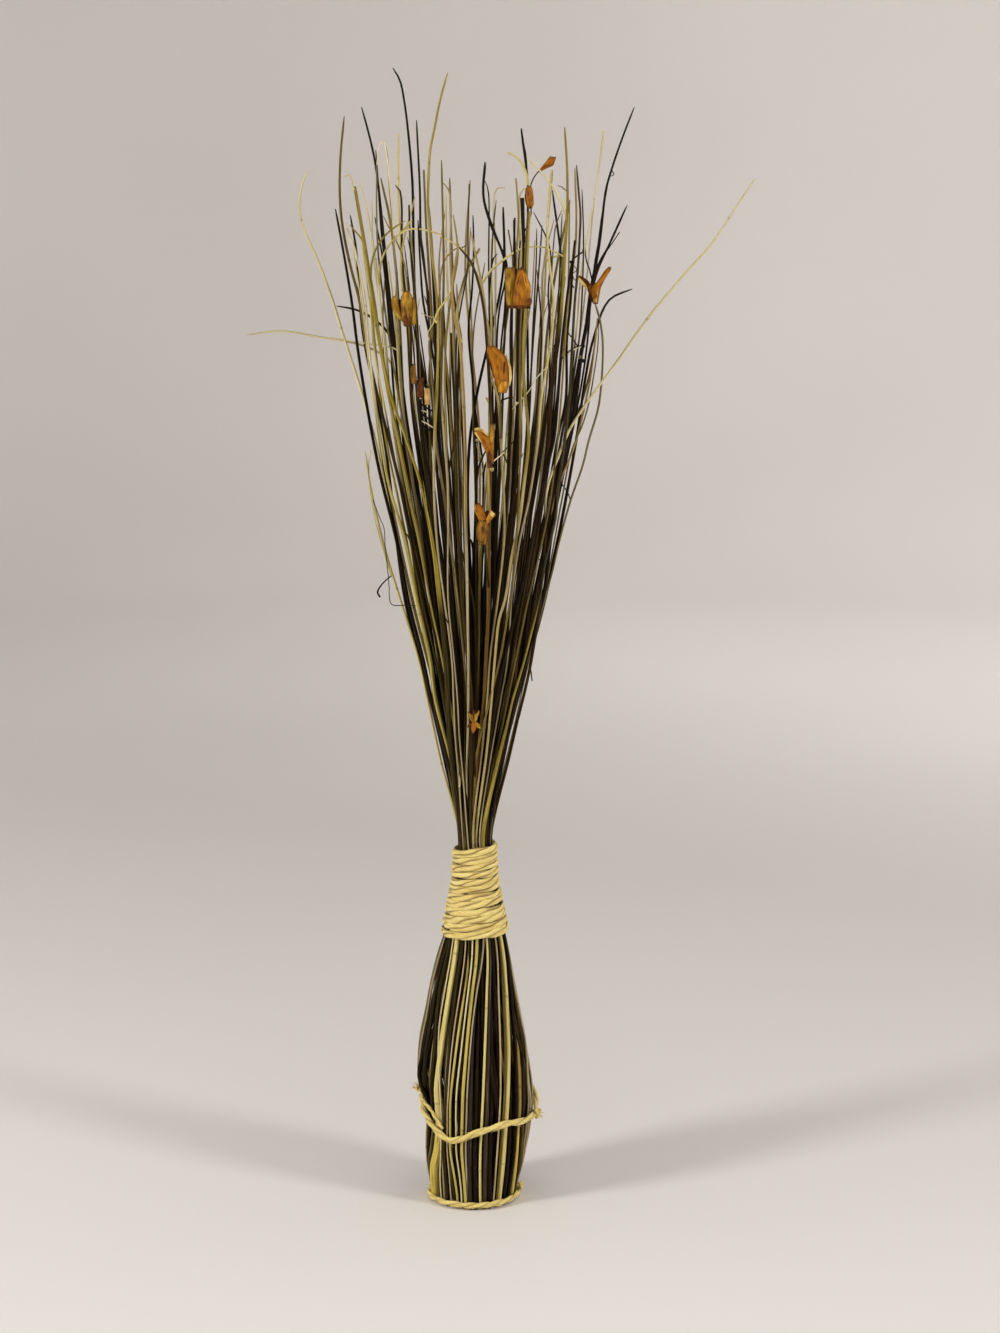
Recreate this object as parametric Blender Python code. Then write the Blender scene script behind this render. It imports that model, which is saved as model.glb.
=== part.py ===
"""A tied, free-standing bunch of dried reeds, about one metre tall.

The reeds stand in a bottle-shaped bundle on their own cut ends. A cord ring
holds the foot, a cord holds the belly and a long cord wrap holds the neck.
Above the neck the reeds open into a spray with papery husks on some stems.
Metres, +Z up, origin on the floor in the middle of the foot, front is -Y.
"""

import math

import bmesh
import bpy
import numpy as np
from mathutils import Vector

# ---------------------------------------------------------------- dimensions
GAP = 0.00030  # clear gap between neighbouring pieces
SIDES = 5  # sides of a reed's faceted section
REED_REACH = 0.0021  # how far the reeds reach past their ring of centres

# Ring of reed centres from the foot up to the neck: height, radius.
RING = (
    (0.000, 0.0358),
    (0.012, 0.0382),
    (0.035, 0.0434),
    (0.058, 0.0456),
    (0.075, 0.0464),
    (0.090, 0.0480),
    (0.105, 0.0500),
    (0.125, 0.0510),
    (0.147, 0.0472),
    (0.185, 0.0396),
    (0.222, 0.0328),
    (0.245, 0.0262),
    (0.265, 0.0218),
    (0.288, 0.0172),
    (0.310, 0.0140),
    (0.340, 0.0136),
    (0.389, 0.0250),
    (0.461, 0.0405),
    (0.551, 0.0570),
    (0.639, 0.0750),
    (0.726, 0.0895),
    (0.787, 0.0970),
    (0.860, 0.1040),
    (1.010, 0.1120),
)
# Sideways place of that ring's middle: height, x. The belly cord pulls the
# bundle in from the left, and above it the belly leans out to the left.
RING_MIDDLE = (
    (0.000, -0.0014),
    (0.022, -0.0014),
    (0.037, 0.0000),
    (0.053, 0.0014),
    (0.069, 0.0028),
    (0.085, 0.0042),
    (0.098, 0.0036),
    (0.108, 0.0016),
    (0.122, -0.0020),
    (0.135, -0.0023),
    (0.215, -0.0022),
    (0.240, -0.0008),
    (0.247, 0.0000),
)
# Heights of the faceted stations that every reed shares.
LOW_STATIONS = (0.0, 0.035, 0.064, 0.090, 0.122, 0.175, 0.252, 0.297, 0.340)

NECK_CORD_BOTTOM, NECK_CORD_TOP = 0.2475, 0.3315
NECK_CORD_PITCH = 0.00660
NECK_CORD_HALF_HEIGHT, NECK_CORD_HALF_DEPTH = 0.00285, 0.00150
BELLY_CORD_RADIUS = 0.0031
BASE_CORD_RADIUS, BASE_CORD_HEIGHT = 0.0030, 0.0048
BASE_CORD_FLAT = 0.62  # the foot cord is pulled flat against the reeds

# The reeds are laid out on a front elevation drawn in perspective. Sheet
# coordinates run right (u) and down (v); the sheet's middle is at SHEET_MID
# and its picture distance is SHEET_DISTANCE, in the same units.
EYE = (0.02243, -2.35, 0.93)
EYE_DOWN = math.radians(10.573)
SHEET_MID = (500.0, 666.5)
SHEET_DISTANCE = 2710.0

# Colours, linear: (base colour, roughness)
TONES = {
    "dark": ((0.020, 0.012, 0.005), 0.45),
    "brown": ((0.045, 0.026, 0.008), 0.45),
    "olive": ((0.150, 0.125, 0.030), 0.45),
    "tan": ((0.300, 0.220, 0.075), 0.50),
    "straw": ((0.560, 0.500, 0.190), 0.50),
    "yellow": ((0.480, 0.380, 0.085), 0.50),
    "pale": ((0.560, 0.500, 0.330), 0.50),
    "grey": ((0.300, 0.270, 0.200), 0.50),
    "cord": ((0.700, 0.500, 0.160), 0.75),
    "husk": ((0.480, 0.200, 0.020), 0.50),
}

# Front reeds. Name, tone, radius at the belly (mm), lower course as u at
# v = 1200, 1150, 1098, 1042, 985, 945, then the upper course as (v, u) up to
# the tip. The number after the upper course is how far forward the reed lies
# in the spray: 1 on its front face, -1 on its back face.
LOW_ROWS = (1200, 1150, 1098, 1042, 985, 945)
FRONT = (
    ("reed_edge_straw", "straw", 1.9, (431, 429, 418.5, 420.5, 430, 440),
     ((832, 453.5), (760, 441), (700, 428), (660, 419), (599, 400), (560, 388), (520, 378), (480, 370), (452, 366)), 0.55),
    ("reed_left_outer", "dark", 2.0, (433, 431, 422.5, 425, 434, 443.5),
     ((832, 456.5), (760, 446), (700, 431), (660, 423), (599, 408), (540, 397), (470, 380), (400, 366.5), (350, 358.5), (300, 352), (240, 341.5), (209, 335.5)), 0.7),
    ("reed_left_olive", "olive", 1.9, (434.5, 433, 426.5, 430, 437, 447),
     ((832, 457.5), (760, 448), (700, 434), (660, 429.5), (599, 416.5), (540, 405), (484, 389), (439, 381), (400, 375.5), (350, 370), (300, 366), (260, 358), (222, 346)), 1.0),
    ("reed_left_brown", "brown", 2.0, (436, 434.5, 431, 435, 441, 450.5),
     ((832, 459), (760, 450), (700, 440), (660, 434), (599, 423), (540, 411), (500, 403), (439, 388), (400, 378), (350, 367), (300, 359), (265, 350), (230, 343), (200, 340), (160, 340.5), (116, 344.5)), 0.6),
    ("reed_broad_straw", "straw", 2.7, (437, 436, 436.5, 441.5, 450.5, 457),
     ((832, 460.5), (760, 454), (700, 450), (660, 447), (599, 439.5), (550, 434), (484, 421), (440, 407), (400, 393), (350, 382), (300, 374), (250, 366), (215, 360), (187, 355)), 1.0),
    ("reed_grey_left", "grey", 1.3, (444.5, 441.5, 442.7, 445.5, 452, 458.5),
     ((832, 462), (760, 455), (700, 447), (599, 430), (540, 420), (500, 411), (460, 403), (430, 397), (400, 390), (350, 381), (310, 376), (280, 371), (245, 364), (225, 350)), 0.9),
    ("reed_left_dark", "dark", 1.9, (448, 444, 446.5, 450, 456, 462.5),
     ((832, 463), (760, 458), (700, 451), (599, 436), (540, 426), (500, 418), (439, 406), (400, 399), (350, 395), (310, 391), (265, 386), (215, 381), (165, 375), (145, 371), (125, 366), (107, 361)), 0.3),
    ("reed_pale_one", "pale", 1.7, (459, 450, 450.3, 457, 465, 469),
     ((832, 461.5), (770, 459), (700, 454.5), (660, 452), (599, 443.3), (560, 438), (500, 434), (439, 434.5), (400, 436.5), (340, 438), (300, 437), (260, 433), (205, 428.5), (180, 429), (150, 431), (125, 436), (100, 441), (73, 448.5)), 1.0),
    ("reed_pale_two", "pale", 1.6, (464, 456, 456, 462, 469, 474),
     ((832, 463.5), (760, 462), (700, 459), (660, 455), (599, 448.5), (520, 448), (480, 447), (440, 444), (400, 441), (340, 442), (272, 443), (160, 441)), 0.95),
    ("reed_olive_mid", "olive", 1.9, (465.5, 461.5, 462.7, 467, 473, 478),
     ((832, 466), (760, 465), (700, 463), (599, 457.5), (500, 456), (439, 455), (400, 454), (350, 451), (333, 450.5)), 0.9),
    ("reed_brown_mid", "brown", 2.0, (470, 469, 470.5, 472, 476.5, 482),
     ((832, 460.5), (800, 461.5), (770, 463), (740, 465), (700, 467), (640, 469), (599, 468.5), (520, 466), (439, 464.5), (380, 462), (340, 459), (320, 455), (290, 452), (272, 454), (244, 459)), 1.0),
    ("reed_dark_mid", "dark", 2.0, (475, 475, 476.5, 478, 481.5, 485.5),
     ((832, 470), (790, 475), (760, 478), (730, 481), (700, 484), (660, 485.5), (599, 488), (520, 489), (480, 490), (430, 491), (400, 490), (340, 486), (310, 483), (285, 478), (262, 470), (246, 457)), 1.0),
    ("reed_pale_mid", "pale", 1.6, (479.5, 480.3, 483, 485.2, 487, 488),
     ((832, 472.5), (760, 481), (730, 484.5), (700, 487.7), (660, 490.2), (599, 498), (540, 504), (500, 504), (470, 502.5), (440, 501), (400, 498), (370, 490), (300, 484), (230, 470)), 0.95),
    ("reed_brown_right", "brown", 2.0, (484.5, 485.5, 487.5, 489, 490.5, 491.5),
     ((832, 475), (760, 483.5), (700, 490), (660, 494), (620, 499), (599, 505.5), (560, 512), (520, 520), (480, 525), (440, 529), (400, 526), (370, 524), (340, 524), (310, 526), (250, 528), (212, 530)), 1.0),
    ("reed_dark_right", "dark", 2.0, (489, 490.5, 492.5, 493.5, 494, 494.5),
     ((832, 476), (760, 486), (700, 495), (660, 503), (599, 518), (560, 527), (500, 539), (460, 548), (439, 553), (400, 557), (350, 561), (300, 567), (262, 572)), 1.0),
    ("reed_cream", "pale", 1.3, (493, 497.5, 500.5, 500.3, 498.3, 497),
     ((832, 480), (760, 490), (700, 500), (660, 507), (599, 511), (540, 519), (500, 528), (439, 537), (400, 540), (340, 550), (300, 553), (272, 550), (235, 547), (170, 551)), 0.85),
    ("reed_straw_right", "straw", 1.9, (499, 504, 507.5, 508.5, 505.5, 502.5),
     ((832, 482), (800, 489.5), (760, 497), (730, 504.5), (700, 511.5), (660, 523), (640, 528), (599, 537.5), (560, 544), (520, 554), (490, 556.5), (439, 563), (400, 567), (340, 571), (300, 574), (272, 577), (240, 579), (215, 580), (190, 578), (165, 576)), 1.0),
    ("reed_right_dark_one", "dark", 2.0, (503.5, 509.5, 512, 511.5, 508, 505),
     ((832, 486), (760, 500), (700, 513), (660, 518), (599, 527), (540, 537), (500, 543), (460, 547), (439, 549), (400, 551), (360, 556), (330, 560), (290, 563), (250, 565), (210, 567), (170, 567), (127, 564.5)), 0.95),
    ("reed_right_dark_two", "dark", 1.9, (507, 514, 516.5, 515, 510, 506),
     ((832, 489), (760, 503), (700, 516), (660, 524), (599, 532), (540, 543), (500, 549), (439, 558), (400, 566), (340, 567), (300, 571), (260, 573), (240, 575)), 0.8),
    ("reed_right_tan", "tan", 2.2, (511, 517, 521, 520, 512.5, 507),
     ((832, 490), (760, 502.5), (700, 515), (660, 524), (599, 536), (540, 547), (500, 553), (439, 562), (400, 569), (330, 577), (272, 582), (215, 592), (185, 597), (130, 604)), 0.55),
    ("reed_right_olive", "olive", 2.0, (514, 522.5, 525, 523, 513.5, 508),
     ((832, 492), (760, 504), (730, 509.5), (700, 516), (660, 526), (599, 541), (540, 549), (500, 556), (460, 562), (420, 572), (390, 577), (350, 582), (320, 588), (290, 592), (240, 600), (190, 606), (172, 611), (140, 622), (107, 635)), 0.7),
    ("reed_right_long", "straw", 1.6, (517.5, 526.5, 529, 525.5, 514, 508.5),
     ((832, 492.5), (800, 496.5), (760, 503), (700, 514), (660, 525.5), (599, 540), (540, 545), (490, 547), (455, 559), (425, 572), (380, 603), (357, 620), (328, 640), (303, 660), (270, 688), (243, 712), (208, 735), (178, 755)), 1.0),
    ("reed_right_outer", "olive", 1.5, (519.5, 528, 532, 526.5, 514.5, 509),
     ((832, 494), (800, 498.5), (760, 505.5), (700, 517), (660, 528.5), (599, 545), (570, 553), (540, 560), (500, 571), (465, 583), (440, 589), (410, 598), (390, 601), (345, 603), (320, 600), (303, 595)), 0.25),
)

# Reeds at the two sides, whose feet go round past the sheet's view: azimuth
# in degrees at the foot and at 55 mm up.
SIDE_FEET = {
    "reed_edge_straw": (-111, -91),
    "reed_left_outer": (-102, -80),
    "reed_left_olive": (-93, -69),
    "reed_left_brown": (-84, -59),
    "reed_broad_straw": (-74, -50),
    "reed_right_long": (86, 80),
    "reed_right_outer": (97, 90),
}

# Back reeds: name, tone, radius (mm), azimuth in degrees round the ring
# (0 front, 90 right, 180 back), then the upper course and forwardness.
BACK = (
    ("reed_back_01", "brown", 1.9, 98.0, ((599, 545), (439, 577), (380, 586), (340, 594), (300, 610), (289, 633)), 0.0),
    ("reed_back_02", "olive", 1.5, 106.5, ((599, 538), (439, 568), (400, 583), (370, 591), (340, 596), (318, 598)), -0.3),
    ("reed_back_03", "dark", 1.9, 115.0, ((599, 535), (439, 565), (330, 585), (272, 597), (245, 609), (207, 626)), -0.5),
    ("reed_back_04", "dark", 2.0, 123.0, ((599, 527), (439, 545), (330, 557), (272, 562), (190, 552)), -0.6),
    ("reed_back_05", "olive", 1.9, 131.0, ((599, 520), (439, 540), (330, 548), (272, 556), (200, 570)), -0.8),
    ("reed_back_06", "dark", 1.8, 139.0, ((599, 512), (439, 526), (272, 527), (190, 528), (175, 527), (130, 521)), -0.5),
    ("reed_back_07", "brown", 2.1, 147.5, ((599, 506), (439, 517), (330, 518), (272, 523), (198, 522.5)), 0.35),
    ("reed_back_08", "straw", 1.7, 156.0, ((599, 498), (439, 506), (272, 519), (178, 516)), -0.8),
    ("reed_back_09", "dark", 2.1, 164.0, ((599, 492), (439, 510), (330, 511), (272, 514), (218, 515.5)), 0.1),
    ("reed_back_10", "dark", 1.8, 172.0, ((599, 486), (439, 496), (330, 505), (262, 505), (225, 491), (197, 483.5), (162, 485)), -0.3),
    ("reed_back_11", "tan", 1.7, 180.0, ((599, 478), (439, 480), (272, 466), (180, 471)), -0.9),
    ("reed_back_12", "dark", 2.0, 188.5, ((599, 470), (439, 470), (272, 503), (207, 503)), -0.6),
    ("reed_back_13", "olive", 1.8, 197.0, ((599, 463), (439, 458), (272, 452), (178, 449)), -0.9),
    ("reed_back_14", "dark", 1.9, 205.0, ((599, 456), (439, 445), (330, 433), (272, 425), (240, 421), (187, 420), (120, 417)), -0.6),
    ("reed_back_15", "dark", 2.0, 213.0, ((599, 448), (439, 428), (350, 419), (300, 415), (240, 413), (180, 412), (130, 408), (105, 405), (80, 400), (68, 393)), -0.4),
    ("reed_back_16", "straw", 1.7, 221.0, ((599, 441), (439, 418), (330, 407), (272, 402), (200, 398), (133, 398)), -0.7),
    ("reed_back_17", "olive", 1.9, 229.5, ((599, 434), (439, 407), (330, 400), (272, 396), (220, 390), (178, 381)), -0.8),
    ("reed_back_18", "brown", 1.9, 238.0, ((599, 426), (439, 403), (400, 401), (370, 399), (350, 396), (333, 388), (320, 375), (310, 357), (306, 337)), -0.1),
    ("reed_back_19", "straw", 1.5, 246.0, ((599, 419), (439, 397), (390, 396), (362, 390), (349, 372), (342, 350), (337, 320), (331, 280), (335, 247)), -0.85),
    ("reed_back_20", "pale", 1.7, 254.0, ((599, 411), (439, 375), (380, 358), (330, 342), (300, 333), (265, 320), (225, 303), (205, 299.5), (185, 302), (170, 307.5)), -0.3),
    ("reed_back_21", "dark", 1.9, 262.0, ((599, 405), (439, 384), (330, 362), (250, 356), (215, 350)), -0.45),
)

# Husks: name, u and v of the foot, v of the top, width and top width (mm),
# opening arc (degrees), and how far in front of the bunch's axis (mm).
HUSKS = (
    ("husk_upper_tube", 529.0, 208.0, 174.0, 4.4, 3.6, 250.0, 26.0),
    ("husk_wide_tube", 520.0, 308.0, 266.0, 12.0, 12.5, 170.0, 88.0),
    ("husk_right_fork", 595.0, 301.0, 270.0, 2.4, 10.5, 200.0, 24.0),
    ("husk_left_cluster", 405.5, 328.0, 289.0, 4.0, 10.5, 170.0, 76.0),
    ("husk_leaf", 500.0, 394.0, 346.0, 6.5, 10.5, 130.0, 91.0),
    ("husk_middle_fork", 487.0, 467.0, 427.0, 3.0, 9.0, 150.0, 86.0),
    ("husk_tulip", 484.0, 545.0, 503.0, 3.0, 9.5, 160.0, 73.0),
    ("husk_beaded", 418.0, 402.0, 369.0, 3.2, 5.2, 180.0, 84.0),
    ("husk_star", 474.0, 732.0, 710.0, 2.0, 4.6, 140.0, 37.0),
)
HUSK_THICK = 0.0009
HUSK_FLARE_LEAN = 0.12  # outward lean of a husk with its stem

# Inner reeds, which stand inside the ring: name, tone, radius (mm), azimuth,
# then the upper course and forwardness.
INNER_INSET = 0.0125
NECK_SPREAD = 1.15  # how evenly the back and inner reeds spread above the neck
INNER = (
    ("reed_inner_grey", "grey", 1.3, -60.0, ((599, 431), (520, 420), (470, 412), (400, 400), (330, 388), (272, 380), (235, 377), (165, 376)), 0.35),
    ("reed_inner_dark", "dark", 1.8, 175.0, ((599, 500), (520, 510), (439, 515), (330, 522), (247, 525), (198, 522.5)), 0.5),
    ("reed_inner_tan", "tan", 1.4, 60.0, ((599, 530), (540, 545), (480, 562), (445, 575), (380, 590), (320, 597)), 0.45),
)


# ------------------------------------------------------------------ geometry
def along(table, z):
    """Value of a (height, value) table at a height."""
    return float(np.interp(z, [row[0] for row in table], [row[1] for row in table]))


def height_at(v, y):
    """Height of a point on sheet row v at depth y."""
    s, c = math.sin(EYE_DOWN), math.cos(EYE_DOWN)
    k = (SHEET_MID[1] - v) / SHEET_DISTANCE
    dy = y - EYE[1]
    return EYE[2] + (k * dy * c - dy * s) / (c + k * s)


def across_at(u, y, z):
    """Sideways place of a point on sheet column u at depth y and height z."""
    s, c = math.sin(EYE_DOWN), math.cos(EYE_DOWN)
    away = (y - EYE[1]) * c - (z - EYE[2]) * s
    return EYE[0] + (u - SHEET_MID[0]) * away / SHEET_DISTANCE


def on_spray(u, v, forward):
    """World point of a sheet point that lies `forward` of the way to the
    front face of the bundle's own round outline."""
    y = 0.0
    for _ in range(12):
        z = height_at(v, y)
        x = across_at(u, y, z) - along(RING_MIDDLE, z)
        r = along(RING, z)
        y = 0.5 * y - 0.5 * forward * math.sqrt(max(r * r - x * x, (0.12 * r) ** 2))
    return Vector((across_at(u, y, height_at(v, y)), y, height_at(v, y)))


def smooth_course(points, step=0.004):
    """Centripetal Catmull-Rom curve through the points, as dense points."""
    pts = [Vector(p) for p in points]
    pts = [pts[0] * 2 - pts[1]] + pts + [pts[-1] * 2 - pts[-2]]
    out = [pts[1].copy()]
    for a, b, c, d in zip(pts, pts[1:], pts[2:], pts[3:]):
        t0 = 0.0
        t1 = t0 + max((b - a).length, 1e-6) ** 0.5
        t2 = t1 + max((c - b).length, 1e-6) ** 0.5
        t3 = t2 + max((d - c).length, 1e-6) ** 0.5
        n = max(1, round((c - b).length / step))
        for i in range(1, n + 1):
            t = t1 + (t2 - t1) * i / n
            a1 = a * ((t1 - t) / (t1 - t0)) + b * ((t - t0) / (t1 - t0))
            a2 = b * ((t2 - t) / (t2 - t1)) + c * ((t - t1) / (t2 - t1))
            a3 = c * ((t3 - t) / (t3 - t2)) + d * ((t - t2) / (t3 - t2))
            b1 = a1 * ((t2 - t) / (t2 - t0)) + a2 * ((t - t0) / (t2 - t0))
            b2 = a2 * ((t3 - t) / (t3 - t1)) + a3 * ((t - t1) / (t3 - t1))
            out.append(b1 * ((t2 - t) / (t2 - t1)) + b2 * ((t - t1) / (t2 - t1)))
    return out


def bundle_outside(z):
    """Outer radius of the reeds at a height inside the ties, where each
    faceted reed runs straight between the shared stations."""
    straight = float(np.interp(z, LOW_STATIONS, [along(RING, s) for s in LOW_STATIONS]))
    return max(straight, along(RING, z)) + REED_REACH


def round_bundle(azimuth, z, reach):
    """Point at a reach from the bundle's middle."""
    return Vector((along(RING_MIDDLE, z) + reach * math.sin(azimuth), -reach * math.cos(azimuth), z))


def ring_point(azimuth, z, inset=0.0):
    r = along(RING, z) - inset
    return round_bundle(azimuth, z, r)


def steady(azimuth, z):
    """Azimuth of a reed that runs on straight where the bundle's outline
    shifts sideways round it."""
    return azimuth - along(RING_MIDDLE, z) / along(RING, z) * math.cos(azimuth)


def drawn_rows(rows, step=13.0):
    """A drawn line's (u, v) points with more of them in between."""
    out = []
    for (u0, v0), (u1, v1) in zip(rows, rows[1:]):
        n = max(1, math.ceil(abs(v1 - v0) / step))
        out += [(u0 + (u1 - u0) * k / n, v0 + (v1 - v0) * k / n) for k in range(n)]
    return out + [rows[-1]]


def low_course(azimuths, inset):
    """Points on the bundle's ring from the foot to the neck; azimuths is a
    (height, azimuth) table."""
    rows = (0.0, 0.012, 0.035, 0.055, 0.075, 0.095, 0.115, 0.147, 0.175, 0.205,
            0.230, 0.252, 0.275, 0.297, 0.318, 0.340)
    return [ring_point(along(azimuths, z), z, inset * min(1.0, z / 0.2)) for z in rows]


def reed_courses():
    """Every reed as (name, tone, belly radius, dense centre line)."""
    reeds = []
    for index, (name, tone, radius, low, high, forward) in enumerate(FRONT):
        table = []
        for u, v in drawn_rows(list(zip(low, LOW_ROWS))):
            p = on_spray(u, v, 1.0)
            r = along(RING, p.z)
            table.append((p.z, math.asin(max(-0.999, min(0.999, (p.x - along(RING_MIDDLE, p.z)) / r)))))
        if name in SIDE_FEET:
            foot, shin = SIDE_FEET[name]
            table = [row for row in table if row[0] > 0.10] + [(0.0, math.radians(foot)), (0.055, math.radians(shin))]
        table.sort()
        top = on_spray(high[0][1], high[0][0], max(forward, 0.3))
        r = along(RING, 0.34)
        neck = math.asin(max(-0.97, min(0.97, top.x / r)))
        table.append((0.340, neck))
        inset = 0.0030 * (index % 3) * (1.0 if index not in (4, 7, 8, 16) else 0.0)
        points = low_course(table, inset)
        for v, u in high:
            p = on_spray(u, v, forward)
            if p.z > 0.385:
                points.append(p)
        reeds.append((name, tone, radius / 1000.0, points))
    for index, (name, tone, radius, degrees, high, forward) in enumerate(BACK):
        azimuth = math.radians(degrees)
        first = on_spray(high[0][1], high[0][0], forward)
        neck = azimuth + 0.25 * math.sin(2.3 * index)
        foot = math.radians(173.5 + 0.823 * (degrees - 180.0))
        turns = ((0.0, foot), (0.055, 0.4 * foot + 0.6 * azimuth), (0.115, azimuth), (0.34, neck))
        table = [(z, steady(along(turns, z), z)) for z in (0.0, 0.035, 0.055, 0.070, 0.085, 0.100, 0.115, 0.135, 0.175, 0.215, 0.252, 0.34)]
        points = low_course(table, 0.0030 * ((index + 1) % 3))
        crown = points[-1]
        for z in (0.40, 0.46):
            lean = ((z - 0.34) / (first.z - 0.34)) ** NECK_SPREAD
            points.append(Vector((crown.x, crown.y, z)).lerp(Vector((first.x, first.y, z)), lean))
        points += [on_spray(u, v, forward) for v, u in high]
        reeds.append((name, tone, radius / 1000.0, points))
    for name, tone, radius, degrees, high, forward in INNER:
        azimuth = math.radians(degrees)
        points = []
        for z in (0.0, 0.035, 0.075, 0.115, 0.147, 0.185, 0.222, 0.252, 0.297, 0.340):
            points.append(ring_point(steady(azimuth, z), z, min(INNER_INSET, 0.55 * along(RING, z))))
        first = on_spray(high[0][1], high[0][0], forward)
        crown = points[-1]
        for z in (0.40, 0.46):
            lean = ((z - 0.34) / (first.z - 0.34)) ** NECK_SPREAD
            points.append(Vector((crown.x, crown.y, z)).lerp(Vector((first.x, first.y, z)), lean))
        points += [on_spray(u, v, forward) for v, u in high]
        reeds.append((name, tone, radius / 1000.0, points))
    return [(n, t, r, smooth_course(p)) for n, t, r, p in reeds]


def reed_radius(belly_radius, z, tip_fraction):
    """Radius of a reed: full at the belly, slimmer in the neck and the spray,
    fine at the tip. tip_fraction runs from 0 at the neck to 1 at the tip."""
    body = along(((0.0, 1.0), (0.12, 1.0), (0.25, 0.90), (0.34, 0.86), (0.56, 0.82), (1.1, 0.74)), z)
    taper = along(((0.0, 1.0), (0.55, 0.88), (0.85, 0.62), (1.0, 0.40)), tip_fraction)
    return belly_radius * body * taper


def stations_of(course, belly_radius):
    """A dense centre line cut down to the faceted stations, with radii."""
    heights = np.array([p.z for p in course])
    crown = next(i for i, z in enumerate(heights) if z >= LOW_STATIONS[-1] - 1e-6)
    points = []
    low = np.array([tuple(p) for p in course[: crown + 2]])
    for z in LOW_STATIONS:
        points.append((np.interp(z, low[:, 2], low[:, 0]), np.interp(z, low[:, 2], low[:, 1]), z))
    upper = [Vector(points[-1])] + [p for p in course[crown + 1:]]
    lengths = [0.0]
    for a, b in zip(upper, upper[1:]):
        lengths.append(lengths[-1] + (b - a).length)
    # more stations where the upper course turns more
    turn = [0.0]
    for i in range(1, len(upper) - 1):
        a, b = upper[i] - upper[i - 1], upper[i + 1] - upper[i]
        turn.append(turn[-1] + a.angle(b, 0.0))
    turn.append(turn[-1])
    count = 3 + min(3, int(turn[-1] / 0.60) + (1 if lengths[-1] > 0.55 else 0))
    weight = [l / lengths[-1] + 0.55 * t / max(turn[-1], 0.6) for l, t in zip(lengths, turn)]
    fractions = [0.0] * len(points)
    for k in range(1, count + 1):
        target = weight[-1] * k / count
        i = max(1, int(np.searchsorted(weight, target - 1e-9)))
        i = min(i, len(upper) - 1)
        points.append(tuple(upper[i]))
        fractions.append(lengths[i] / lengths[-1])
    radii = [reed_radius(belly_radius, p[2], f) for p, f in zip(points, fractions)]
    return np.array(points, float), np.array(radii, float)


def closest(p1, q1, p2, q2):
    """Closest points of many segment pairs: parameters s, t."""
    d1, d2, r = q1 - p1, q2 - p2, p1 - p2
    a = np.einsum("ij,ij->i", d1, d1) + 1e-12
    e = np.einsum("ij,ij->i", d2, d2) + 1e-12
    f = np.einsum("ij,ij->i", d2, r)
    c = np.einsum("ij,ij->i", d1, r)
    b = np.einsum("ij,ij->i", d1, d2)
    denom = a * e - b * b
    s = np.clip(np.where(denom > 1e-14, (b * f - c * e) / np.where(denom > 1e-14, denom, 1.0), 0.5), 0.0, 1.0)
    t = (b * s + f) / e
    t_clip = np.clip(t, 0.0, 1.0)
    s = np.where(t != t_clip, np.clip((b * t_clip - c) / a, 0.0, 1.0), s)
    return s, t_clip


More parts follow.
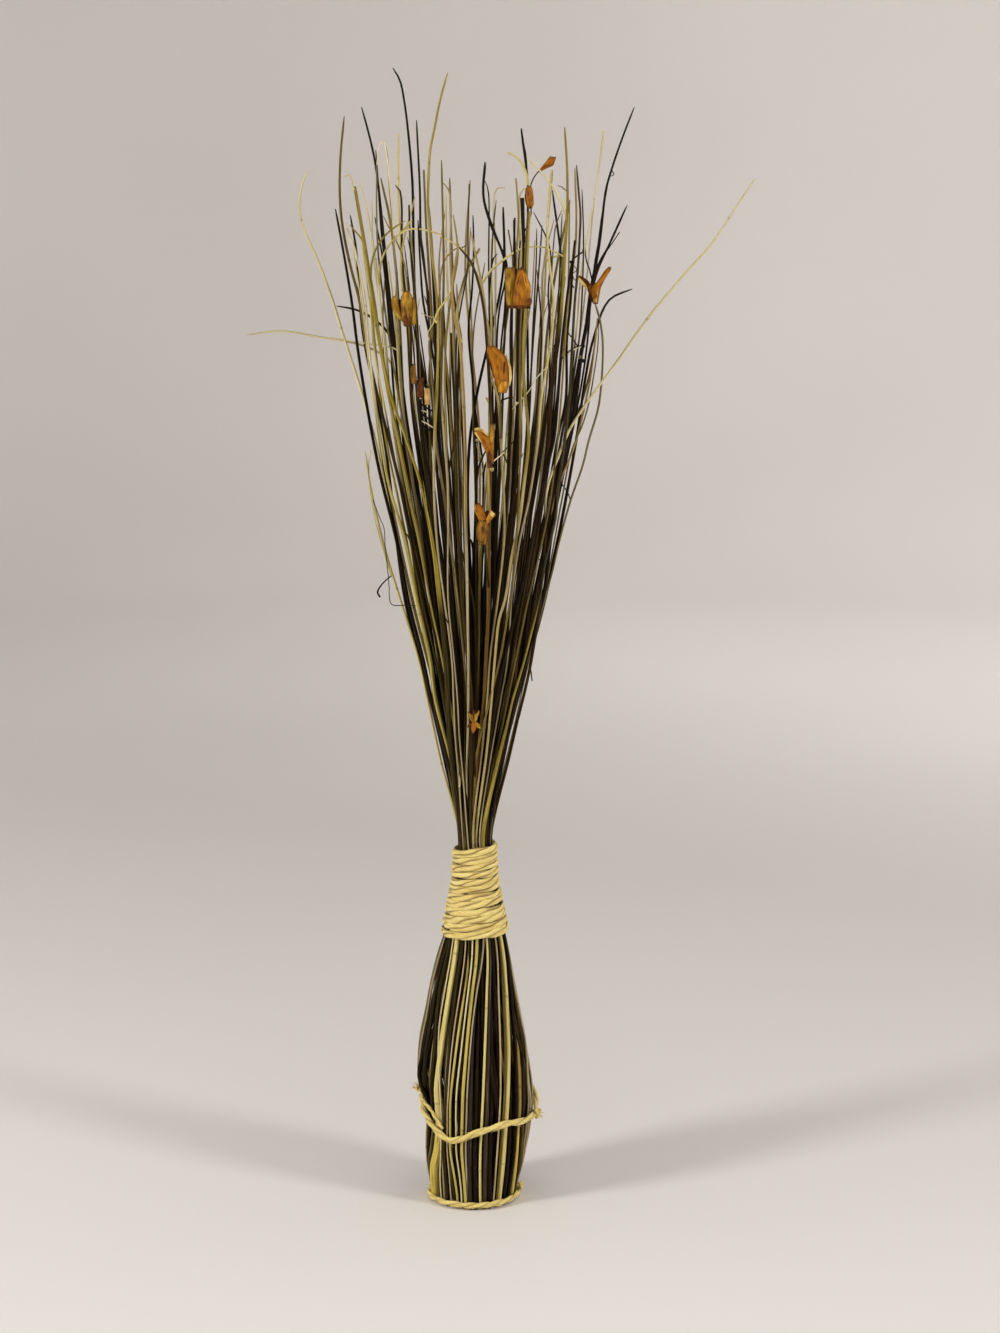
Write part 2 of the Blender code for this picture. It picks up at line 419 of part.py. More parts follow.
def settle(chains, fixed, rounds=420):
    """Push the centre lines apart until no two pieces touch. Chains are
    (points, radii); fixed is a list of (start, end, radius) bars that stay."""
    points = np.concatenate([c[0] for c in chains])
    radii = np.concatenate([c[1] for c in chains])
    home = points.copy()
    seg, owner = [], []
    base = 0
    for k, (pts, _) in enumerate(chains):
        for i in range(len(pts) - 1):
            seg.append((base + i, base + i + 1))
            owner.append(k)
        base += len(pts)
    seg, owner = np.array(seg), np.array(owner)
    n = len(seg)
    bar_a = np.array([f[0] for f in fixed])
    bar_b = np.array([f[1] for f in fixed])
    bar_r = np.array([f[2] for f in fixed])
    iu, ju = np.triu_indices(n, 1)
    keep = owner[iu] != owner[ju]
    iu, ju = iu[keep], ju[keep]
    limit = np.array([[z, along(RING, z), along(RING_MIDDLE, z)] for z in np.linspace(0.0, 0.36, 181)])
    pair_i = pair_j = bar_i = bar_j = None
    for turn in range(rounds):
        a, b = points[seg[:, 0]], points[seg[:, 1]]
        if turn % 12 == 0:
            lo = np.minimum(a, b) - 0.006
            hi = np.maximum(a, b) + 0.006
            near = np.all((lo[iu] <= hi[ju]) & (lo[ju] <= hi[iu]), axis=1)
            pair_i, pair_j = iu[near], ju[near]
            bl = np.minimum(bar_a, bar_b) - bar_r[:, None] - 0.006
            bh = np.maximum(bar_a, bar_b) + bar_r[:, None] + 0.006
            hit = np.all((lo[:, None, :] <= bh[None]) & (bl[None] <= hi[:, None, :]), axis=2)
            bar_i, bar_j = np.nonzero(hit)
        move = np.zeros_like(points)
        count = np.full(len(points), 1e-9)
        if len(pair_i):
            s, t = closest(a[pair_i], b[pair_i], a[pair_j], b[pair_j])
            ra = radii[seg[pair_i, 0]] * (1 - s) + radii[seg[pair_i, 1]] * s
            rb = radii[seg[pair_j, 0]] * (1 - t) + radii[seg[pair_j, 1]] * t
            pa = a[pair_i] * (1 - s)[:, None] + b[pair_i] * s[:, None]
            pb = a[pair_j] * (1 - t)[:, None] + b[pair_j] * t[:, None]
            gap = pa - pb
            dist = np.linalg.norm(gap, axis=1)
            short = ra + rb + 1.5 * GAP - dist
            touch = short > 0
            if touch.any():
                s, t, gap, dist, short = s[touch], t[touch], gap[touch], dist[touch], short[touch]
                side = gap / np.maximum(dist, 1e-9)[:, None]
                side[:, 2] = 0.0
                side /= np.maximum(np.linalg.norm(side, axis=1), 1e-6)[:, None]
                push = side * (0.5 * short)[:, None]
                for who, w, sign in (
                    (seg[pair_i[touch], 0], 1 - s, 1), (seg[pair_i[touch], 1], s, 1),
                    (seg[pair_j[touch], 0], 1 - t, -1), (seg[pair_j[touch], 1], t, -1),
                ):
                    np.add.at(move, who, sign * push * w[:, None])
                    np.add.at(count, who, w * w)
        if len(bar_i):
            s, t = closest(a[bar_i], b[bar_i], bar_a[bar_j], bar_b[bar_j])
            ra = radii[seg[bar_i, 0]] * (1 - s) + radii[seg[bar_i, 1]] * s
            pa = a[bar_i] * (1 - s)[:, None] + b[bar_i] * s[:, None]
            pb = bar_a[bar_j] * (1 - t)[:, None] + bar_b[bar_j] * t[:, None]
            gap = pa - pb
            dist = np.linalg.norm(gap, axis=1)
            short = ra + bar_r[bar_j] + 1.5 * GAP - dist
            touch = short > 0
            if touch.any():
                s, gap, dist, short = s[touch], gap[touch], dist[touch], short[touch]
                side = gap / np.maximum(dist, 1e-9)[:, None]
                side[:, 2] = 0.0
                side /= np.maximum(np.linalg.norm(side, axis=1), 1e-6)[:, None]
                push = side * short[:, None]
                for who, w in ((seg[bar_i[touch], 0], 1 - s), (seg[bar_i[touch], 1], s)):
                    np.add.at(move, who, push * w[:, None])
                    np.add.at(count, who, w * w)
        points += move / np.maximum(count, 1.0)[:, None] * 1.15
        if turn < rounds * 0.6:
            points += (home - points) * 0.01
        # inside the ties no reed leaves the bundle's round outline
        bound = points[:, 2] < 0.345
        middle = np.zeros((len(points), 2))
        middle[:, 0] = np.interp(points[:, 2], limit[:, 0], limit[:, 2])
        r = np.linalg.norm(points[:, :2] - middle, axis=1)
        most = np.interp(points[:, 2], limit[:, 0], limit[:, 1]) + REED_REACH - radii
        over = bound & (r > most)
        points[over, :2] = middle[over] + (points[over, :2] - middle[over]) * (most[over] / r[over])[:, None]
    out, base = [], 0
    for pts, rad in chains:
        out.append((points[base:base + len(pts)], rad))
        base += len(pts)
    return out


# ------------------------------------------------------------------- meshing
def frames_along(points):
    """A steady sideways pair for each point of a line."""
    tangents = []
    for i in range(len(points)):
        a = points[max(i - 1, 0)]
        b = points[min(i + 1, len(points) - 1)]
        tangents.append((b - a).normalized())
    side = tangents[0].orthogonal().normalized()
    frames = []
    for t in tangents:
        side = (side - t * side.dot(t)).normalized()
        frames.append((side.copy(), t.cross(side)))
    return frames


def tube_mesh(name, points, half_a, half_b, sides, level_foot=False, frames=None):
    """Closed tube of elliptical section along points."""
    points = [Vector(p) for p in points]
    frames = frames or frames_along(points)
    bm = bmesh.new()
    rings = []
    for k, (p, (u, w)) in enumerate(zip(points, frames)):
        ring = []
        for i in range(sides):
            angle = 2 * math.pi * i / sides
            offset = u * (math.cos(angle) * half_a[k]) + w * (math.sin(angle) * half_b[k])
            if level_foot and k == 0:
                offset.z = 0.0
            ring.append(bm.verts.new(p + offset))
        rings.append(ring)
    for low, high in zip(rings, rings[1:]):
        for i in range(sides):
            j = (i + 1) % sides
            bm.faces.new((low[i], low[j], high[j], high[i]))
    bm.faces.new(list(reversed(rings[0])))
    bm.faces.new(rings[-1])
    return finish_mesh(name, bm)


def ring_mesh(name, points, half_in, half_up, sides):
    """Closed loop of elliptical section round the bundle's axis."""
    bm = bmesh.new()
    rings = []
    for p in points:
        p = Vector(p)
        out = Vector((p.x, p.y, 0.0)).normalized()
        ring = []
        for i in range(sides):
            angle = 2 * math.pi * (i + 0.5) / sides
            ring.append(bm.verts.new(p + out * (math.cos(angle) * half_in) + Vector((0, 0, math.sin(angle) * half_up))))
        rings.append(ring)
    for low, high in zip(rings, rings[1:] + rings[:1]):
        for i in range(sides):
            j = (i + 1) % sides
            bm.faces.new((low[i], low[j], high[j], high[i]))
    return finish_mesh(name, bm)


def finish_mesh(name, bm):
    bmesh.ops.recalc_face_normals(bm, faces=bm.faces)
    mesh = bpy.data.meshes.new(name)
    bm.to_mesh(mesh)
    bm.free()
    if sum(f.area * f.normal.dot(f.center) for f in mesh.polygons) < 0:
        mesh.flip_normals()
    mesh.shade_smooth()
    mesh.set_sharp_from_angle(angle=math.radians(50))
    return mesh


def put(name, mesh, tone):
    material = bpy.data.materials.new(f"{name}_finish")
    material.use_nodes = True
    shader = material.node_tree.nodes["Principled BSDF"]
    colour, roughness = TONES[tone]
    shader.inputs["Base Color"].default_value = (*colour, 1.0)
    shader.inputs["Roughness"].default_value = roughness
    shader.inputs["Metallic"].default_value = 0.0
    mesh.materials.append(material)
    obj = bpy.data.objects.new(name, mesh)
    bpy.context.scene.collection.objects.link(obj)
    return obj


# --------------------------------------------------------------------- ties
def neck_turns():
    """Centre line of the neck cord, from its lower to its upper end."""
    turns = (NECK_CORD_TOP - NECK_CORD_BOTTOM - 2 * NECK_CORD_HALF_HEIGHT) / NECK_CORD_PITCH
    steps = round(turns * 12)
    points = []
    for i in range(steps + 1):
        angle = 2 * math.pi * i / 12 + math.radians(200)
        z = NECK_CORD_BOTTOM + NECK_CORD_HALF_HEIGHT + NECK_CORD_PITCH * i / 12
        # the chords of the twelve-sided turn come in, so its corners go out
        reach = (bundle_outside(z - 0.8 * NECK_CORD_HALF_HEIGHT) + GAP + NECK_CORD_HALF_DEPTH) / math.cos(math.pi / 12)
        points.append(Vector((reach * math.sin(angle), -reach * math.cos(angle), z)))
    return points


def neck_cord():
    points = neck_turns()
    frames = []
    for p in points:
        out = Vector((p.x, p.y, 0.0)).normalized()
        frames.append((out, Vector((0.0, 0.0, 1.0))))
    n = len(points)
    # four-sided section with its flats facing out, turned by 45 degrees
    bm = bmesh.new()
    rings = []
    for p, (out, up) in zip(points, frames):
        ring = []
        for a, b in ((-1.0, -0.8), (1.0, -0.55), (1.0, 0.55), (-1.0, 0.8)):
            ring.append(bm.verts.new(p + out * (a * NECK_CORD_HALF_DEPTH) + up * (b * NECK_CORD_HALF_HEIGHT)))
        rings.append(ring)
    for low, high in zip(rings, rings[1:]):
        for i in range(4):
            j = (i + 1) % 4
            bm.faces.new((low[i], low[j], high[j], high[i]))
    bm.faces.new(list(reversed(rings[0])))
    bm.faces.new(rings[-1])
    assert n > 100
    return finish_mesh("neck_cord", bm)


# Belly cord: its front on the sheet from the left edge to the knot at the
# right, and the rest as azimuth in degrees and height.
BELLY_FRONT = (
    (421.5, 1106), (424, 1111), (427.5, 1118), (431.5, 1124.5), (437, 1131), (443, 1136.5), (449, 1140.4), (453, 1140.8),
    (460, 1139.3), (468, 1136.4), (476, 1133), (486, 1130), (494, 1127.5), (502, 1125), (510, 1122.6), (516, 1122.3),
    (521, 1121.3), (525, 1119.8), (530, 1117), (533.5, 1114.5),
)
BELLY_BACK = ((105, 0.0945), (150, 0.0965), (200, 0.0985), (245, 0.1010))
# The cord's second run at the left, above the first.
BELLY_TAIL = ((414.5, 1086), (419, 1095), (424, 1101.5), (429, 1107.5), (433, 1113), (437, 1120), (440, 1124.5))
BELLY_TAIL_RADIUS = 0.0018


def wrapped(u, v, reach):
    """Azimuth in degrees and height of a sheet point on the bundle's outside."""
    y = -0.05
    for _ in range(14):
        z = height_at(v, y)
        r = bundle_outside(z) + reach
        x = max(-0.999 * r, min(0.999 * r, across_at(u, y, z) - along(RING_MIDDLE, z)))
        y = -math.sqrt(r * r - x * x)
    return math.degrees(math.atan2(x, -y)), z


def belly_course():
    """The belly cord as (azimuth, height) once round from the left."""
    rows = sorted([wrapped(u, v, GAP + BELLY_CORD_RADIUS) for u, v in BELLY_FRONT] + list(BELLY_BACK))
    return rows + [(rows[0][0] + 360.0, rows[0][1])]


def belly_loop_points(steps=30):
    """The cord once round the belly."""
    rows = belly_course()
    points = []
    for i in range(steps):
        d = rows[0][0] + 360.0 * i / steps
        z = float(np.interp(d, [row[0] for row in rows], [row[1] for row in rows]))
        reach = (bundle_outside(z) + GAP + BELLY_CORD_RADIUS * 0.85) / math.cos(math.pi / steps)
        points.append(round_bundle(math.radians(d), z, reach + 0.0003))
    return points


def belly_tail_points():
    """The second run's middle line, from its frayed end."""
    points = []
    for u, v in BELLY_TAIL:
        degrees, z = wrapped(u, v, GAP + BELLY_TAIL_RADIUS)
        points.append(round_bundle(math.radians(degrees), z, bundle_outside(z) + GAP + BELLY_TAIL_RADIUS + 0.0004))
    return points


# -------------------------------------------------------------------- husks
def husk_bars(name, u, foot_v, top_v, wide, top_wide, arc, front):
    """A husk's middle line and its curled wall as upright bars."""
    y = -front / 1000.0
    z0, z1 = height_at(foot_v, y), height_at(top_v, y)
    x0 = across_at(u, y, z0)
    foot = Vector((x0, y, z0))
    top = Vector((x0 + x0 * HUSK_FLARE_LEAN * 0.4, y * (1 + HUSK_FLARE_LEAN * 0.3), z1))
    return foot, top


def husk_mesh(name, u, foot_v, top_v, wide, top_wide, arc, front):
    """A curled papery wall: an arc of a flared tube, open at the back."""
    foot, top = husk_bars(name, u, foot_v, top_v, wide, top_wide, arc, front)
    bm = bmesh.new()
    columns, rows = 6, 2
    grid = []
    for skin in (0, 1):
        layer = []
        for j in range(rows + 1):
            f = j / rows
            centre = foot.lerp(top, f)
            radius = (wide + (top_wide - wide) * f ** 0.8) / 1000.0 - skin * HUSK_THICK
            line = []
            for i in range(columns + 1):
                angle = math.radians(arc * (i / columns - 0.5))
                line.append(bm.verts.new(centre + Vector((radius * math.sin(angle), -radius * math.cos(angle), 0.0))))
            layer.append(line)
        grid.append(layer)
    outer, inner = grid
    for j in range(rows):
        for i in range(columns):
            bm.faces.new((outer[j][i], outer[j][i + 1], outer[j + 1][i + 1], outer[j + 1][i]))
            bm.faces.new((inner[j][i + 1], inner[j][i], inner[j + 1][i], inner[j + 1][i + 1]))
    for j, turn in ((0, 1), (rows, -1)):
        for i in range(columns):
            quad = (outer[j][i], inner[j][i], inner[j][i + 1], outer[j][i + 1])
            bm.faces.new(quad if turn > 0 else tuple(reversed(quad)))
    for i, turn in ((0, -1), (columns, 1)):
        for j in range(rows):
            quad = (outer[j][i], outer[j + 1][i], inner[j + 1][i], inner[j][i])
            bm.faces.new(quad if turn < 0 else tuple(reversed(quad)))
    return finish_mesh(name, bm)


def husk_wall_bars(row):
    """Fixed bars that stand for a husk's wall while the reeds are spaced."""
    name, u, foot_v, top_v, wide, top_wide, arc, front = row
    foot, top = husk_bars(*row)
    bars = []
    for i in range(7):
        angle = math.radians(arc * (i / 6 - 0.5))
        out = Vector((math.sin(angle), -math.cos(angle), 0.0))
        bars.append((foot + out * (wide / 1000.0 - HUSK_THICK / 2),
                     top + out * (top_wide / 1000.0 - HUSK_THICK / 2),
                     HUSK_THICK / 2 + 0.0012 + 0.0003 * (top_wide > 8)))
    return bars


def fixed_bars():
    bars = []
    for row in HUSKS:
        bars += husk_wall_bars(row)
    return [(tuple(a), tuple(b), r) for a, b, r in bars]


def reed_chains():
    courses = reed_courses()
    chains = [stations_of(course, radius) for _, _, radius, course in courses]
    return courses, settle(chains, fixed_bars())


# --------------------------------------------------------------------- build
def build():
    for obj in list(bpy.data.objects):
        bpy.data.objects.remove(obj, do_unlink=True)

    courses, chains = reed_chains()
    for (name, tone, _, _), (points, radii) in zip(courses, chains):
        mesh = tube_mesh(name, [tuple(p) for p in points], radii, radii, SIDES, level_foot=True)
        put(name, mesh, tone)

    put("neck_cord", neck_cord(), "cord")
    put("belly_cord", ring_mesh("belly_cord", belly_loop_points(), BELLY_CORD_RADIUS * 0.85, BELLY_CORD_RADIUS, 6), "cord")
    tail = belly_tail_points()
    put("belly_cord_end", tube_mesh("belly_cord_end", tail, [BELLY_TAIL_RADIUS] * len(tail), [BELLY_TAIL_RADIUS] * len(tail), 5), "cord")
    steps = 28
    reach = (bundle_outside(BASE_CORD_HEIGHT + BASE_CORD_RADIUS) + GAP + BASE_CORD_RADIUS * BASE_CORD_FLAT) / math.cos(math.pi / steps)
    loop = [round_bundle(2 * math.pi * i / steps, BASE_CORD_HEIGHT, reach) for i in range(steps)]
    put("base_cord", ring_mesh("base_cord", loop, BASE_CORD_RADIUS * BASE_CORD_FLAT, BASE_CORD_RADIUS, 6), "cord")

    for row in HUSKS:
        put(row[0], husk_mesh(*row), "husk")

    # The origin is the middle of the whole object's box, on the floor. The
    # longest side reeds reach further right than left, so the foot stands a
    # little to the left of it.
    corners = np.array([tuple(v.co) for obj in bpy.data.objects for v in obj.data.vertices])
    middle = (corners.min(axis=0) + corners.max(axis=0)) / 2
    for obj in bpy.data.objects:
        obj.location = (-middle[0], -middle[1], 0.0)


if __name__ == "__main__":
    build()
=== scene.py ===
"""Looks of the tied reed bunch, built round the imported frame: round tapered
reeds, twisted cords, papery husks and fine twigs, on a plain pale floor."""

import math

import bpy
import numpy as np
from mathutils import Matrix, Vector


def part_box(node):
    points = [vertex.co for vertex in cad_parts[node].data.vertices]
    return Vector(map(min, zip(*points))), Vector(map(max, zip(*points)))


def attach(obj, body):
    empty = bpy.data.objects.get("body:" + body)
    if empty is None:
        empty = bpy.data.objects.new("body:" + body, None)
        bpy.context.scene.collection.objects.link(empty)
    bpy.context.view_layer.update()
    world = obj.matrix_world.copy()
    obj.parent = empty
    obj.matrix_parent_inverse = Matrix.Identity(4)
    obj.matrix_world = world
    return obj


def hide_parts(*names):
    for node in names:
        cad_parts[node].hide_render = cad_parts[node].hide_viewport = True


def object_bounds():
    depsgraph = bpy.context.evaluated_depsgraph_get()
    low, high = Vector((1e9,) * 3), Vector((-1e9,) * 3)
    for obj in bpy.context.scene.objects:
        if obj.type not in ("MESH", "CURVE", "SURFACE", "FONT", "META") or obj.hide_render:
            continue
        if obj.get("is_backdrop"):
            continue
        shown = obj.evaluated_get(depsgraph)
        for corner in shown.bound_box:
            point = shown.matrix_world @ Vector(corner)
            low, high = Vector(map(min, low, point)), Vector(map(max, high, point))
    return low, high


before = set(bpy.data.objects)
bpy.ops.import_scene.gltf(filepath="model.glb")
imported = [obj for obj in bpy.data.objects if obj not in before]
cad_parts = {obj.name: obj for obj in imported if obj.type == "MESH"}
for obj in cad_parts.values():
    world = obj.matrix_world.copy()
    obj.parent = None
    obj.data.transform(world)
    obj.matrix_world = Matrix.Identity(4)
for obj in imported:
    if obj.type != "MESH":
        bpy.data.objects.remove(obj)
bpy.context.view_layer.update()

# ---------------------------------------------------------------- dimensions
GAP = 0.00030  # clear gap between neighbouring pieces
SIDES = 5  # sides of a reed's faceted section
REED_REACH = 0.0021  # how far the reeds reach past their ring of centres

# Ring of reed centres from the foot up to the neck: height, radius.
RING = (
    (0.000, 0.0358),
    (0.012, 0.0382),
    (0.035, 0.0434),
    (0.058, 0.0456),
    (0.075, 0.0464),
    (0.090, 0.0480),
    (0.105, 0.0500),
    (0.125, 0.0510),
    (0.147, 0.0472),
    (0.185, 0.0396),
    (0.222, 0.0328),
    (0.245, 0.0262),
    (0.265, 0.0218),
    (0.288, 0.0172),
    (0.310, 0.0140),
    (0.340, 0.0136),
    (0.389, 0.0250),
    (0.461, 0.0405),
    (0.551, 0.0570),
    (0.639, 0.0750),
    (0.726, 0.0895),
    (0.787, 0.0970),
    (0.860, 0.1040),
    (1.010, 0.1120),
)
# Sideways place of that ring's middle: height, x. The belly cord pulls the
# bundle in from the left, and above it the belly leans out to the left.
RING_MIDDLE = (
    (0.000, -0.0014),
    (0.022, -0.0014),
    (0.037, 0.0000),
    (0.053, 0.0014),
    (0.069, 0.0028),
    (0.085, 0.0042),
    (0.098, 0.0036),
    (0.108, 0.0016),
    (0.122, -0.0020),
    (0.135, -0.0023),
    (0.215, -0.0022),
    (0.240, -0.0008),
    (0.247, 0.0000),
)
# Heights of the faceted stations that every reed shares.
LOW_STATIONS = (0.0, 0.035, 0.064, 0.090, 0.122, 0.175, 0.252, 0.297, 0.340)

NECK_CORD_BOTTOM, NECK_CORD_TOP = 0.2475, 0.3315
NECK_CORD_PITCH = 0.00660
NECK_CORD_HALF_HEIGHT, NECK_CORD_HALF_DEPTH = 0.00285, 0.00150
BELLY_CORD_RADIUS = 0.0031
BASE_CORD_RADIUS, BASE_CORD_HEIGHT = 0.0030, 0.0048
BASE_CORD_FLAT = 0.62  # the foot cord is pulled flat against the reeds

# The reeds are laid out on a front elevation drawn in perspective. Sheet
# coordinates run right (u) and down (v); the sheet's middle is at SHEET_MID
# and its picture distance is SHEET_DISTANCE, in the same units.
EYE = (0.02243, -2.35, 0.93)
EYE_DOWN = math.radians(10.573)
SHEET_MID = (500.0, 666.5)
SHEET_DISTANCE = 2710.0

# Front reeds. Name, tone, radius at the belly (mm), lower course as u at
# v = 1200, 1150, 1098, 1042, 985, 945, then the upper course as (v, u) up to
# the tip. The number after the upper course is how far forward the reed lies
# in the spray: 1 on its front face, -1 on its back face.
LOW_ROWS = (1200, 1150, 1098, 1042, 985, 945)
FRONT = (
    ("reed_edge_straw", "straw", 1.9, (431, 429, 418.5, 420.5, 430, 440),
     ((832, 453.5), (760, 441), (700, 428), (660, 419), (599, 400), (560, 388), (520, 378), (480, 370), (452, 366)), 0.55),
    ("reed_left_outer", "dark", 2.0, (433, 431, 422.5, 425, 434, 443.5),
     ((832, 456.5), (760, 446), (700, 431), (660, 423), (599, 408), (540, 397), (470, 380), (400, 366.5), (350, 358.5), (300, 352), (240, 341.5), (209, 335.5)), 0.7),
    ("reed_left_olive", "olive", 1.9, (434.5, 433, 426.5, 430, 437, 447),
     ((832, 457.5), (760, 448), (700, 434), (660, 429.5), (599, 416.5), (540, 405), (484, 389), (439, 381), (400, 375.5), (350, 370), (300, 366), (260, 358), (222, 346)), 1.0),
    ("reed_left_brown", "brown", 2.0, (436, 434.5, 431, 435, 441, 450.5),
     ((832, 459), (760, 450), (700, 440), (660, 434), (599, 423), (540, 411), (500, 403), (439, 388), (400, 378), (350, 367), (300, 359), (265, 350), (230, 343), (200, 340), (160, 340.5), (116, 344.5)), 0.6),
    ("reed_broad_straw", "straw", 2.7, (437, 436, 436.5, 441.5, 450.5, 457),
     ((832, 460.5), (760, 454), (700, 450), (660, 447), (599, 439.5), (550, 434), (484, 421), (440, 407), (400, 393), (350, 382), (300, 374), (250, 366), (215, 360), (187, 355)), 1.0),
    ("reed_grey_left", "grey", 1.3, (444.5, 441.5, 442.7, 445.5, 452, 458.5),
     ((832, 462), (760, 455), (700, 447), (599, 430), (540, 420), (500, 411), (460, 403), (430, 397), (400, 390), (350, 381), (310, 376), (280, 371), (245, 364), (225, 350)), 0.9),
    ("reed_left_dark", "dark", 1.9, (448, 444, 446.5, 450, 456, 462.5),
     ((832, 463), (760, 458), (700, 451), (599, 436), (540, 426), (500, 418), (439, 406), (400, 399), (350, 395), (310, 391), (265, 386), (215, 381), (165, 375), (145, 371), (125, 366), (107, 361)), 0.3),
    ("reed_pale_one", "pale", 1.7, (459, 450, 450.3, 457, 465, 469),
     ((832, 461.5), (770, 459), (700, 454.5), (660, 452), (599, 443.3), (560, 438), (500, 434), (439, 434.5), (400, 436.5), (340, 438), (300, 437), (260, 433), (205, 428.5), (180, 429), (150, 431), (125, 436), (100, 441), (73, 448.5)), 1.0),
    ("reed_pale_two", "pale", 1.6, (464, 456, 456, 462, 469, 474),
     ((832, 463.5), (760, 462), (700, 459), (660, 455), (599, 448.5), (520, 448), (480, 447), (440, 444), (400, 441), (340, 442), (272, 443), (160, 441)), 0.95),
    ("reed_olive_mid", "olive", 1.9, (465.5, 461.5, 462.7, 467, 473, 478),
     ((832, 466), (760, 465), (700, 463), (599, 457.5), (500, 456), (439, 455), (400, 454), (350, 451), (333, 450.5)), 0.9),
    ("reed_brown_mid", "brown", 2.0, (470, 469, 470.5, 472, 476.5, 482),
     ((832, 460.5), (800, 461.5), (770, 463), (740, 465), (700, 467), (640, 469), (599, 468.5), (520, 466), (439, 464.5), (380, 462), (340, 459), (320, 455), (290, 452), (272, 454), (244, 459)), 1.0),
    ("reed_dark_mid", "dark", 2.0, (475, 475, 476.5, 478, 481.5, 485.5),
     ((832, 470), (790, 475), (760, 478), (730, 481), (700, 484), (660, 485.5), (599, 488), (520, 489), (480, 490), (430, 491), (400, 490), (340, 486), (310, 483), (285, 478), (262, 470), (246, 457)), 1.0),
    ("reed_pale_mid", "pale", 1.6, (479.5, 480.3, 483, 485.2, 487, 488),
     ((832, 472.5), (760, 481), (730, 484.5), (700, 487.7), (660, 490.2), (599, 498), (540, 504), (500, 504), (470, 502.5), (440, 501), (400, 498), (370, 490), (300, 484), (230, 470)), 0.95),
    ("reed_brown_right", "brown", 2.0, (484.5, 485.5, 487.5, 489, 490.5, 491.5),
     ((832, 475), (760, 483.5), (700, 490), (660, 494), (620, 499), (599, 505.5), (560, 512), (520, 520), (480, 525), (440, 529), (400, 526), (370, 524), (340, 524), (310, 526), (250, 528), (212, 530)), 1.0),
    ("reed_dark_right", "dark", 2.0, (489, 490.5, 492.5, 493.5, 494, 494.5),
     ((832, 476), (760, 486), (700, 495), (660, 503), (599, 518), (560, 527), (500, 539), (460, 548), (439, 553), (400, 557), (350, 561), (300, 567), (262, 572)), 1.0),
    ("reed_cream", "pale", 1.3, (493, 497.5, 500.5, 500.3, 498.3, 497),
     ((832, 480), (760, 490), (700, 500), (660, 507), (599, 511), (540, 519), (500, 528), (439, 537), (400, 540), (340, 550), (300, 553), (272, 550), (235, 547), (170, 551)), 0.85),
    ("reed_straw_right", "straw", 1.9, (499, 504, 507.5, 508.5, 505.5, 502.5),
     ((832, 482), (800, 489.5), (760, 497), (730, 504.5), (700, 511.5), (660, 523), (640, 528), (599, 537.5), (560, 544), (520, 554), (490, 556.5), (439, 563), (400, 567), (340, 571), (300, 574), (272, 577), (240, 579), (215, 580), (190, 578), (165, 576)), 1.0),
    ("reed_right_dark_one", "dark", 2.0, (503.5, 509.5, 512, 511.5, 508, 505),
     ((832, 486), (760, 500), (700, 513), (660, 518), (599, 527), (540, 537), (500, 543), (460, 547), (439, 549), (400, 551), (360, 556), (330, 560), (290, 563), (250, 565), (210, 567), (170, 567), (127, 564.5)), 0.95),
    ("reed_right_dark_two", "dark", 1.9, (507, 514, 516.5, 515, 510, 506),
     ((832, 489), (760, 503), (700, 516), (660, 524), (599, 532), (540, 543), (500, 549), (439, 558), (400, 566), (340, 567), (300, 571), (260, 573), (240, 575)), 0.8),
    ("reed_right_tan", "tan", 2.2, (511, 517, 521, 520, 512.5, 507),
     ((832, 490), (760, 502.5), (700, 515), (660, 524), (599, 536), (540, 547), (500, 553), (439, 562), (400, 569), (330, 577), (272, 582), (215, 592), (185, 597), (130, 604)), 0.55),
    ("reed_right_olive", "olive", 2.0, (514, 522.5, 525, 523, 513.5, 508),
     ((832, 492), (760, 504), (730, 509.5), (700, 516), (660, 526), (599, 541), (540, 549), (500, 556), (460, 562), (420, 572), (390, 577), (350, 582), (320, 588), (290, 592), (240, 600), (190, 606), (172, 611), (140, 622), (107, 635)), 0.7),
    ("reed_right_long", "straw", 1.6, (517.5, 526.5, 529, 525.5, 514, 508.5),
     ((832, 492.5), (800, 496.5), (760, 503), (700, 514), (660, 525.5), (599, 540), (540, 545), (490, 547), (455, 559), (425, 572), (380, 603), (357, 620), (328, 640), (303, 660), (270, 688), (243, 712), (208, 735), (178, 755)), 1.0),
    ("reed_right_outer", "olive", 1.5, (519.5, 528, 532, 526.5, 514.5, 509),
     ((832, 494), (800, 498.5), (760, 505.5), (700, 517), (660, 528.5), (599, 545), (570, 553), (540, 560), (500, 571), (465, 583), (440, 589), (410, 598), (390, 601), (345, 603), (320, 600), (303, 595)), 0.25),
)

# Reeds at the two sides, whose feet go round past the sheet's view: azimuth
# in degrees at the foot and at 55 mm up.
SIDE_FEET = {
    "reed_edge_straw": (-111, -91),
    "reed_left_outer": (-102, -80),
    "reed_left_olive": (-93, -69),
    "reed_left_brown": (-84, -59),
    "reed_broad_straw": (-74, -50),
    "reed_right_long": (86, 80),
    "reed_right_outer": (97, 90),
}

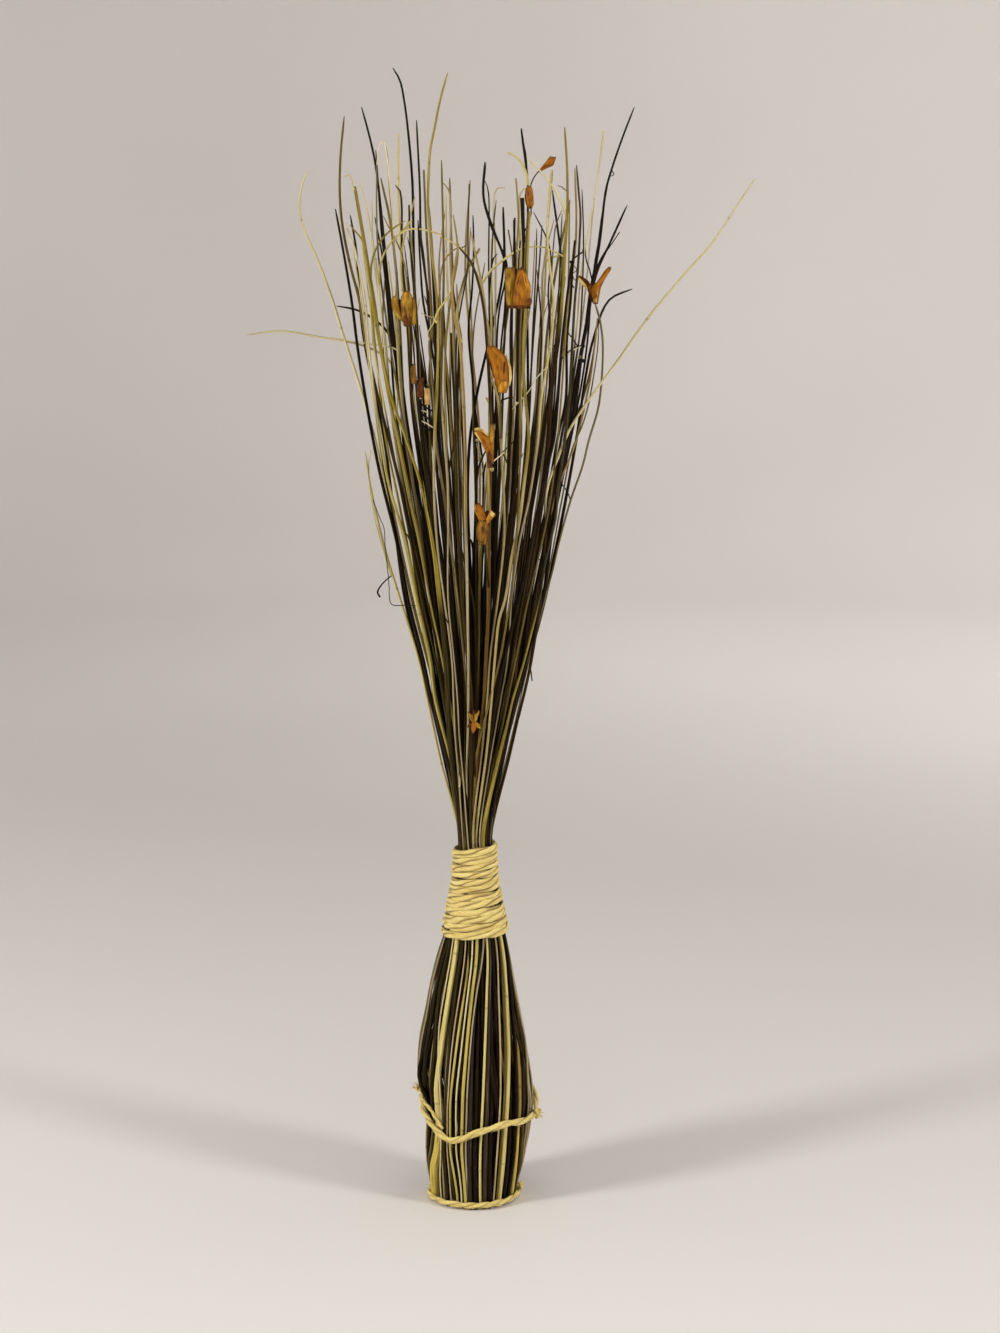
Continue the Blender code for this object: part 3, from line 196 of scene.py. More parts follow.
# Back reeds: name, tone, radius (mm), azimuth in degrees round the ring
# (0 front, 90 right, 180 back), then the upper course and forwardness.
BACK = (
    ("reed_back_01", "brown", 1.9, 98.0, ((599, 545), (439, 577), (380, 586), (340, 594), (300, 610), (289, 633)), 0.0),
    ("reed_back_02", "olive", 1.5, 106.5, ((599, 538), (439, 568), (400, 583), (370, 591), (340, 596), (318, 598)), -0.3),
    ("reed_back_03", "dark", 1.9, 115.0, ((599, 535), (439, 565), (330, 585), (272, 597), (245, 609), (207, 626)), -0.5),
    ("reed_back_04", "dark", 2.0, 123.0, ((599, 527), (439, 545), (330, 557), (272, 562), (190, 552)), -0.6),
    ("reed_back_05", "olive", 1.9, 131.0, ((599, 520), (439, 540), (330, 548), (272, 556), (200, 570)), -0.8),
    ("reed_back_06", "dark", 1.8, 139.0, ((599, 512), (439, 526), (272, 527), (190, 528), (175, 527), (130, 521)), -0.5),
    ("reed_back_07", "brown", 2.1, 147.5, ((599, 506), (439, 517), (330, 518), (272, 523), (198, 522.5)), 0.35),
    ("reed_back_08", "straw", 1.7, 156.0, ((599, 498), (439, 506), (272, 519), (178, 516)), -0.8),
    ("reed_back_09", "dark", 2.1, 164.0, ((599, 492), (439, 510), (330, 511), (272, 514), (218, 515.5)), 0.1),
    ("reed_back_10", "dark", 1.8, 172.0, ((599, 486), (439, 496), (330, 505), (262, 505), (225, 491), (197, 483.5), (162, 485)), -0.3),
    ("reed_back_11", "tan", 1.7, 180.0, ((599, 478), (439, 480), (272, 466), (180, 471)), -0.9),
    ("reed_back_12", "dark", 2.0, 188.5, ((599, 470), (439, 470), (272, 503), (207, 503)), -0.6),
    ("reed_back_13", "olive", 1.8, 197.0, ((599, 463), (439, 458), (272, 452), (178, 449)), -0.9),
    ("reed_back_14", "dark", 1.9, 205.0, ((599, 456), (439, 445), (330, 433), (272, 425), (240, 421), (187, 420), (120, 417)), -0.6),
    ("reed_back_15", "dark", 2.0, 213.0, ((599, 448), (439, 428), (350, 419), (300, 415), (240, 413), (180, 412), (130, 408), (105, 405), (80, 400), (68, 393)), -0.4),
    ("reed_back_16", "straw", 1.7, 221.0, ((599, 441), (439, 418), (330, 407), (272, 402), (200, 398), (133, 398)), -0.7),
    ("reed_back_17", "olive", 1.9, 229.5, ((599, 434), (439, 407), (330, 400), (272, 396), (220, 390), (178, 381)), -0.8),
    ("reed_back_18", "brown", 1.9, 238.0, ((599, 426), (439, 403), (400, 401), (370, 399), (350, 396), (333, 388), (320, 375), (310, 357), (306, 337)), -0.1),
    ("reed_back_19", "straw", 1.5, 246.0, ((599, 419), (439, 397), (390, 396), (362, 390), (349, 372), (342, 350), (337, 320), (331, 280), (335, 247)), -0.85),
    ("reed_back_20", "pale", 1.7, 254.0, ((599, 411), (439, 375), (380, 358), (330, 342), (300, 333), (265, 320), (225, 303), (205, 299.5), (185, 302), (170, 307.5)), -0.3),
    ("reed_back_21", "dark", 1.9, 262.0, ((599, 405), (439, 384), (330, 362), (250, 356), (215, 350)), -0.45),
)

# Husks: name, u and v of the foot, v of the top, width and top width (mm),
# opening arc (degrees), and how far in front of the bunch's axis (mm).
HUSKS = (
    ("husk_upper_tube", 529.0, 208.0, 174.0, 4.4, 3.6, 250.0, 26.0),
    ("husk_wide_tube", 520.0, 308.0, 266.0, 12.0, 12.5, 170.0, 88.0),
    ("husk_right_fork", 595.0, 301.0, 270.0, 2.4, 10.5, 200.0, 24.0),
    ("husk_left_cluster", 405.5, 328.0, 289.0, 4.0, 10.5, 170.0, 76.0),
    ("husk_leaf", 500.0, 394.0, 346.0, 6.5, 10.5, 130.0, 91.0),
    ("husk_middle_fork", 487.0, 467.0, 427.0, 3.0, 9.0, 150.0, 86.0),
    ("husk_tulip", 484.0, 545.0, 503.0, 3.0, 9.5, 160.0, 73.0),
    ("husk_beaded", 418.0, 402.0, 369.0, 3.2, 5.2, 180.0, 84.0),
    ("husk_star", 474.0, 732.0, 710.0, 2.0, 4.6, 140.0, 37.0),
)
HUSK_THICK = 0.0009
HUSK_FLARE_LEAN = 0.12  # outward lean of a husk with its stem

# Inner reeds, which stand inside the ring: name, tone, radius (mm), azimuth,
# then the upper course and forwardness.
INNER_INSET = 0.0125
NECK_SPREAD = 1.15  # how evenly the back and inner reeds spread above the neck
INNER = (
    ("reed_inner_grey", "grey", 1.3, -60.0, ((599, 431), (520, 420), (470, 412), (400, 400), (330, 388), (272, 380), (235, 377), (165, 376)), 0.35),
    ("reed_inner_dark", "dark", 1.8, 175.0, ((599, 500), (520, 510), (439, 515), (330, 522), (247, 525), (198, 522.5)), 0.5),
    ("reed_inner_tan", "tan", 1.4, 60.0, ((599, 530), (540, 545), (480, 562), (445, 575), (380, 590), (320, 597)), 0.45),
)

# ------------------------------------------------- what only the looks carry
# Tone of each front reed below the neck cord where it differs from the CAD
# tone, which the part above the cord keeps.
LOW_TONE = {
    "reed_edge_straw": "greyolive", "reed_left_outer": "darkolive", "reed_left_olive": "olive", "reed_left_brown": "darkolive",
    "reed_broad_straw": "straw", "reed_grey_left": "grey", "reed_left_dark": "darkolive", "reed_pale_one": "yellow",
    "reed_pale_two": "cream", "reed_olive_mid": "yellow", "reed_brown_mid": "dark", "reed_dark_mid": "dark",
    "reed_pale_mid": "straw", "reed_brown_right": "brown", "reed_dark_right": "dark", "reed_cream": "pink",
    "reed_straw_right": "straw", "reed_right_dark_one": "dark", "reed_right_dark_two": "dark",
    "reed_right_tan": "tan", "reed_right_olive": "olive", "reed_right_long": "grey", "reed_right_outer": "brown",
}
HIGH_TONE = {
    "reed_edge_straw": "yellow", "reed_left_olive": "goldlight", "reed_broad_straw": "olivedark", "reed_pale_one": "grey",
    "reed_olive_mid": "olivedark", "reed_cream": "grey", "reed_pale_mid": "sand", "reed_straw_right": "gold",
    "reed_pale_two": "grey", "reed_right_long": "brown", "reed_right_tan": "brown", "reed_right_outer": "greyolive",
    "reed_dark_right": "dark", "reed_right_dark_one": "brown", "reed_brown_mid": "grey", "reed_dark_mid": "tanbrown",
    "reed_brown_right": "sand", "reed_right_olive": "dark", "reed_grey_left": "gold", "reed_inner_grey": "greyolive",
}
# Tone below the belly cord where it differs.
FOOT_TONE = {"reed_broad_straw": "goldstraw", "reed_right_tan": "goldstraw"}
# A third tone further up, and the height where it starts.
TOP_TONE = {
    "reed_straw_right": ("olivedark", 0.54), "reed_right_long": ("pale", 0.64), "reed_brown_right": ("gold", 0.665),
    "reed_right_dark_one": ("gold", 0.795), "reed_brown_mid": ("tan", 0.62), "reed_dark_mid": ("brown", 0.72),
    "reed_cream": ("straw", 0.70), "reed_left_olive": ("pale", 0.72), "reed_broad_straw": ("gold", 0.56), "reed_left_brown": ("olive", 0.76),
    "reed_back_19": ("pale", 0.70), "reed_back_20": ("pale", 0.70), "reed_pale_one": ("gold", 0.70),
    "reed_pale_two": ("olive", 0.73), "reed_right_tan": ("pale", 0.78), "reed_back_08": ("sand", 0.74),
    "reed_top_02": ("sand", 0.70), "reed_top_13": ("sand", 0.71), "reed_top_14": ("sand", 0.72), "reed_top_15": ("greyolive", 0.72),
    "reed_top_16": ("tan", 0.74), "reed_top_17": ("cream", 0.77), "reed_top_20": ("pale", 0.66), "reed_top_21": ("gold", 0.62),
    "reed_top_22": ("pale", 0.68), "reed_top_24": ("tan", 0.68), "reed_top_26": ("sand", 0.74), "reed_top_05": ("gold", 0.66),
    "reed_top_07": ("sand", 0.66), "reed_thin_01": ("straw", 0.72), "reed_thin_02": ("pale", 0.72), "reed_top_28": ("gold", 0.70),
}
# Reeds that are broader or slimmer over a stretch, as (height, factor).
BROADER = {
    "reed_grey_left": ((0.56, 1.0), (0.63, 1.9), (0.70, 1.9), (0.78, 1.1)),
    "reed_broad_straw": ((0.0, 1.7), (0.09, 1.65), (0.13, 1.0), (0.58, 1.0), (0.64, 0.6), (0.72, 0.7), (0.80, 1.0)),
    "reed_left_olive": ((0.40, 0.8), (0.46, 1.35), (0.57, 1.5), (0.64, 1.0), (0.76, 0.75)),
    "reed_right_dark_one": ((0.56, 1.0), (0.68, 1.45), (0.80, 1.15), (0.90, 1.0)),
    "reed_right_olive": ((0.56, 1.0), (0.66, 1.35), (0.76, 1.3), (0.84, 0.9)),
    "reed_straw_right": ((0.34, 1.5), (0.42, 1.4), (0.45, 0.9), (0.52, 0.9)),
    "reed_edge_straw": ((0.34, 0.8), (0.58, 0.8), (0.66, 0.7)),
    "reed_right_outer": ((0.50, 1.0), (0.60, 0.85), (0.76, 0.95), (0.80, 1.2), (0.83, 1.9)),
    "reed_right_tan": ((0.56, 1.0), (0.70, 0.8), (0.80, 0.55)),
    "reed_pale_one": ((0.34, 0.8), (0.60, 0.8), (0.70, 1.0)),
    "reed_pale_two": ((0.34, 0.8), (0.60, 0.75), (0.70, 1.0)),
    "reed_cream": ((0.34, 1.0), (0.60, 1.0), (0.70, 1.2)),
}


# Thin reeds on the bundle's outside, past the CAD's limit of nodes: name,
# lower tone, upper tone, radius (mm), (u, v) from the foot to the neck, then
# (v, u) above it, and how far forward the upper part lies.
THIN = (
    ("reed_thin_01", "cream", "olivedark", 1.15, ((443, 1197), (442, 1150), (439.5, 1110), (440.5, 1042), (449, 985), (455, 945)),
     ((832, 460), (700, 445), (599, 424), (500, 404), (439, 392), (400, 384), (350, 374), (300, 369), (262, 364), (230, 361)), 0.8),
    ("reed_thin_02", "grey", "olive", 1.0, ((430, 1197), (428, 1150), (419.5, 1098), (423, 1042), (433, 985), (443, 945)),
     ((832, 457), (700, 436), (599, 413), (500, 392), (439, 381), (380, 372), (330, 366), (280, 358), (240, 352)), 0.6),
    ("reed_thin_03", "pink", "olivedark", 1.0, ((451, 1196), (447.5, 1150), (447, 1110), (452.5, 1042), (461, 985), (466.5, 945)),
     ((832, 462), (700, 453), (599, 440), (500, 428), (439, 420), (380, 415), (330, 411), (290, 409), (245, 404)), 0.9),
    ("reed_thin_04", "grey", "olivedark", 1.05, ((467, 1197), (466, 1150), (467, 1098), (470, 1042), (475, 985), (480, 945)),
     ((832, 468), (700, 468), (599, 463), (500, 460), (439, 459), (380, 458), (330, 459), (300, 463), (270, 468), (240, 468.5), (184, 470)), 0.7),
    ("reed_thin_05", "olive", "olivedark", 1.0, ((497, 1197), (501, 1150), (504.5, 1098), (504.8, 1042), (502, 985), (500, 945)),
     ((832, 483), (700, 503), (599, 522), (500, 540), (439, 549), (380, 553), (330, 556), (290, 558), (250, 560), (214, 562)), 0.9),
    ("reed_thin_06", "grey", "olivedark", 1.1, ((516, 1196), (522, 1150), (528, 1110), (526.5, 1042), (513.5, 985), (508, 945)),
     ((832, 492), (700, 517), (599, 539), (500, 557), (439, 566), (380, 572), (330, 577), (280, 580), (240, 581), (189, 580)), 0.6),
    ("reed_thin_07", "brown", "brown", 1.2, ((512, 1197), (518, 1150), (521.5, 1098), (521, 1042), (512, 985), (506, 945)),
     ((832, 490), (700, 512), (599, 528), (500, 541), (439, 546), (380, 548), (330, 549), (290, 548), (256, 551), (239, 547), (212, 533.5)), 0.8),
    ("reed_thin_08", "grey", "greyolive", 1.0, ((521, 1190), (527, 1150), (532, 1098), (529.5, 1042), (517.5, 985), (510, 945)),
     ((832, 495), (700, 521), (599, 544), (500, 562), (450, 571), (425, 581), (405, 587), (380, 592), (345, 597.5), (325, 598.5)), 0.4),
)

# Further reeds with a traced tip, inside the bundle: name, tone, radius (mm),
# azimuth in the bundle, (v, u) above the neck, forward.
TRACED = (
    ("reed_top_01", "dark", 1.35, -70, ((599, 432), (500, 414), (439, 404), (380, 398), (330, 392), (272, 388), (230, 383), (190, 380), (150, 377)), -0.2),
    ("reed_top_02", "olivedark", 1.0, -52, ((599, 434), (500, 417), (439, 408), (380, 402), (330, 398), (280, 396), (230, 393), (180, 389), (150, 387), (141, 384)), 0.1),
    ("reed_top_03", "olive", 1.4, -40, ((599, 445), (500, 433), (439, 430), (380, 430), (330, 433), (272, 430), (220, 427), (170, 425)), 0.2),
    ("reed_top_04", "dark", 1.4, -28, ((599, 452), (500, 444), (439, 440), (380, 437), (340, 431), (300, 423), (260, 420), (220, 418)), 0.5),
    ("reed_top_05", "olive", 1.2, -18, ((599, 455), (500, 448), (439, 446), (380, 444), (330, 446), (290, 451), (253, 456.5), (215, 452)), 0.6),
    ("reed_top_06", "greyolive", 1.1, -8, ((599, 466), (500, 462), (439, 460), (380, 462), (340, 463), (311, 458), (293, 461), (272, 467), (264, 471), (248, 480)), 0.7),
    ("reed_top_07", "olive", 1.2, 4, ((599, 478), (500, 484), (439, 488), (380, 490), (337, 489.6), (311, 484.5), (287, 481.4), (264, 471), (248, 461)), 0.75),
    ("reed_top_08", "dark", 1.0, 12, ((599, 484), (500, 491), (439, 493), (380, 492), (332, 489.6), (303, 488.6), (265, 490.6), (228, 492), (200, 495)), 0.4),
    ("reed_top_09", "dark", 1.2, 20, ((599, 490), (500, 495), (439, 497), (380, 497), (342, 495.7), (306, 499), (279, 505), (262, 506), (253, 502.5), (224, 491), (197, 483), (162, 485)), 0.3),
    ("reed_top_10", "dark", 1.1, 26, ((599, 492), (500, 499), (439, 500), (380, 500), (347, 501), (305, 505), (257, 505), (207, 503)), 0.55),
    ("reed_top_11", "dark", 1.75, 33, ((599, 495), (500, 506), (439, 510), (380, 512), (309, 513), (269, 516), (220, 515)), 0.85),
    ("reed_top_12", "dark", 1.7, 38, ((599, 500), (500, 512), (439, 517), (380, 519), (309, 519), (269, 524), (198, 522.5)), 0.8),
    ("reed_top_13", "brown", 1.0, 44, ((599, 505), (500, 516), (439, 521), (383, 522), (342, 525), (311, 530), (290, 533), (240, 536)), 0.9),
    ("reed_top_14", "olivedark", 1.1, 50, ((599, 512), (500, 526), (439, 533), (380, 538), (330, 542), (280, 545), (233, 547), (170, 552.4)), 0.3),
    ("reed_top_15", "brown", 1.0, 57, ((599, 519), (500, 533), (439, 541), (380, 546), (330, 549), (290, 550), (248, 552), (224, 555), (210, 561)), 0.2),
    ("reed_top_16", "brown", 1.4, 64, ((599, 525), (500, 541), (439, 551), (380, 559), (330, 565), (280, 572), (230, 577), (168, 575.5)), 0.25),
    ("reed_top_17", "dark", 0.9, 72, ((599, 531), (500, 551), (439, 563), (380, 572), (330, 580), (280, 586), (240, 590), (200, 594), (160, 600), (131, 604)), 0.1),
    ("reed_top_18", "dark", 1.3, 80, ((599, 535), (500, 557), (439, 569), (380, 578), (330, 585), (290, 590), (262, 595.5), (216, 602), (177, 609)), 0.3),
    ("reed_top_19", "dark", 1.2, 88, ((599, 538), (500, 561), (439, 573), (380, 583), (330, 589), (295, 592), (267, 598), (243, 611), (205, 627.6)), 0.2),
    ("reed_top_20", "olivedark", 1.0, -62, ((599, 428), (500, 408), (439, 397), (380, 389), (330, 384), (272, 378), (230, 371), (195, 363), (180, 358)), 0.4),
    ("reed_top_21", "olivedark", 1.2, -78, ((599, 415), (500, 396), (439, 384), (380, 377), (330, 372), (290, 370), (262, 371), (244, 378), (230, 390), (221, 404)), 0.5),
    ("reed_top_22", "dark", 0.9, -85, ((599, 411), (500, 389), (439, 378), (380, 372), (330, 368), (290, 362), (250, 356), (228, 346)), 0.3),
    ("reed_top_23", "brown", 1.4, -34, ((599, 448), (500, 438), (439, 433), (380, 424), (330, 416), (290, 414), (250, 411), (205, 409)), 0.1),
    ("reed_top_24", "brown", 1.1, -12, ((599, 460), (500, 455), (439, 451), (380, 448), (330, 443), (290, 440), (262, 444), (249, 455), (247, 461), (254, 466)), 0.65),
    ("reed_top_28", "olive", 1.0, 30, ((832, 484), (760, 496), (700, 509), (642, 521), (599, 529), (544, 540), (480, 551), (439, 557), (380, 563), (330, 566), (270, 569), (205, 570)), 1.0),
    ("reed_top_29", "olive", 1.0, 14, ((832, 470), (760, 479), (700, 489), (640, 500), (580, 510), (520, 516), (450, 519), (380, 519), (320, 520), (260, 524), (212, 527)), 1.0),
    ("reed_top_25", "dark", 1.3, 0, ((599, 474), (500, 477), (439, 478), (380, 474), (330, 470), (290, 473), (250, 474), (215, 473)), -0.1),
    ("reed_top_30", "dark", 1.3, -30, ((599, 449), (500, 436), (439, 424), (400, 420), (370, 419), (340, 417.5), (322, 414)), 0.9),
    ("reed_top_31", "greyolive", 1.5, -24, ((599, 456), (500, 445), (439, 435), (400, 433), (370, 431), (345, 429), (330, 431)), 0.9),
    ("reed_top_32", "dark", 1.1, -26, ((599, 452), (500, 441), (439, 430), (400, 427), (375, 425), (350, 422), (325, 419)), 0.85),
    ("reed_top_33", "brown", 1.1, -33, ((599, 446), (500, 432), (439, 419), (400, 413), (370, 410), (340, 408.5), (300, 407)), 0.8),
    ("reed_top_34", "dark", 1.4, -64, ((599, 436), (500, 420), (439, 410), (400, 405), (370, 402), (345, 401)), 0.1),
    ("reed_top_35", "dark", 1.8, 64, ((599, 522), (500, 536), (439, 545), (400, 550), (370, 553), (345, 555)), 0.1),
    ("reed_top_26", "dark", 0.9, 8, ((599, 481), (500, 489), (439, 494), (380, 499), (320, 508), (272, 514), (215, 520), (178, 516)), -0.3),
)

# Filling reeds inside the bundle, by a rule: how many, and the share of each
# tone among them.
FILL_COUNT = 76
FILL_TONES = ("dark",) * 13 + ("brown",) * 7 + ("olivedark",) * 7 + ("olive",) * 4 + ("tan",) * 1 + ("yellow",) * 2 + ("grey",) * 2
# Share of a reed's radius above the neck, by its tone there.
SLIM = {"pale": 0.60, "cream": 0.54, "pink": 0.55, "grey": 0.58, "straw": 0.62, "goldstraw": 0.74, "yellow": 0.78, "tan": 0.80, "gold": 0.80,
        "goldlight": 0.80, "sand": 0.66, "greyolive": 0.70}
# The same in the belly.
SLIM_LOW = {"pale": 0.70, "cream": 0.62, "pink": 0.62, "grey": 0.72, "straw": 0.74, "goldstraw": 0.80, "yellow": 0.76, "tan": 0.86}

# Outline of the spray on the sheet: v, middle u, half width.
OUTLINE = ((170, 472, 118), (200, 471, 124), (272, 472, 118), (330, 473, 110), (400, 473, 104), (439, 474, 99),
           (500, 475, 84), (599, 475, 65), (700, 475, 45), (760, 475, 30), (832, 476, 18))

# Fine twigs: name, tone, (u, v) points, first and last radius (mm), how far
# forward, and whether the last point is carried by a reed too.
TWIGS = (
    ("twig_tip_curl", "straw", ((351, 196), (351.5, 188), (352.5, 181), (349, 174.5), (345.5, 176)), 0.55, 0.45, 0.8, False),
    ("twig_loop_left", "cream", ((391, 240), (390.5, 205), (389, 180), (386.5, 154), (384, 142), (380.5, 144), (378, 152), (377, 165)), 0.6, 0.4, 0.3, False),
    ("twig_arch_mid", "yellow", ((376, 283), (380, 262), (386, 250), (395, 238), (404, 229), (412, 220)), 1.0, 0.60, 0.6, False),
    ("twig_arch_low", "straw", ((398, 236), (409, 230), (420, 229.5), (436, 233), (450, 241), (457, 247)), 0.75, 0.7, 0.6, True),
    ("twig_arch_big", "straw", ((483.5, 284), (492.7, 269.6), (505, 259), (517, 251), (525, 247.5), (541.6, 247), (553, 251), (563, 257)), 1.0, 0.55, 0.8, True),
    ("twig_cross_left", "yellow", ((463, 342), (459.8, 332), (457.7, 311), (461, 293), (467, 273), (471, 264), (480, 249)), 1.15, 0.7, 0.85, False),
    ("twig_cross_right", "straw", ((487, 325), (484, 306), (480, 284), (472, 265), (465, 253), (460, 247)), 1.2, 0.7, 0.9, False),
    ("twig_fork_up", "grey", ((440.4, 275), (441.5, 268), (445.5, 259.5), (455, 249)), 0.55, 0.5, 0.75, True),
    ("twig_fork_stub", "dark", ((460, 247.5), (463.5, 247), (466.5, 245.5)), 0.5, 0.3, 0.75, False),
    ("twig_node_left", "grey", ((436.3, 321.6), (431, 318), (426, 315.5), (421, 312.5)), 0.5, 0.3, 0.95, False),
    ("twig_node_down", "straw", ((436.3, 321.6), (431.5, 328), (428, 333.5), (426, 342)), 0.55, 0.4, 0.95, True),
    ("twig_node_up", "yellow", ((436.3, 322), (438.5, 311), (445, 301), (449, 290)), 0.9, 0.8, 0.9, True),
    ("twig_upper_curl", "straw", ((527.7, 184), (527, 177), (525, 170), (521, 162), (514, 155.5), (507.5, 152.8)), 1.25, 0.8, 0.35, False),
    ("twig_upper_dark", "dark", ((527.7, 182), (526.8, 170), (525.7, 156), (523.5, 142), (521.3, 128.5)), 1.0, 0.6, 0.35, False),
    ("twig_upper_arc", "cream", ((565.5, 218), (564, 210), (558.7, 197), (550.7, 184), (538, 169), (529.5, 160)), 1.25, 0.7, 0.45, False),
    ("twig_upper_stalk", "brown", ((531.5, 185), (532.3, 181), (534.5, 176.5), (538.5, 171.5)), 0.55, 0.5, 0.35, False),
    ("twig_under_tube", "dark", ((525.5, 235), (528, 225), (531, 212), (530.5, 206)), 0.6, 0.5, 0.45, False),
    ("twig_right_cup_a", "dark", ((591.5, 283), (594, 265), (597, 250), (598.8, 240), (601, 226)), 0.75, 0.45, 0.25, False),
    ("twig_right_cup_b", "dark", ((592.5, 283), (598, 267), (606, 252), (613, 242), (619.6, 232)), 0.75, 0.4, 0.25, False),
    ("twig_right_cup_c", "dark", ((590.5, 283), (589, 268), (586, 258), (584, 250)), 0.7, 0.5, 0.25, True),
    ("twig_knot_branch", "dark", ((584, 250), (579, 254), (575, 257.6), (572, 262), (570, 270)), 0.7, 0.6, 0.3, True),
    ("twig_right_ring", "dark", ((609, 177), (610.5, 173.5), (613, 171.5), (614, 174), (612, 176), (609.8, 175)), 0.5, 0.35, 0.3, False),
    ("twig_tangle_a", "dark", ((572, 268), (570, 272), (573, 277), (571.5, 283), (574, 288)), 0.6, 0.5, 0.35, False),
    ("twig_tangle_b", "greyolive", ((577, 259), (573.5, 264), (577, 270), (572, 275), (576, 281)), 0.5, 0.4, 0.35, False),
    ("twig_hook_small", "dark", ((562, 322), (565, 328), (569, 334), (573, 339), (578, 344)), 0.55, 0.6, 0.6, True),
    ("twig_hook_back", "dark", ((560, 361), (567, 353), (575, 347.5), (582, 345)), 0.6, 0.6, 0.6, True),
    ("twig_knot_bow", "cream", ((568, 357), (571, 351.5), (576, 348.5), (581, 347)), 0.5, 0.4, 0.65, False),
    ("twig_thin_arc", "grey", ((550, 330), (550.5, 317), (551, 305), (547.8, 297), (543, 291), (539.6, 287)), 0.45, 0.3, 0.7, False),
    ("twig_beads_stem", "dark", ((421, 398), (420, 391), (424, 385), (421.5, 380), (417, 377)), 0.6, 0.5, 0.9, False),
    ("twig_ripple_a", "dark", ((417.5, 403), (423, 405.5), (428, 409), (433, 411)), 0.9, 0.7, 0.92, False),
    ("twig_ripple_b", "cream", ((419, 409.5), (425, 411.5), (431, 415)), 0.6, 0.5, 0.93, False),
    ("twig_ripple_c", "dark", ((418, 412), (424, 416), (433, 422)), 0.9, 0.8, 0.92, False),
    ("twig_ripple_d", "cream", ((421, 420), (427, 423.5), (433, 427.5)), 0.6, 0.5, 0.93, False),
    ("twig_ripple_e", "dark", ((420, 424), (426, 428), (433, 433)), 0.8, 0.6, 0.92, False),
    ("twig_bead_row", "cream", ((508, 411), (514, 405), (523, 397), (530, 389), (535, 380), (548, 366)), 0.5, 0.4, 0.85, False),
    ("twig_middle_a", "dark", ((505, 450), (511, 444), (520, 436)), 0.5, 0.35, 0.9, False),
    ("twig_middle_b", "cream", ((494.5, 464), (499, 457), (503, 453)), 0.6, 0.4, 0.9, False),
    ("twig_tendril_cream", "cream", ((477, 440), (478.5, 448), (481.5, 456), (483.5, 466), (481, 476), (479, 488)), 0.55, 0.4, 0.85, False),
    ("twig_tendril_white", "cream", ((473, 446), (476, 451), (478, 458), (479.5, 466)), 0.5, 0.35, 0.8, False),
    ("twig_spur_right", "dark", ((556, 475), (561, 483), (567, 491), (571.3, 498)), 0.6, 0.5, 0.35, True),
    ("twig_spur_low", "dark", ((524, 549), (533, 556), (543, 562), (553, 571)), 0.5, 0.4, 0.5, True),
    ("twig_left_hook", "dark", ((392.5, 576), (385, 581.5), (379.5, 587.5), (377.6, 593), (380, 597)), 0.5, 0.85, 0.1, False),
    ("twig_pale_left", "pale", ((397, 349), (392, 346.5), (382, 345), (365, 343), (348, 340.5), (331, 337.5)), 0.75, 0.4, 0.7, False),
    ("twig_left_wire", "dark", ((421, 607.5), (405, 606.5), (390.5, 605), (388.5, 588), (387.5, 570), (385.5, 548), (383.8, 528), (379, 516), (373, 500)), 0.42, 0.35, 0.6, False),
    ("twig_mid_wire", "dark", ((437, 610), (442, 614), (446, 619), (448, 623)), 0.6, 0.5, 0.95, False),
    ("twig_low_spur", "dark", ((528.5, 655), (530, 664), (531, 672), (532.2, 681)), 0.75, 0.5, 0.1, False),
    ("twig_pale_stub", "cream", ((460.5, 785), (459.5, 779), (458.7, 775.5)), 0.8, 0.9, 1.0, False),
    ("twig_right_bit", "dark", ((548, 520), (547.5, 516), (549, 512)), 0.6, 0.4, 0.8, False),
    ("twig_edge_pale", "straw", ((391, 575), (385, 556), (379, 535), (375, 520), (370, 490), (369, 462), (371, 450)), 0.6, 0.35, 0.55, False),
)

# Small round knots and beads: name, tone, u, v, radius (mm), forward.
BEADS = (
    ("bead_right_white", "cream", 604, 131, 1.0, 0.1), ("bead_middle_white", "cream", 477, 439.5, 1.3, 0.85),
    ("bead_knot_right", "dark", 584, 250, 1.5, 0.3), ("bead_knot_low", "dark", 583, 346, 1.8, 0.6),
    ("bead_knot_low_two", "greyolive", 580, 357, 1.7, 0.62), ("bead_knot_low_three", "dark", 583, 361, 1.6, 0.6),
    ("bead_twig", "cream", 516, 403, 1.0, 0.85), ("bead_cluster_a", "cream", 421.5, 381, 1.4, 0.93),
    ("bead_cluster_b", "dark", 425.5, 380, 1.5, 0.93), ("bead_cluster_c", "cream", 419.5, 389, 1.4, 0.93),
    ("bead_cluster_d", "cream", 421, 397.5, 1.2, 0.93), ("bead_cluster_e", "dark", 424, 385, 1.6, 0.9),
    ("bead_ring_knot", "dark", 505, 261.5, 1.3, 0.45), ("bead_node_left", "yellow", 436.3, 321.6, 1.3, 0.95),
    ("bead_node_mid", "straw", 471, 264, 1.1, 0.85), ("bead_branch", "dark", 549, 425, 1.4, 0.8),
    ("bead_stub", "dark", 566, 447, 1.4, 0.5), ("bead_curl_tip", "straw", 345.5, 176, 0.9, 0.8),
    ("bead_left_node", "straw", 397, 240, 1.0, 0.6), ("bead_joint_dark", "dark", 566.5, 425, 1.5, 0.6),
    ("bead_under_fork", "sand", 492, 469, 1.9, 0.85), ("bead_tube_knot", "greyolive", 526, 244, 1.6, 0.5),
    ("bead_tangle_a", "dark", 571, 262, 1.3, 0.35), ("bead_tangle_b", "cream", 570, 268.5, 1.0, 0.35),
    ("bead_tangle_c", "dark", 571.5, 275, 1.2, 0.35), ("bead_tangle_d", "sand", 570, 281, 1.0, 0.35),
    ("bead_cluster_f", "sand", 428, 384, 1.3, 0.93), ("bead_cluster_g", "dark", 417.5, 385, 1.4, 0.93),
)

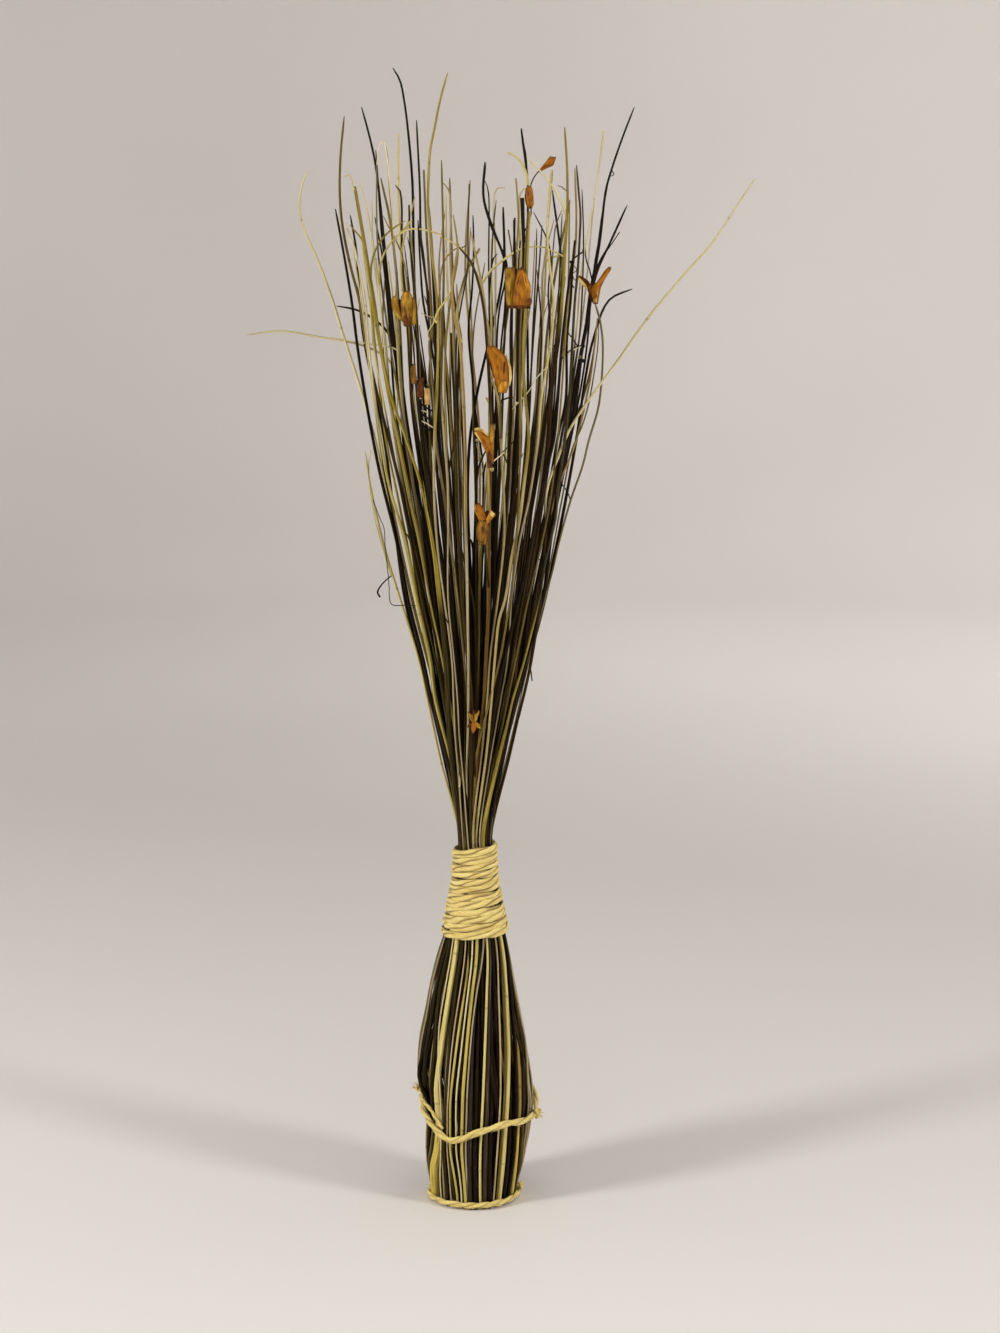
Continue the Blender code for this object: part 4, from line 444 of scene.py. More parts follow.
# Reeds whose upper end is cut or broken off short.
BLUNT = (
    "reed_broad_straw", "reed_olive_mid", "reed_brown_right", "reed_right_dark_two", "reed_back_07", "reed_back_09",
    "reed_inner_grey", "reed_inner_dark", "reed_thin_04", "reed_top_03", "reed_top_11", "reed_top_12", "reed_top_23",
    "reed_fill_04", "reed_fill_09", "reed_fill_15", "reed_fill_22", "reed_fill_27", "reed_fill_31",
)

# ----------------------------------------------------------------- materials
def linear(r, g, b):
    """Linear colour of a display colour in 0 to 255."""
    out = []
    for c in (r, g, b):
        c /= 255.0
        out.append(c / 12.92 if c <= 0.04045 else ((c + 0.055) / 1.055) ** 2.4)
    return (*out, 1.0)


# Tone: colour of the darker streaks (painted shade), the body, colour of the lighter streaks (painted light), and how
# glossy.
TONES = {
    "dark": ((8, 4, 1), (24, 14, 4), (54, 38, 15), 0.55),
    "darkolive": ((14, 10, 1), (38, 30, 6), (78, 66, 24), 0.52),
    "brown": ((17, 9, 2), (44, 28, 8), (86, 62, 26), 0.52),
    "olivedark": ((20, 15, 3), (50, 40, 10), (92, 78, 28), 0.52),
    "tanbrown": ((40, 27, 8), (88, 65, 27), (136, 110, 58), 0.50),
    "olive": ((40, 32, 6), (96, 80, 25), (156, 138, 60), 0.48),
    "gold": ((56, 46, 9), (140, 122, 44), (202, 184, 94), 0.46),
    "greyolive": ((54, 45, 20), (110, 96, 56), (164, 150, 102), 0.5),
    "tan": ((80, 60, 24), (150, 124, 68), (202, 178, 116), 0.5),
    "sand": ((84, 70, 36), (162, 144, 92), (208, 192, 140), 0.5),
    "goldlight": ((84, 72, 22), (172, 156, 76), (216, 202, 120), 0.48),
    "goldstraw": ((120, 98, 30), (200, 178, 84), (230, 210, 118), 0.48),
    "straw": ((128, 108, 50), (206, 190, 118), (238, 226, 162), 0.48),
    "yellow": ((112, 98, 38), (190, 174, 92), (226, 212, 136), 0.46),
    "pale": ((132, 114, 68), (210, 197, 148), (240, 231, 192), 0.5),
    "cream": ((140, 124, 80), (216, 203, 156), (242, 234, 200), 0.5),
    "grey": ((90, 78, 50), (164, 149, 112), (206, 193, 158), 0.52),
    "pink": ((114, 94, 62), (188, 167, 128), (220, 204, 170), 0.5),
}


class Nodes:
    """Short helpers to build a material's nodes."""

    def __init__(self, name):
        self.material = bpy.data.materials.new(name)
        self.material.use_nodes = True
        self.tree = self.material.node_tree
        self.shader = self.tree.nodes["Principled BSDF"]

    def new(self, kind, **settings):
        node = self.tree.nodes.new(kind)
        for key, value in settings.items():
            setattr(node, key, value)
        return node

    def link(self, a, b):
        self.tree.links.new(a, b)

    def attribute(self, name):
        return self.new("ShaderNodeAttribute", attribute_name=name)

    def stretched(self, vector, scale):
        node = self.new("ShaderNodeVectorMath", operation="MULTIPLY")
        self.link(vector, node.inputs[0])
        node.inputs[1].default_value = scale
        return node.outputs[0]

    def noise(self, vector, scale, detail=3.0, rough=0.55, warp=0.0):
        node = self.new("ShaderNodeTexNoise")
        node.inputs["Scale"].default_value = scale
        node.inputs["Detail"].default_value = detail
        node.inputs["Roughness"].default_value = rough
        node.inputs["Distortion"].default_value = warp
        self.link(vector, node.inputs["Vector"])
        return node.outputs["Fac"]

    def ramp(self, value, stops):
        node = self.new("ShaderNodeValToRGB")
        ramp = node.color_ramp
        while len(ramp.elements) < len(stops):
            ramp.elements.new(0.5)
        for element, (at, colour) in zip(ramp.elements, stops):
            element.position = at
            element.color = colour
        self.link(value, node.inputs["Fac"])
        return node.outputs["Color"]

    def remap(self, value, low, high, to_low=0.0, to_high=1.0):
        node = self.new("ShaderNodeMapRange")
        node.inputs["From Min"].default_value = low
        node.inputs["From Max"].default_value = high
        node.inputs["To Min"].default_value = to_low
        node.inputs["To Max"].default_value = to_high
        self.link(value, node.inputs["Value"])
        return node.outputs["Result"]

    def mix(self, factor, a, b, blend="MIX"):
        node = self.new("ShaderNodeMix", data_type="RGBA", blend_type=blend)
        for value, socket in ((factor, node.inputs[0]), (a, node.inputs[6]), (b, node.inputs[7])):
            if isinstance(value, bpy.types.NodeSocket):
                self.link(value, socket)
            else:
                socket.default_value = value
        return node.outputs[2]

    def product(self, a, b):
        node = self.new("ShaderNodeMath", operation="MULTIPLY")
        for value, socket in ((a, node.inputs[0]), (b, node.inputs[1])):
            if isinstance(value, bpy.types.NodeSocket):
                self.link(value, socket)
            else:
                socket.default_value = value
        return node.outputs[0]

    def bump(self, height, strength, distance):
        node = self.new("ShaderNodeBump")
        node.inputs["Strength"].default_value = strength
        node.inputs["Distance"].default_value = distance
        self.link(height, node.inputs["Height"])
        self.link(node.outputs["Normal"], self.shader.inputs["Normal"])


_reed_materials = {}


def reed_material(low, high, top=None, foot=None):
    """A dried reed: long streaks of its own uneven colour, which also carry painted light and painted shade, blotches,
    darker joints, cut ends. The tone changes inside the neck cord from the lower to the upper one, and some reeds
    change once more further up or near the foot."""
    if (low, high, top, foot) in _reed_materials:
        return _reed_materials[low, high, top, foot]
    n = Nodes("_".join(["reed", low] + [high] * (low != high) + ([top] if top else [])))
    grain = n.attribute("grain").outputs["Vector"]
    streak = n.noise(n.stretched(grain, (2.1, 2.1, 0.16)), 1.5, 5.0, 0.62)
    blotch = n.noise(n.stretched(grain, (0.5, 0.5, 0.085)), 1.6, 3.0, 0.6)
    fine = n.noise(n.stretched(grain, (5.0, 5.0, 0.55)), 1.6, 4.0, 0.7)
    speck = n.noise(n.stretched(grain, (1.6, 1.6, 1.4)), 2.2, 4.0, 0.75)

    # a tone's colour along the streaks: its painted shade, its body and its painted light
    def body(tone):
        shade, middle, lit, _ = TONES[tone]
        return n.ramp(n.remap(streak, 0.32, 0.68), [(0.0, linear(*shade)), (0.40, linear(*middle)),
                                                    (0.62, linear(*middle)), (1.0, linear(*lit))])
    colour = body(low)
    if foot:
        colour = n.mix(n.attribute("foot").outputs["Fac"], colour, body(foot))
    if low != high:
        colour = n.mix(n.attribute("up").outputs["Fac"], colour, body(high))
    if top:
        colour = n.mix(n.remap(n.mix(0.25, n.attribute("crest").outputs["Fac"], blotch), 0.30, 0.72), colour, body(top))
    deep = linear(*[0.62 * c for c in TONES[high][0]])
    colour = n.mix(n.remap(blotch, 0.56, 0.78, 0.0, 0.62), colour, deep)
    pale = linear(*[min(255, 1.12 * c) for c in TONES[high][2]])
    colour = n.mix(n.remap(blotch, 0.40, 0.22, 0.0, 0.40), colour, pale)
    colour = n.mix(n.remap(fine, 0.60, 0.80, 0.0, 0.50), colour, deep)
    colour = n.mix(n.remap(speck, 0.70, 0.80, 0.0, 0.55), colour, linear(52, 36, 16))
    colour = n.mix(n.remap(n.attribute("joint").outputs["Fac"], 0.15, 1.0, 0.0, 0.42), colour, linear(58, 42, 18))
    tip = n.remap(n.attribute("reach").outputs["Fac"], 0.86, 1.0, 0.0, 0.16)
    colour = n.mix(tip, colour, linear(92, 76, 44) if high not in ("dark", "brown", "olivedark") else linear(26, 20, 12))
    pith = n.ramp(n.noise(grain, 6.0, 4.0, 0.7), [(0.3, linear(112, 84, 44)), (0.7, linear(190, 160, 100))])
    colour = n.mix(n.attribute("cut").outputs["Fac"], colour, pith)
    n.link(colour, n.shader.inputs["Base Color"])
    gloss = TONES[high][3]
    n.link(n.remap(fine, 0.3, 0.75, gloss - 0.10, gloss + 0.18), n.shader.inputs["Roughness"])
    n.shader.inputs["Specular IOR Level"].default_value = 0.09 if high in ("dark", "brown", "olivedark", "tanbrown") else 0.30
    n.bump(n.mix(0.5, streak, fine), 0.45, 0.00035)
    _reed_materials[low, high, top, foot] = n.material
    return n.material


def cord_material(name, shade, body, lit, groove):
    """Twisted straw cord: fine fibres along the twist, their streaks the straw's own uneven colour with painted light
    and painted shade, and painted shade in the grooves between the plies and where the turns touch.
    """
    n = Nodes(name)
    grain = n.attribute("grain").outputs["Vector"]
    ply = n.attribute("ply").outputs["Fac"]
    fibre = n.noise(n.stretched(grain, (5.5, 5.5, 0.40)), 1.8, 4.0, 0.68)
    broad = n.noise(n.stretched(grain, (1.1, 1.1, 0.30)), 1.3, 3.0, 0.6)
    fleck = n.noise(n.stretched(grain, (3.0, 3.0, 1.6)), 2.6, 3.0, 0.7)
    # fibre and broad streaks run from the painted shade colour through the body to the painted light colour, over the
    # straw's own uneven colour
    colour = n.ramp(n.remap(fibre, 0.28, 0.72), [(0.0, linear(*shade)), (0.38, linear(*body)), (1.0, linear(*lit))])
    colour = n.mix(n.remap(broad, 0.50, 0.74, 0.0, 0.40), colour, linear(*lit))
    colour = n.mix(n.remap(broad, 0.44, 0.26, 0.0, 0.45), colour, linear(*shade))
    # darker flecks, in the same colour as the painted groove shade
    colour = n.mix(n.remap(fleck, 0.66, 0.76, 0.0, 0.50), colour, linear(*groove))
    colour = n.mix(n.product(n.remap(ply, 0.0, 1.0, 0.0, 1.0), 0.14), colour, linear(*shade))
    # painted shade in the grooves between the plies and where the turns touch
    colour = n.mix(n.remap(n.attribute("hollow").outputs["Fac"], 0.15, 0.85, 0.0, 0.84), colour, linear(*groove))
    n.link(colour, n.shader.inputs["Base Color"])
    n.link(n.remap(fibre, 0.3, 0.7, 0.58, 0.86), n.shader.inputs["Roughness"])
    n.shader.inputs["Specular IOR Level"].default_value = 0.30
    n.shader.inputs["Sheen Weight"].default_value = 0.20
    n.shader.inputs["Sheen Roughness"].default_value = 0.45
    n.bump(n.mix(0.35, fibre, fleck), 0.85, 0.00040)
    return n.material


def husk_material(name, deep, body, lit):
    """Papery husk: long veins and mottling from a deep tone up to a painted lit tone, darker edges, a little light
    through the thin wall."""
    n = Nodes(name)
    grain = n.attribute("grain").outputs["Vector"]
    vein = n.noise(n.stretched(grain, (4.5, 1.0, 0.20)), 1.9, 4.0, 0.60)
    mottle = n.noise(n.stretched(grain, (0.8, 1.0, 0.32)), 1.3, 3.0, 0.55)
    grit = n.noise(n.stretched(grain, (3.0, 1.0, 2.0)), 4.0, 4.0, 0.7)
    # mottling and veins run from the deep tone through the body to the painted lit tone
    colour = n.ramp(n.remap(mottle, 0.30, 0.70), [(0.0, linear(*deep)), (0.45, linear(*body)), (1.0, linear(*lit))])
    colour = n.mix(n.remap(vein, 0.56, 0.80, 0.0, 0.30), colour, linear(*deep))
    colour = n.mix(n.remap(vein, 0.44, 0.24, 0.0, 0.26), colour, linear(*lit))
    colour = n.mix(n.remap(grit, 0.70, 0.84, 0.0, 0.20), colour, linear(*[0.6 * c for c in deep]))
    rim = n.product(n.attribute("edge").outputs["Fac"], n.remap(grit, 0.3, 0.6, 0.45, 1.0))
    colour = n.mix(rim, colour, linear(*[0.42 * c for c in deep]))
    n.link(colour, n.shader.inputs["Base Color"])
    n.link(n.remap(mottle, 0.3, 0.7, 0.48, 0.72), n.shader.inputs["Roughness"])
    n.shader.inputs["Specular IOR Level"].default_value = 0.16
    n.shader.inputs["Subsurface Weight"].default_value = 0.08
    n.shader.inputs["Subsurface Radius"].default_value = (0.004, 0.002, 0.0008)
    n.shader.inputs["Subsurface Scale"].default_value = 1.0
    n.bump(n.mix(0.5, vein, grit), 0.4, 0.00030)
    return n.material


# ------------------------------------------------------------------ geometry
def along(table, z):
    """Value of a (height, value) table at a height."""
    return float(np.interp(z, [row[0] for row in table], [row[1] for row in table]))


def height_at(v, y):
    """Height of a point on sheet row v at depth y."""
    s, c = math.sin(EYE_DOWN), math.cos(EYE_DOWN)
    k = (SHEET_MID[1] - v) / SHEET_DISTANCE
    dy = y - EYE[1]
    return EYE[2] + (k * dy * c - dy * s) / (c + k * s)


def across_at(u, y, z):
    """Sideways place of a point on sheet column u at depth y and height z."""
    s, c = math.sin(EYE_DOWN), math.cos(EYE_DOWN)
    away = (y - EYE[1]) * c - (z - EYE[2]) * s
    return EYE[0] + (u - SHEET_MID[0]) * away / SHEET_DISTANCE


def on_spray(u, v, forward):
    """World point of a sheet point that lies `forward` of the way to the
    front face of the bundle's own round outline."""
    y = 0.0
    for _ in range(12):
        z = height_at(v, y)
        x = across_at(u, y, z) - along(RING_MIDDLE, z)
        r = along(RING, z)
        y = 0.5 * y - 0.5 * forward * math.sqrt(max(r * r - x * x, (0.12 * r) ** 2))
    return Vector((across_at(u, y, height_at(v, y)), y, height_at(v, y)))


def smooth_course(points, step=0.004):
    """Centripetal Catmull-Rom curve through the points, as dense points."""
    pts = [Vector(p) for p in points]
    pts = [pts[0] * 2 - pts[1]] + pts + [pts[-1] * 2 - pts[-2]]
    out = [pts[1].copy()]
    for a, b, c, d in zip(pts, pts[1:], pts[2:], pts[3:]):
        t0 = 0.0
        t1 = t0 + max((b - a).length, 1e-6) ** 0.5
        t2 = t1 + max((c - b).length, 1e-6) ** 0.5
        t3 = t2 + max((d - c).length, 1e-6) ** 0.5
        n = max(1, round((c - b).length / step))
        for i in range(1, n + 1):
            t = t1 + (t2 - t1) * i / n
            a1 = a * ((t1 - t) / (t1 - t0)) + b * ((t - t0) / (t1 - t0))
            a2 = b * ((t2 - t) / (t2 - t1)) + c * ((t - t1) / (t2 - t1))
            a3 = c * ((t3 - t) / (t3 - t2)) + d * ((t - t2) / (t3 - t2))
            b1 = a1 * ((t2 - t) / (t2 - t0)) + a2 * ((t - t0) / (t2 - t0))
            b2 = a2 * ((t3 - t) / (t3 - t1)) + a3 * ((t - t1) / (t3 - t1))
            out.append(b1 * ((t2 - t) / (t2 - t1)) + b2 * ((t - t1) / (t2 - t1)))
    return out


def bundle_outside(z):
    """Outer radius of the reeds at a height inside the ties, where each
    faceted reed runs straight between the shared stations."""
    straight = float(np.interp(z, LOW_STATIONS, [along(RING, s) for s in LOW_STATIONS]))
    return max(straight, along(RING, z)) + REED_REACH


def round_bundle(azimuth, z, reach):
    """Point at a reach from the bundle's middle."""
    return Vector((along(RING_MIDDLE, z) + reach * math.sin(azimuth), -reach * math.cos(azimuth), z))


def ring_point(azimuth, z, inset=0.0):
    r = along(RING, z) - inset
    return round_bundle(azimuth, z, r)


def steady(azimuth, z):
    """Azimuth of a reed that runs on straight where the bundle's outline
    shifts sideways round it."""
    return azimuth - along(RING_MIDDLE, z) / along(RING, z) * math.cos(azimuth)


def drawn_rows(rows, step=13.0):
    """A drawn line's (u, v) points with more of them in between."""
    out = []
    for (u0, v0), (u1, v1) in zip(rows, rows[1:]):
        n = max(1, math.ceil(abs(v1 - v0) / step))
        out += [(u0 + (u1 - u0) * k / n, v0 + (v1 - v0) * k / n) for k in range(n)]
    return out + [rows[-1]]


def low_course(azimuths, inset):
    """Points on the bundle's ring from the foot to the neck; azimuths is a
    (height, azimuth) table."""
    rows = (0.0, 0.012, 0.035, 0.055, 0.075, 0.095, 0.115, 0.147, 0.175, 0.205,
            0.230, 0.252, 0.275, 0.297, 0.318, 0.340)
    return [ring_point(along(azimuths, z), z, inset * min(1.0, z / 0.2)) for z in rows]


def reed_courses():
    """Every reed as (name, tone, belly radius, dense centre line)."""
    reeds = []
    for index, (name, tone, radius, low, high, forward) in enumerate(FRONT):
        table = []
        for u, v in drawn_rows(list(zip(low, LOW_ROWS))):
            p = on_spray(u, v, 1.0)
            r = along(RING, p.z)
            table.append((p.z, math.asin(max(-0.999, min(0.999, (p.x - along(RING_MIDDLE, p.z)) / r)))))
        if name in SIDE_FEET:
            foot, shin = SIDE_FEET[name]
            table = [row for row in table if row[0] > 0.10] + [(0.0, math.radians(foot)), (0.055, math.radians(shin))]
        table.sort()
        top = on_spray(high[0][1], high[0][0], max(forward, 0.3))
        r = along(RING, 0.34)
        neck = math.asin(max(-0.97, min(0.97, top.x / r)))
        table.append((0.340, neck))
        inset = 0.0030 * (index % 3) * (1.0 if index not in (4, 7, 8, 16) else 0.0)
        points = low_course(table, inset)
        for v, u in high:
            p = on_spray(u, v, forward)
            if p.z > 0.385:
                points.append(p)
        reeds.append((name, tone, radius / 1000.0, points))
    for index, (name, tone, radius, degrees, high, forward) in enumerate(BACK):
        azimuth = math.radians(degrees)
        first = on_spray(high[0][1], high[0][0], forward)
        neck = azimuth + 0.25 * math.sin(2.3 * index)
        foot = math.radians(173.5 + 0.823 * (degrees - 180.0))
        turns = ((0.0, foot), (0.055, 0.4 * foot + 0.6 * azimuth), (0.115, azimuth), (0.34, neck))
        table = [(z, steady(along(turns, z), z)) for z in (0.0, 0.035, 0.055, 0.070, 0.085, 0.100, 0.115, 0.135, 0.175, 0.215, 0.252, 0.34)]
        points = low_course(table, 0.0030 * ((index + 1) % 3))
        crown = points[-1]
        for z in (0.40, 0.46):
            lean = ((z - 0.34) / (first.z - 0.34)) ** NECK_SPREAD
            points.append(Vector((crown.x, crown.y, z)).lerp(Vector((first.x, first.y, z)), lean))
        points += [on_spray(u, v, forward) for v, u in high]
        reeds.append((name, tone, radius / 1000.0, points))
    for name, tone, radius, degrees, high, forward in INNER:
        azimuth = math.radians(degrees)
        points = []
        for z in (0.0, 0.035, 0.075, 0.115, 0.147, 0.185, 0.222, 0.252, 0.297, 0.340):
            points.append(ring_point(steady(azimuth, z), z, min(INNER_INSET, 0.55 * along(RING, z))))
        first = on_spray(high[0][1], high[0][0], forward)
        crown = points[-1]
        for z in (0.40, 0.46):
            lean = ((z - 0.34) / (first.z - 0.34)) ** NECK_SPREAD
            points.append(Vector((crown.x, crown.y, z)).lerp(Vector((first.x, first.y, z)), lean))
        points += [on_spray(u, v, forward) for v, u in high]
        reeds.append((name, tone, radius / 1000.0, points))
    return [(n, t, r, smooth_course(p)) for n, t, r, p in reeds]


def reed_radius(belly_radius, z, tip_fraction):
    """Radius of a reed: full at the belly, slimmer in the neck and the spray,
    fine at the tip. tip_fraction runs from 0 at the neck to 1 at the tip."""
    body = along(((0.0, 1.0), (0.12, 1.0), (0.25, 0.90), (0.34, 0.86), (0.56, 0.82), (1.1, 0.74)), z)
    taper = along(((0.0, 1.0), (0.55, 0.88), (0.85, 0.62), (1.0, 0.40)), tip_fraction)
    return belly_radius * body * taper


def stations_of(course, belly_radius):
    """A dense centre line cut down to the faceted stations, with radii."""
    heights = np.array([p.z for p in course])
    crown = next(i for i, z in enumerate(heights) if z >= LOW_STATIONS[-1] - 1e-6)
    points = []
    low = np.array([tuple(p) for p in course[: crown + 2]])
    for z in LOW_STATIONS:
        points.append((np.interp(z, low[:, 2], low[:, 0]), np.interp(z, low[:, 2], low[:, 1]), z))
    upper = [Vector(points[-1])] + [p for p in course[crown + 1:]]
    lengths = [0.0]
    for a, b in zip(upper, upper[1:]):
        lengths.append(lengths[-1] + (b - a).length)
    # more stations where the upper course turns more
    turn = [0.0]
    for i in range(1, len(upper) - 1):
        a, b = upper[i] - upper[i - 1], upper[i + 1] - upper[i]
        turn.append(turn[-1] + a.angle(b, 0.0))
    turn.append(turn[-1])
    count = 3 + min(3, int(turn[-1] / 0.60) + (1 if lengths[-1] > 0.55 else 0))
    weight = [l / lengths[-1] + 0.55 * t / max(turn[-1], 0.6) for l, t in zip(lengths, turn)]
    fractions = [0.0] * len(points)
    for k in range(1, count + 1):
        target = weight[-1] * k / count
        i = max(1, int(np.searchsorted(weight, target - 1e-9)))
        i = min(i, len(upper) - 1)
        points.append(tuple(upper[i]))
        fractions.append(lengths[i] / lengths[-1])
    radii = [reed_radius(belly_radius, p[2], f) for p, f in zip(points, fractions)]
    return np.array(points, float), np.array(radii, float)


def closest(p1, q1, p2, q2):
    """Closest points of many segment pairs: parameters s, t."""
    d1, d2, r = q1 - p1, q2 - p2, p1 - p2
    a = np.einsum("ij,ij->i", d1, d1) + 1e-12
    e = np.einsum("ij,ij->i", d2, d2) + 1e-12
    f = np.einsum("ij,ij->i", d2, r)
    c = np.einsum("ij,ij->i", d1, r)
    b = np.einsum("ij,ij->i", d1, d2)
    denom = a * e - b * b
    s = np.clip(np.where(denom > 1e-14, (b * f - c * e) / np.where(denom > 1e-14, denom, 1.0), 0.5), 0.0, 1.0)
    t = (b * s + f) / e
    t_clip = np.clip(t, 0.0, 1.0)
    s = np.where(t != t_clip, np.clip((b * t_clip - c) / a, 0.0, 1.0), s)
    return s, t_clip


def settle(chains, fixed, rounds=420):
    """Push the centre lines apart until no two pieces touch. Chains are
    (points, radii); fixed is a list of (start, end, radius) bars that stay."""
    points = np.concatenate([c[0] for c in chains])
    radii = np.concatenate([c[1] for c in chains])
    home = points.copy()
    seg, owner = [], []
    base = 0
    for k, (pts, _) in enumerate(chains):
        for i in range(len(pts) - 1):
            seg.append((base + i, base + i + 1))
            owner.append(k)
        base += len(pts)
    seg, owner = np.array(seg), np.array(owner)
    n = len(seg)
    bar_a = np.array([f[0] for f in fixed])
    bar_b = np.array([f[1] for f in fixed])
    bar_r = np.array([f[2] for f in fixed])
    iu, ju = np.triu_indices(n, 1)
    keep = owner[iu] != owner[ju]
    iu, ju = iu[keep], ju[keep]
    limit = np.array([[z, along(RING, z), along(RING_MIDDLE, z)] for z in np.linspace(0.0, 0.36, 181)])
    pair_i = pair_j = bar_i = bar_j = None
    for turn in range(rounds):
        a, b = points[seg[:, 0]], points[seg[:, 1]]
        if turn % 12 == 0:
            lo = np.minimum(a, b) - 0.006
            hi = np.maximum(a, b) + 0.006
            near = np.all((lo[iu] <= hi[ju]) & (lo[ju] <= hi[iu]), axis=1)
            pair_i, pair_j = iu[near], ju[near]
            bl = np.minimum(bar_a, bar_b) - bar_r[:, None] - 0.006
            bh = np.maximum(bar_a, bar_b) + bar_r[:, None] + 0.006
            hit = np.all((lo[:, None, :] <= bh[None]) & (bl[None] <= hi[:, None, :]), axis=2)
            bar_i, bar_j = np.nonzero(hit)
        move = np.zeros_like(points)
        count = np.full(len(points), 1e-9)
        if len(pair_i):
            s, t = closest(a[pair_i], b[pair_i], a[pair_j], b[pair_j])
            ra = radii[seg[pair_i, 0]] * (1 - s) + radii[seg[pair_i, 1]] * s
            rb = radii[seg[pair_j, 0]] * (1 - t) + radii[seg[pair_j, 1]] * t
            pa = a[pair_i] * (1 - s)[:, None] + b[pair_i] * s[:, None]
            pb = a[pair_j] * (1 - t)[:, None] + b[pair_j] * t[:, None]
            gap = pa - pb
            dist = np.linalg.norm(gap, axis=1)
            short = ra + rb + 1.5 * GAP - dist
            touch = short > 0
            if touch.any():
                s, t, gap, dist, short = s[touch], t[touch], gap[touch], dist[touch], short[touch]
                side = gap / np.maximum(dist, 1e-9)[:, None]
                side[:, 2] = 0.0
                side /= np.maximum(np.linalg.norm(side, axis=1), 1e-6)[:, None]
                push = side * (0.5 * short)[:, None]
                for who, w, sign in (
                    (seg[pair_i[touch], 0], 1 - s, 1), (seg[pair_i[touch], 1], s, 1),
                    (seg[pair_j[touch], 0], 1 - t, -1), (seg[pair_j[touch], 1], t, -1),
                ):
                    np.add.at(move, who, sign * push * w[:, None])
                    np.add.at(count, who, w * w)
        if len(bar_i):
            s, t = closest(a[bar_i], b[bar_i], bar_a[bar_j], bar_b[bar_j])
            ra = radii[seg[bar_i, 0]] * (1 - s) + radii[seg[bar_i, 1]] * s
            pa = a[bar_i] * (1 - s)[:, None] + b[bar_i] * s[:, None]
            pb = bar_a[bar_j] * (1 - t)[:, None] + bar_b[bar_j] * t[:, None]
            gap = pa - pb
            dist = np.linalg.norm(gap, axis=1)
            short = ra + bar_r[bar_j] + 1.5 * GAP - dist
            touch = short > 0
            if touch.any():
                s, gap, dist, short = s[touch], gap[touch], dist[touch], short[touch]
                side = gap / np.maximum(dist, 1e-9)[:, None]
                side[:, 2] = 0.0
                side /= np.maximum(np.linalg.norm(side, axis=1), 1e-6)[:, None]
                push = side * short[:, None]
                for who, w in ((seg[bar_i[touch], 0], 1 - s), (seg[bar_i[touch], 1], s)):
                    np.add.at(move, who, push * w[:, None])
                    np.add.at(count, who, w * w)
        points += move / np.maximum(count, 1.0)[:, None] * 1.15
        if turn < rounds * 0.6:
            points += (home - points) * 0.01
        # inside the ties no reed leaves the bundle's round outline
        bound = points[:, 2] < 0.345
        middle = np.zeros((len(points), 2))
        middle[:, 0] = np.interp(points[:, 2], limit[:, 0], limit[:, 2])
        r = np.linalg.norm(points[:, :2] - middle, axis=1)
        most = np.interp(points[:, 2], limit[:, 0], limit[:, 1]) + REED_REACH - radii
        over = bound & (r > most)
        points[over, :2] = middle[over] + (points[over, :2] - middle[over]) * (most[over] / r[over])[:, None]
    out, base = [], 0
    for pts, rad in chains:
        out.append((points[base:base + len(pts)], rad))
        base += len(pts)
    return out


def neck_turns():
    """Centre line of the neck cord, from its lower to its upper end."""
    turns = (NECK_CORD_TOP - NECK_CORD_BOTTOM - 2 * NECK_CORD_HALF_HEIGHT) / NECK_CORD_PITCH
    steps = round(turns * 12)
    points = []
    for i in range(steps + 1):
        angle = 2 * math.pi * i / 12 + math.radians(200)
        z = NECK_CORD_BOTTOM + NECK_CORD_HALF_HEIGHT + NECK_CORD_PITCH * i / 12
        # the chords of the twelve-sided turn come in, so its corners go out
        reach = (bundle_outside(z - 0.8 * NECK_CORD_HALF_HEIGHT) + GAP + NECK_CORD_HALF_DEPTH) / math.cos(math.pi / 12)
        points.append(Vector((reach * math.sin(angle), -reach * math.cos(angle), z)))
    return points


# Belly cord: its front on the sheet from the left edge to the knot at the
# right, and the rest as azimuth in degrees and height.
BELLY_FRONT = (
    (421.5, 1106), (424, 1111), (427.5, 1118), (431.5, 1124.5), (437, 1131), (443, 1136.5), (449, 1140.4), (453, 1140.8),
    (460, 1139.3), (468, 1136.4), (476, 1133), (486, 1130), (494, 1127.5), (502, 1125), (510, 1122.6), (516, 1122.3),
    (521, 1121.3), (525, 1119.8), (530, 1117), (533.5, 1114.5),
)
BELLY_BACK = ((105, 0.0945), (150, 0.0965), (200, 0.0985), (245, 0.1010))
# The cord's second run at the left, above the first.
BELLY_TAIL = ((414.5, 1086), (419, 1095), (424, 1101.5), (429, 1107.5), (433, 1113), (437, 1120), (440, 1124.5))
BELLY_TAIL_RADIUS = 0.0018


def wrapped(u, v, reach):
    """Azimuth in degrees and height of a sheet point on the bundle's outside."""
    y = -0.05
    for _ in range(14):
        z = height_at(v, y)
        r = bundle_outside(z) + reach
        x = max(-0.999 * r, min(0.999 * r, across_at(u, y, z) - along(RING_MIDDLE, z)))
        y = -math.sqrt(r * r - x * x)
    return math.degrees(math.atan2(x, -y)), z


def belly_course():
    """The belly cord as (azimuth, height) once round from the left."""
    rows = sorted([wrapped(u, v, GAP + BELLY_CORD_RADIUS) for u, v in BELLY_FRONT] + list(BELLY_BACK))
    return rows + [(rows[0][0] + 360.0, rows[0][1])]


def belly_loop_points(steps=30):
    """The cord once round the belly."""
    rows = belly_course()
    points = []
    for i in range(steps):
        d = rows[0][0] + 360.0 * i / steps
        z = float(np.interp(d, [row[0] for row in rows], [row[1] for row in rows]))
        reach = (bundle_outside(z) + GAP + BELLY_CORD_RADIUS * 0.85) / math.cos(math.pi / steps)
        points.append(round_bundle(math.radians(d), z, reach + 0.0003))
    return points


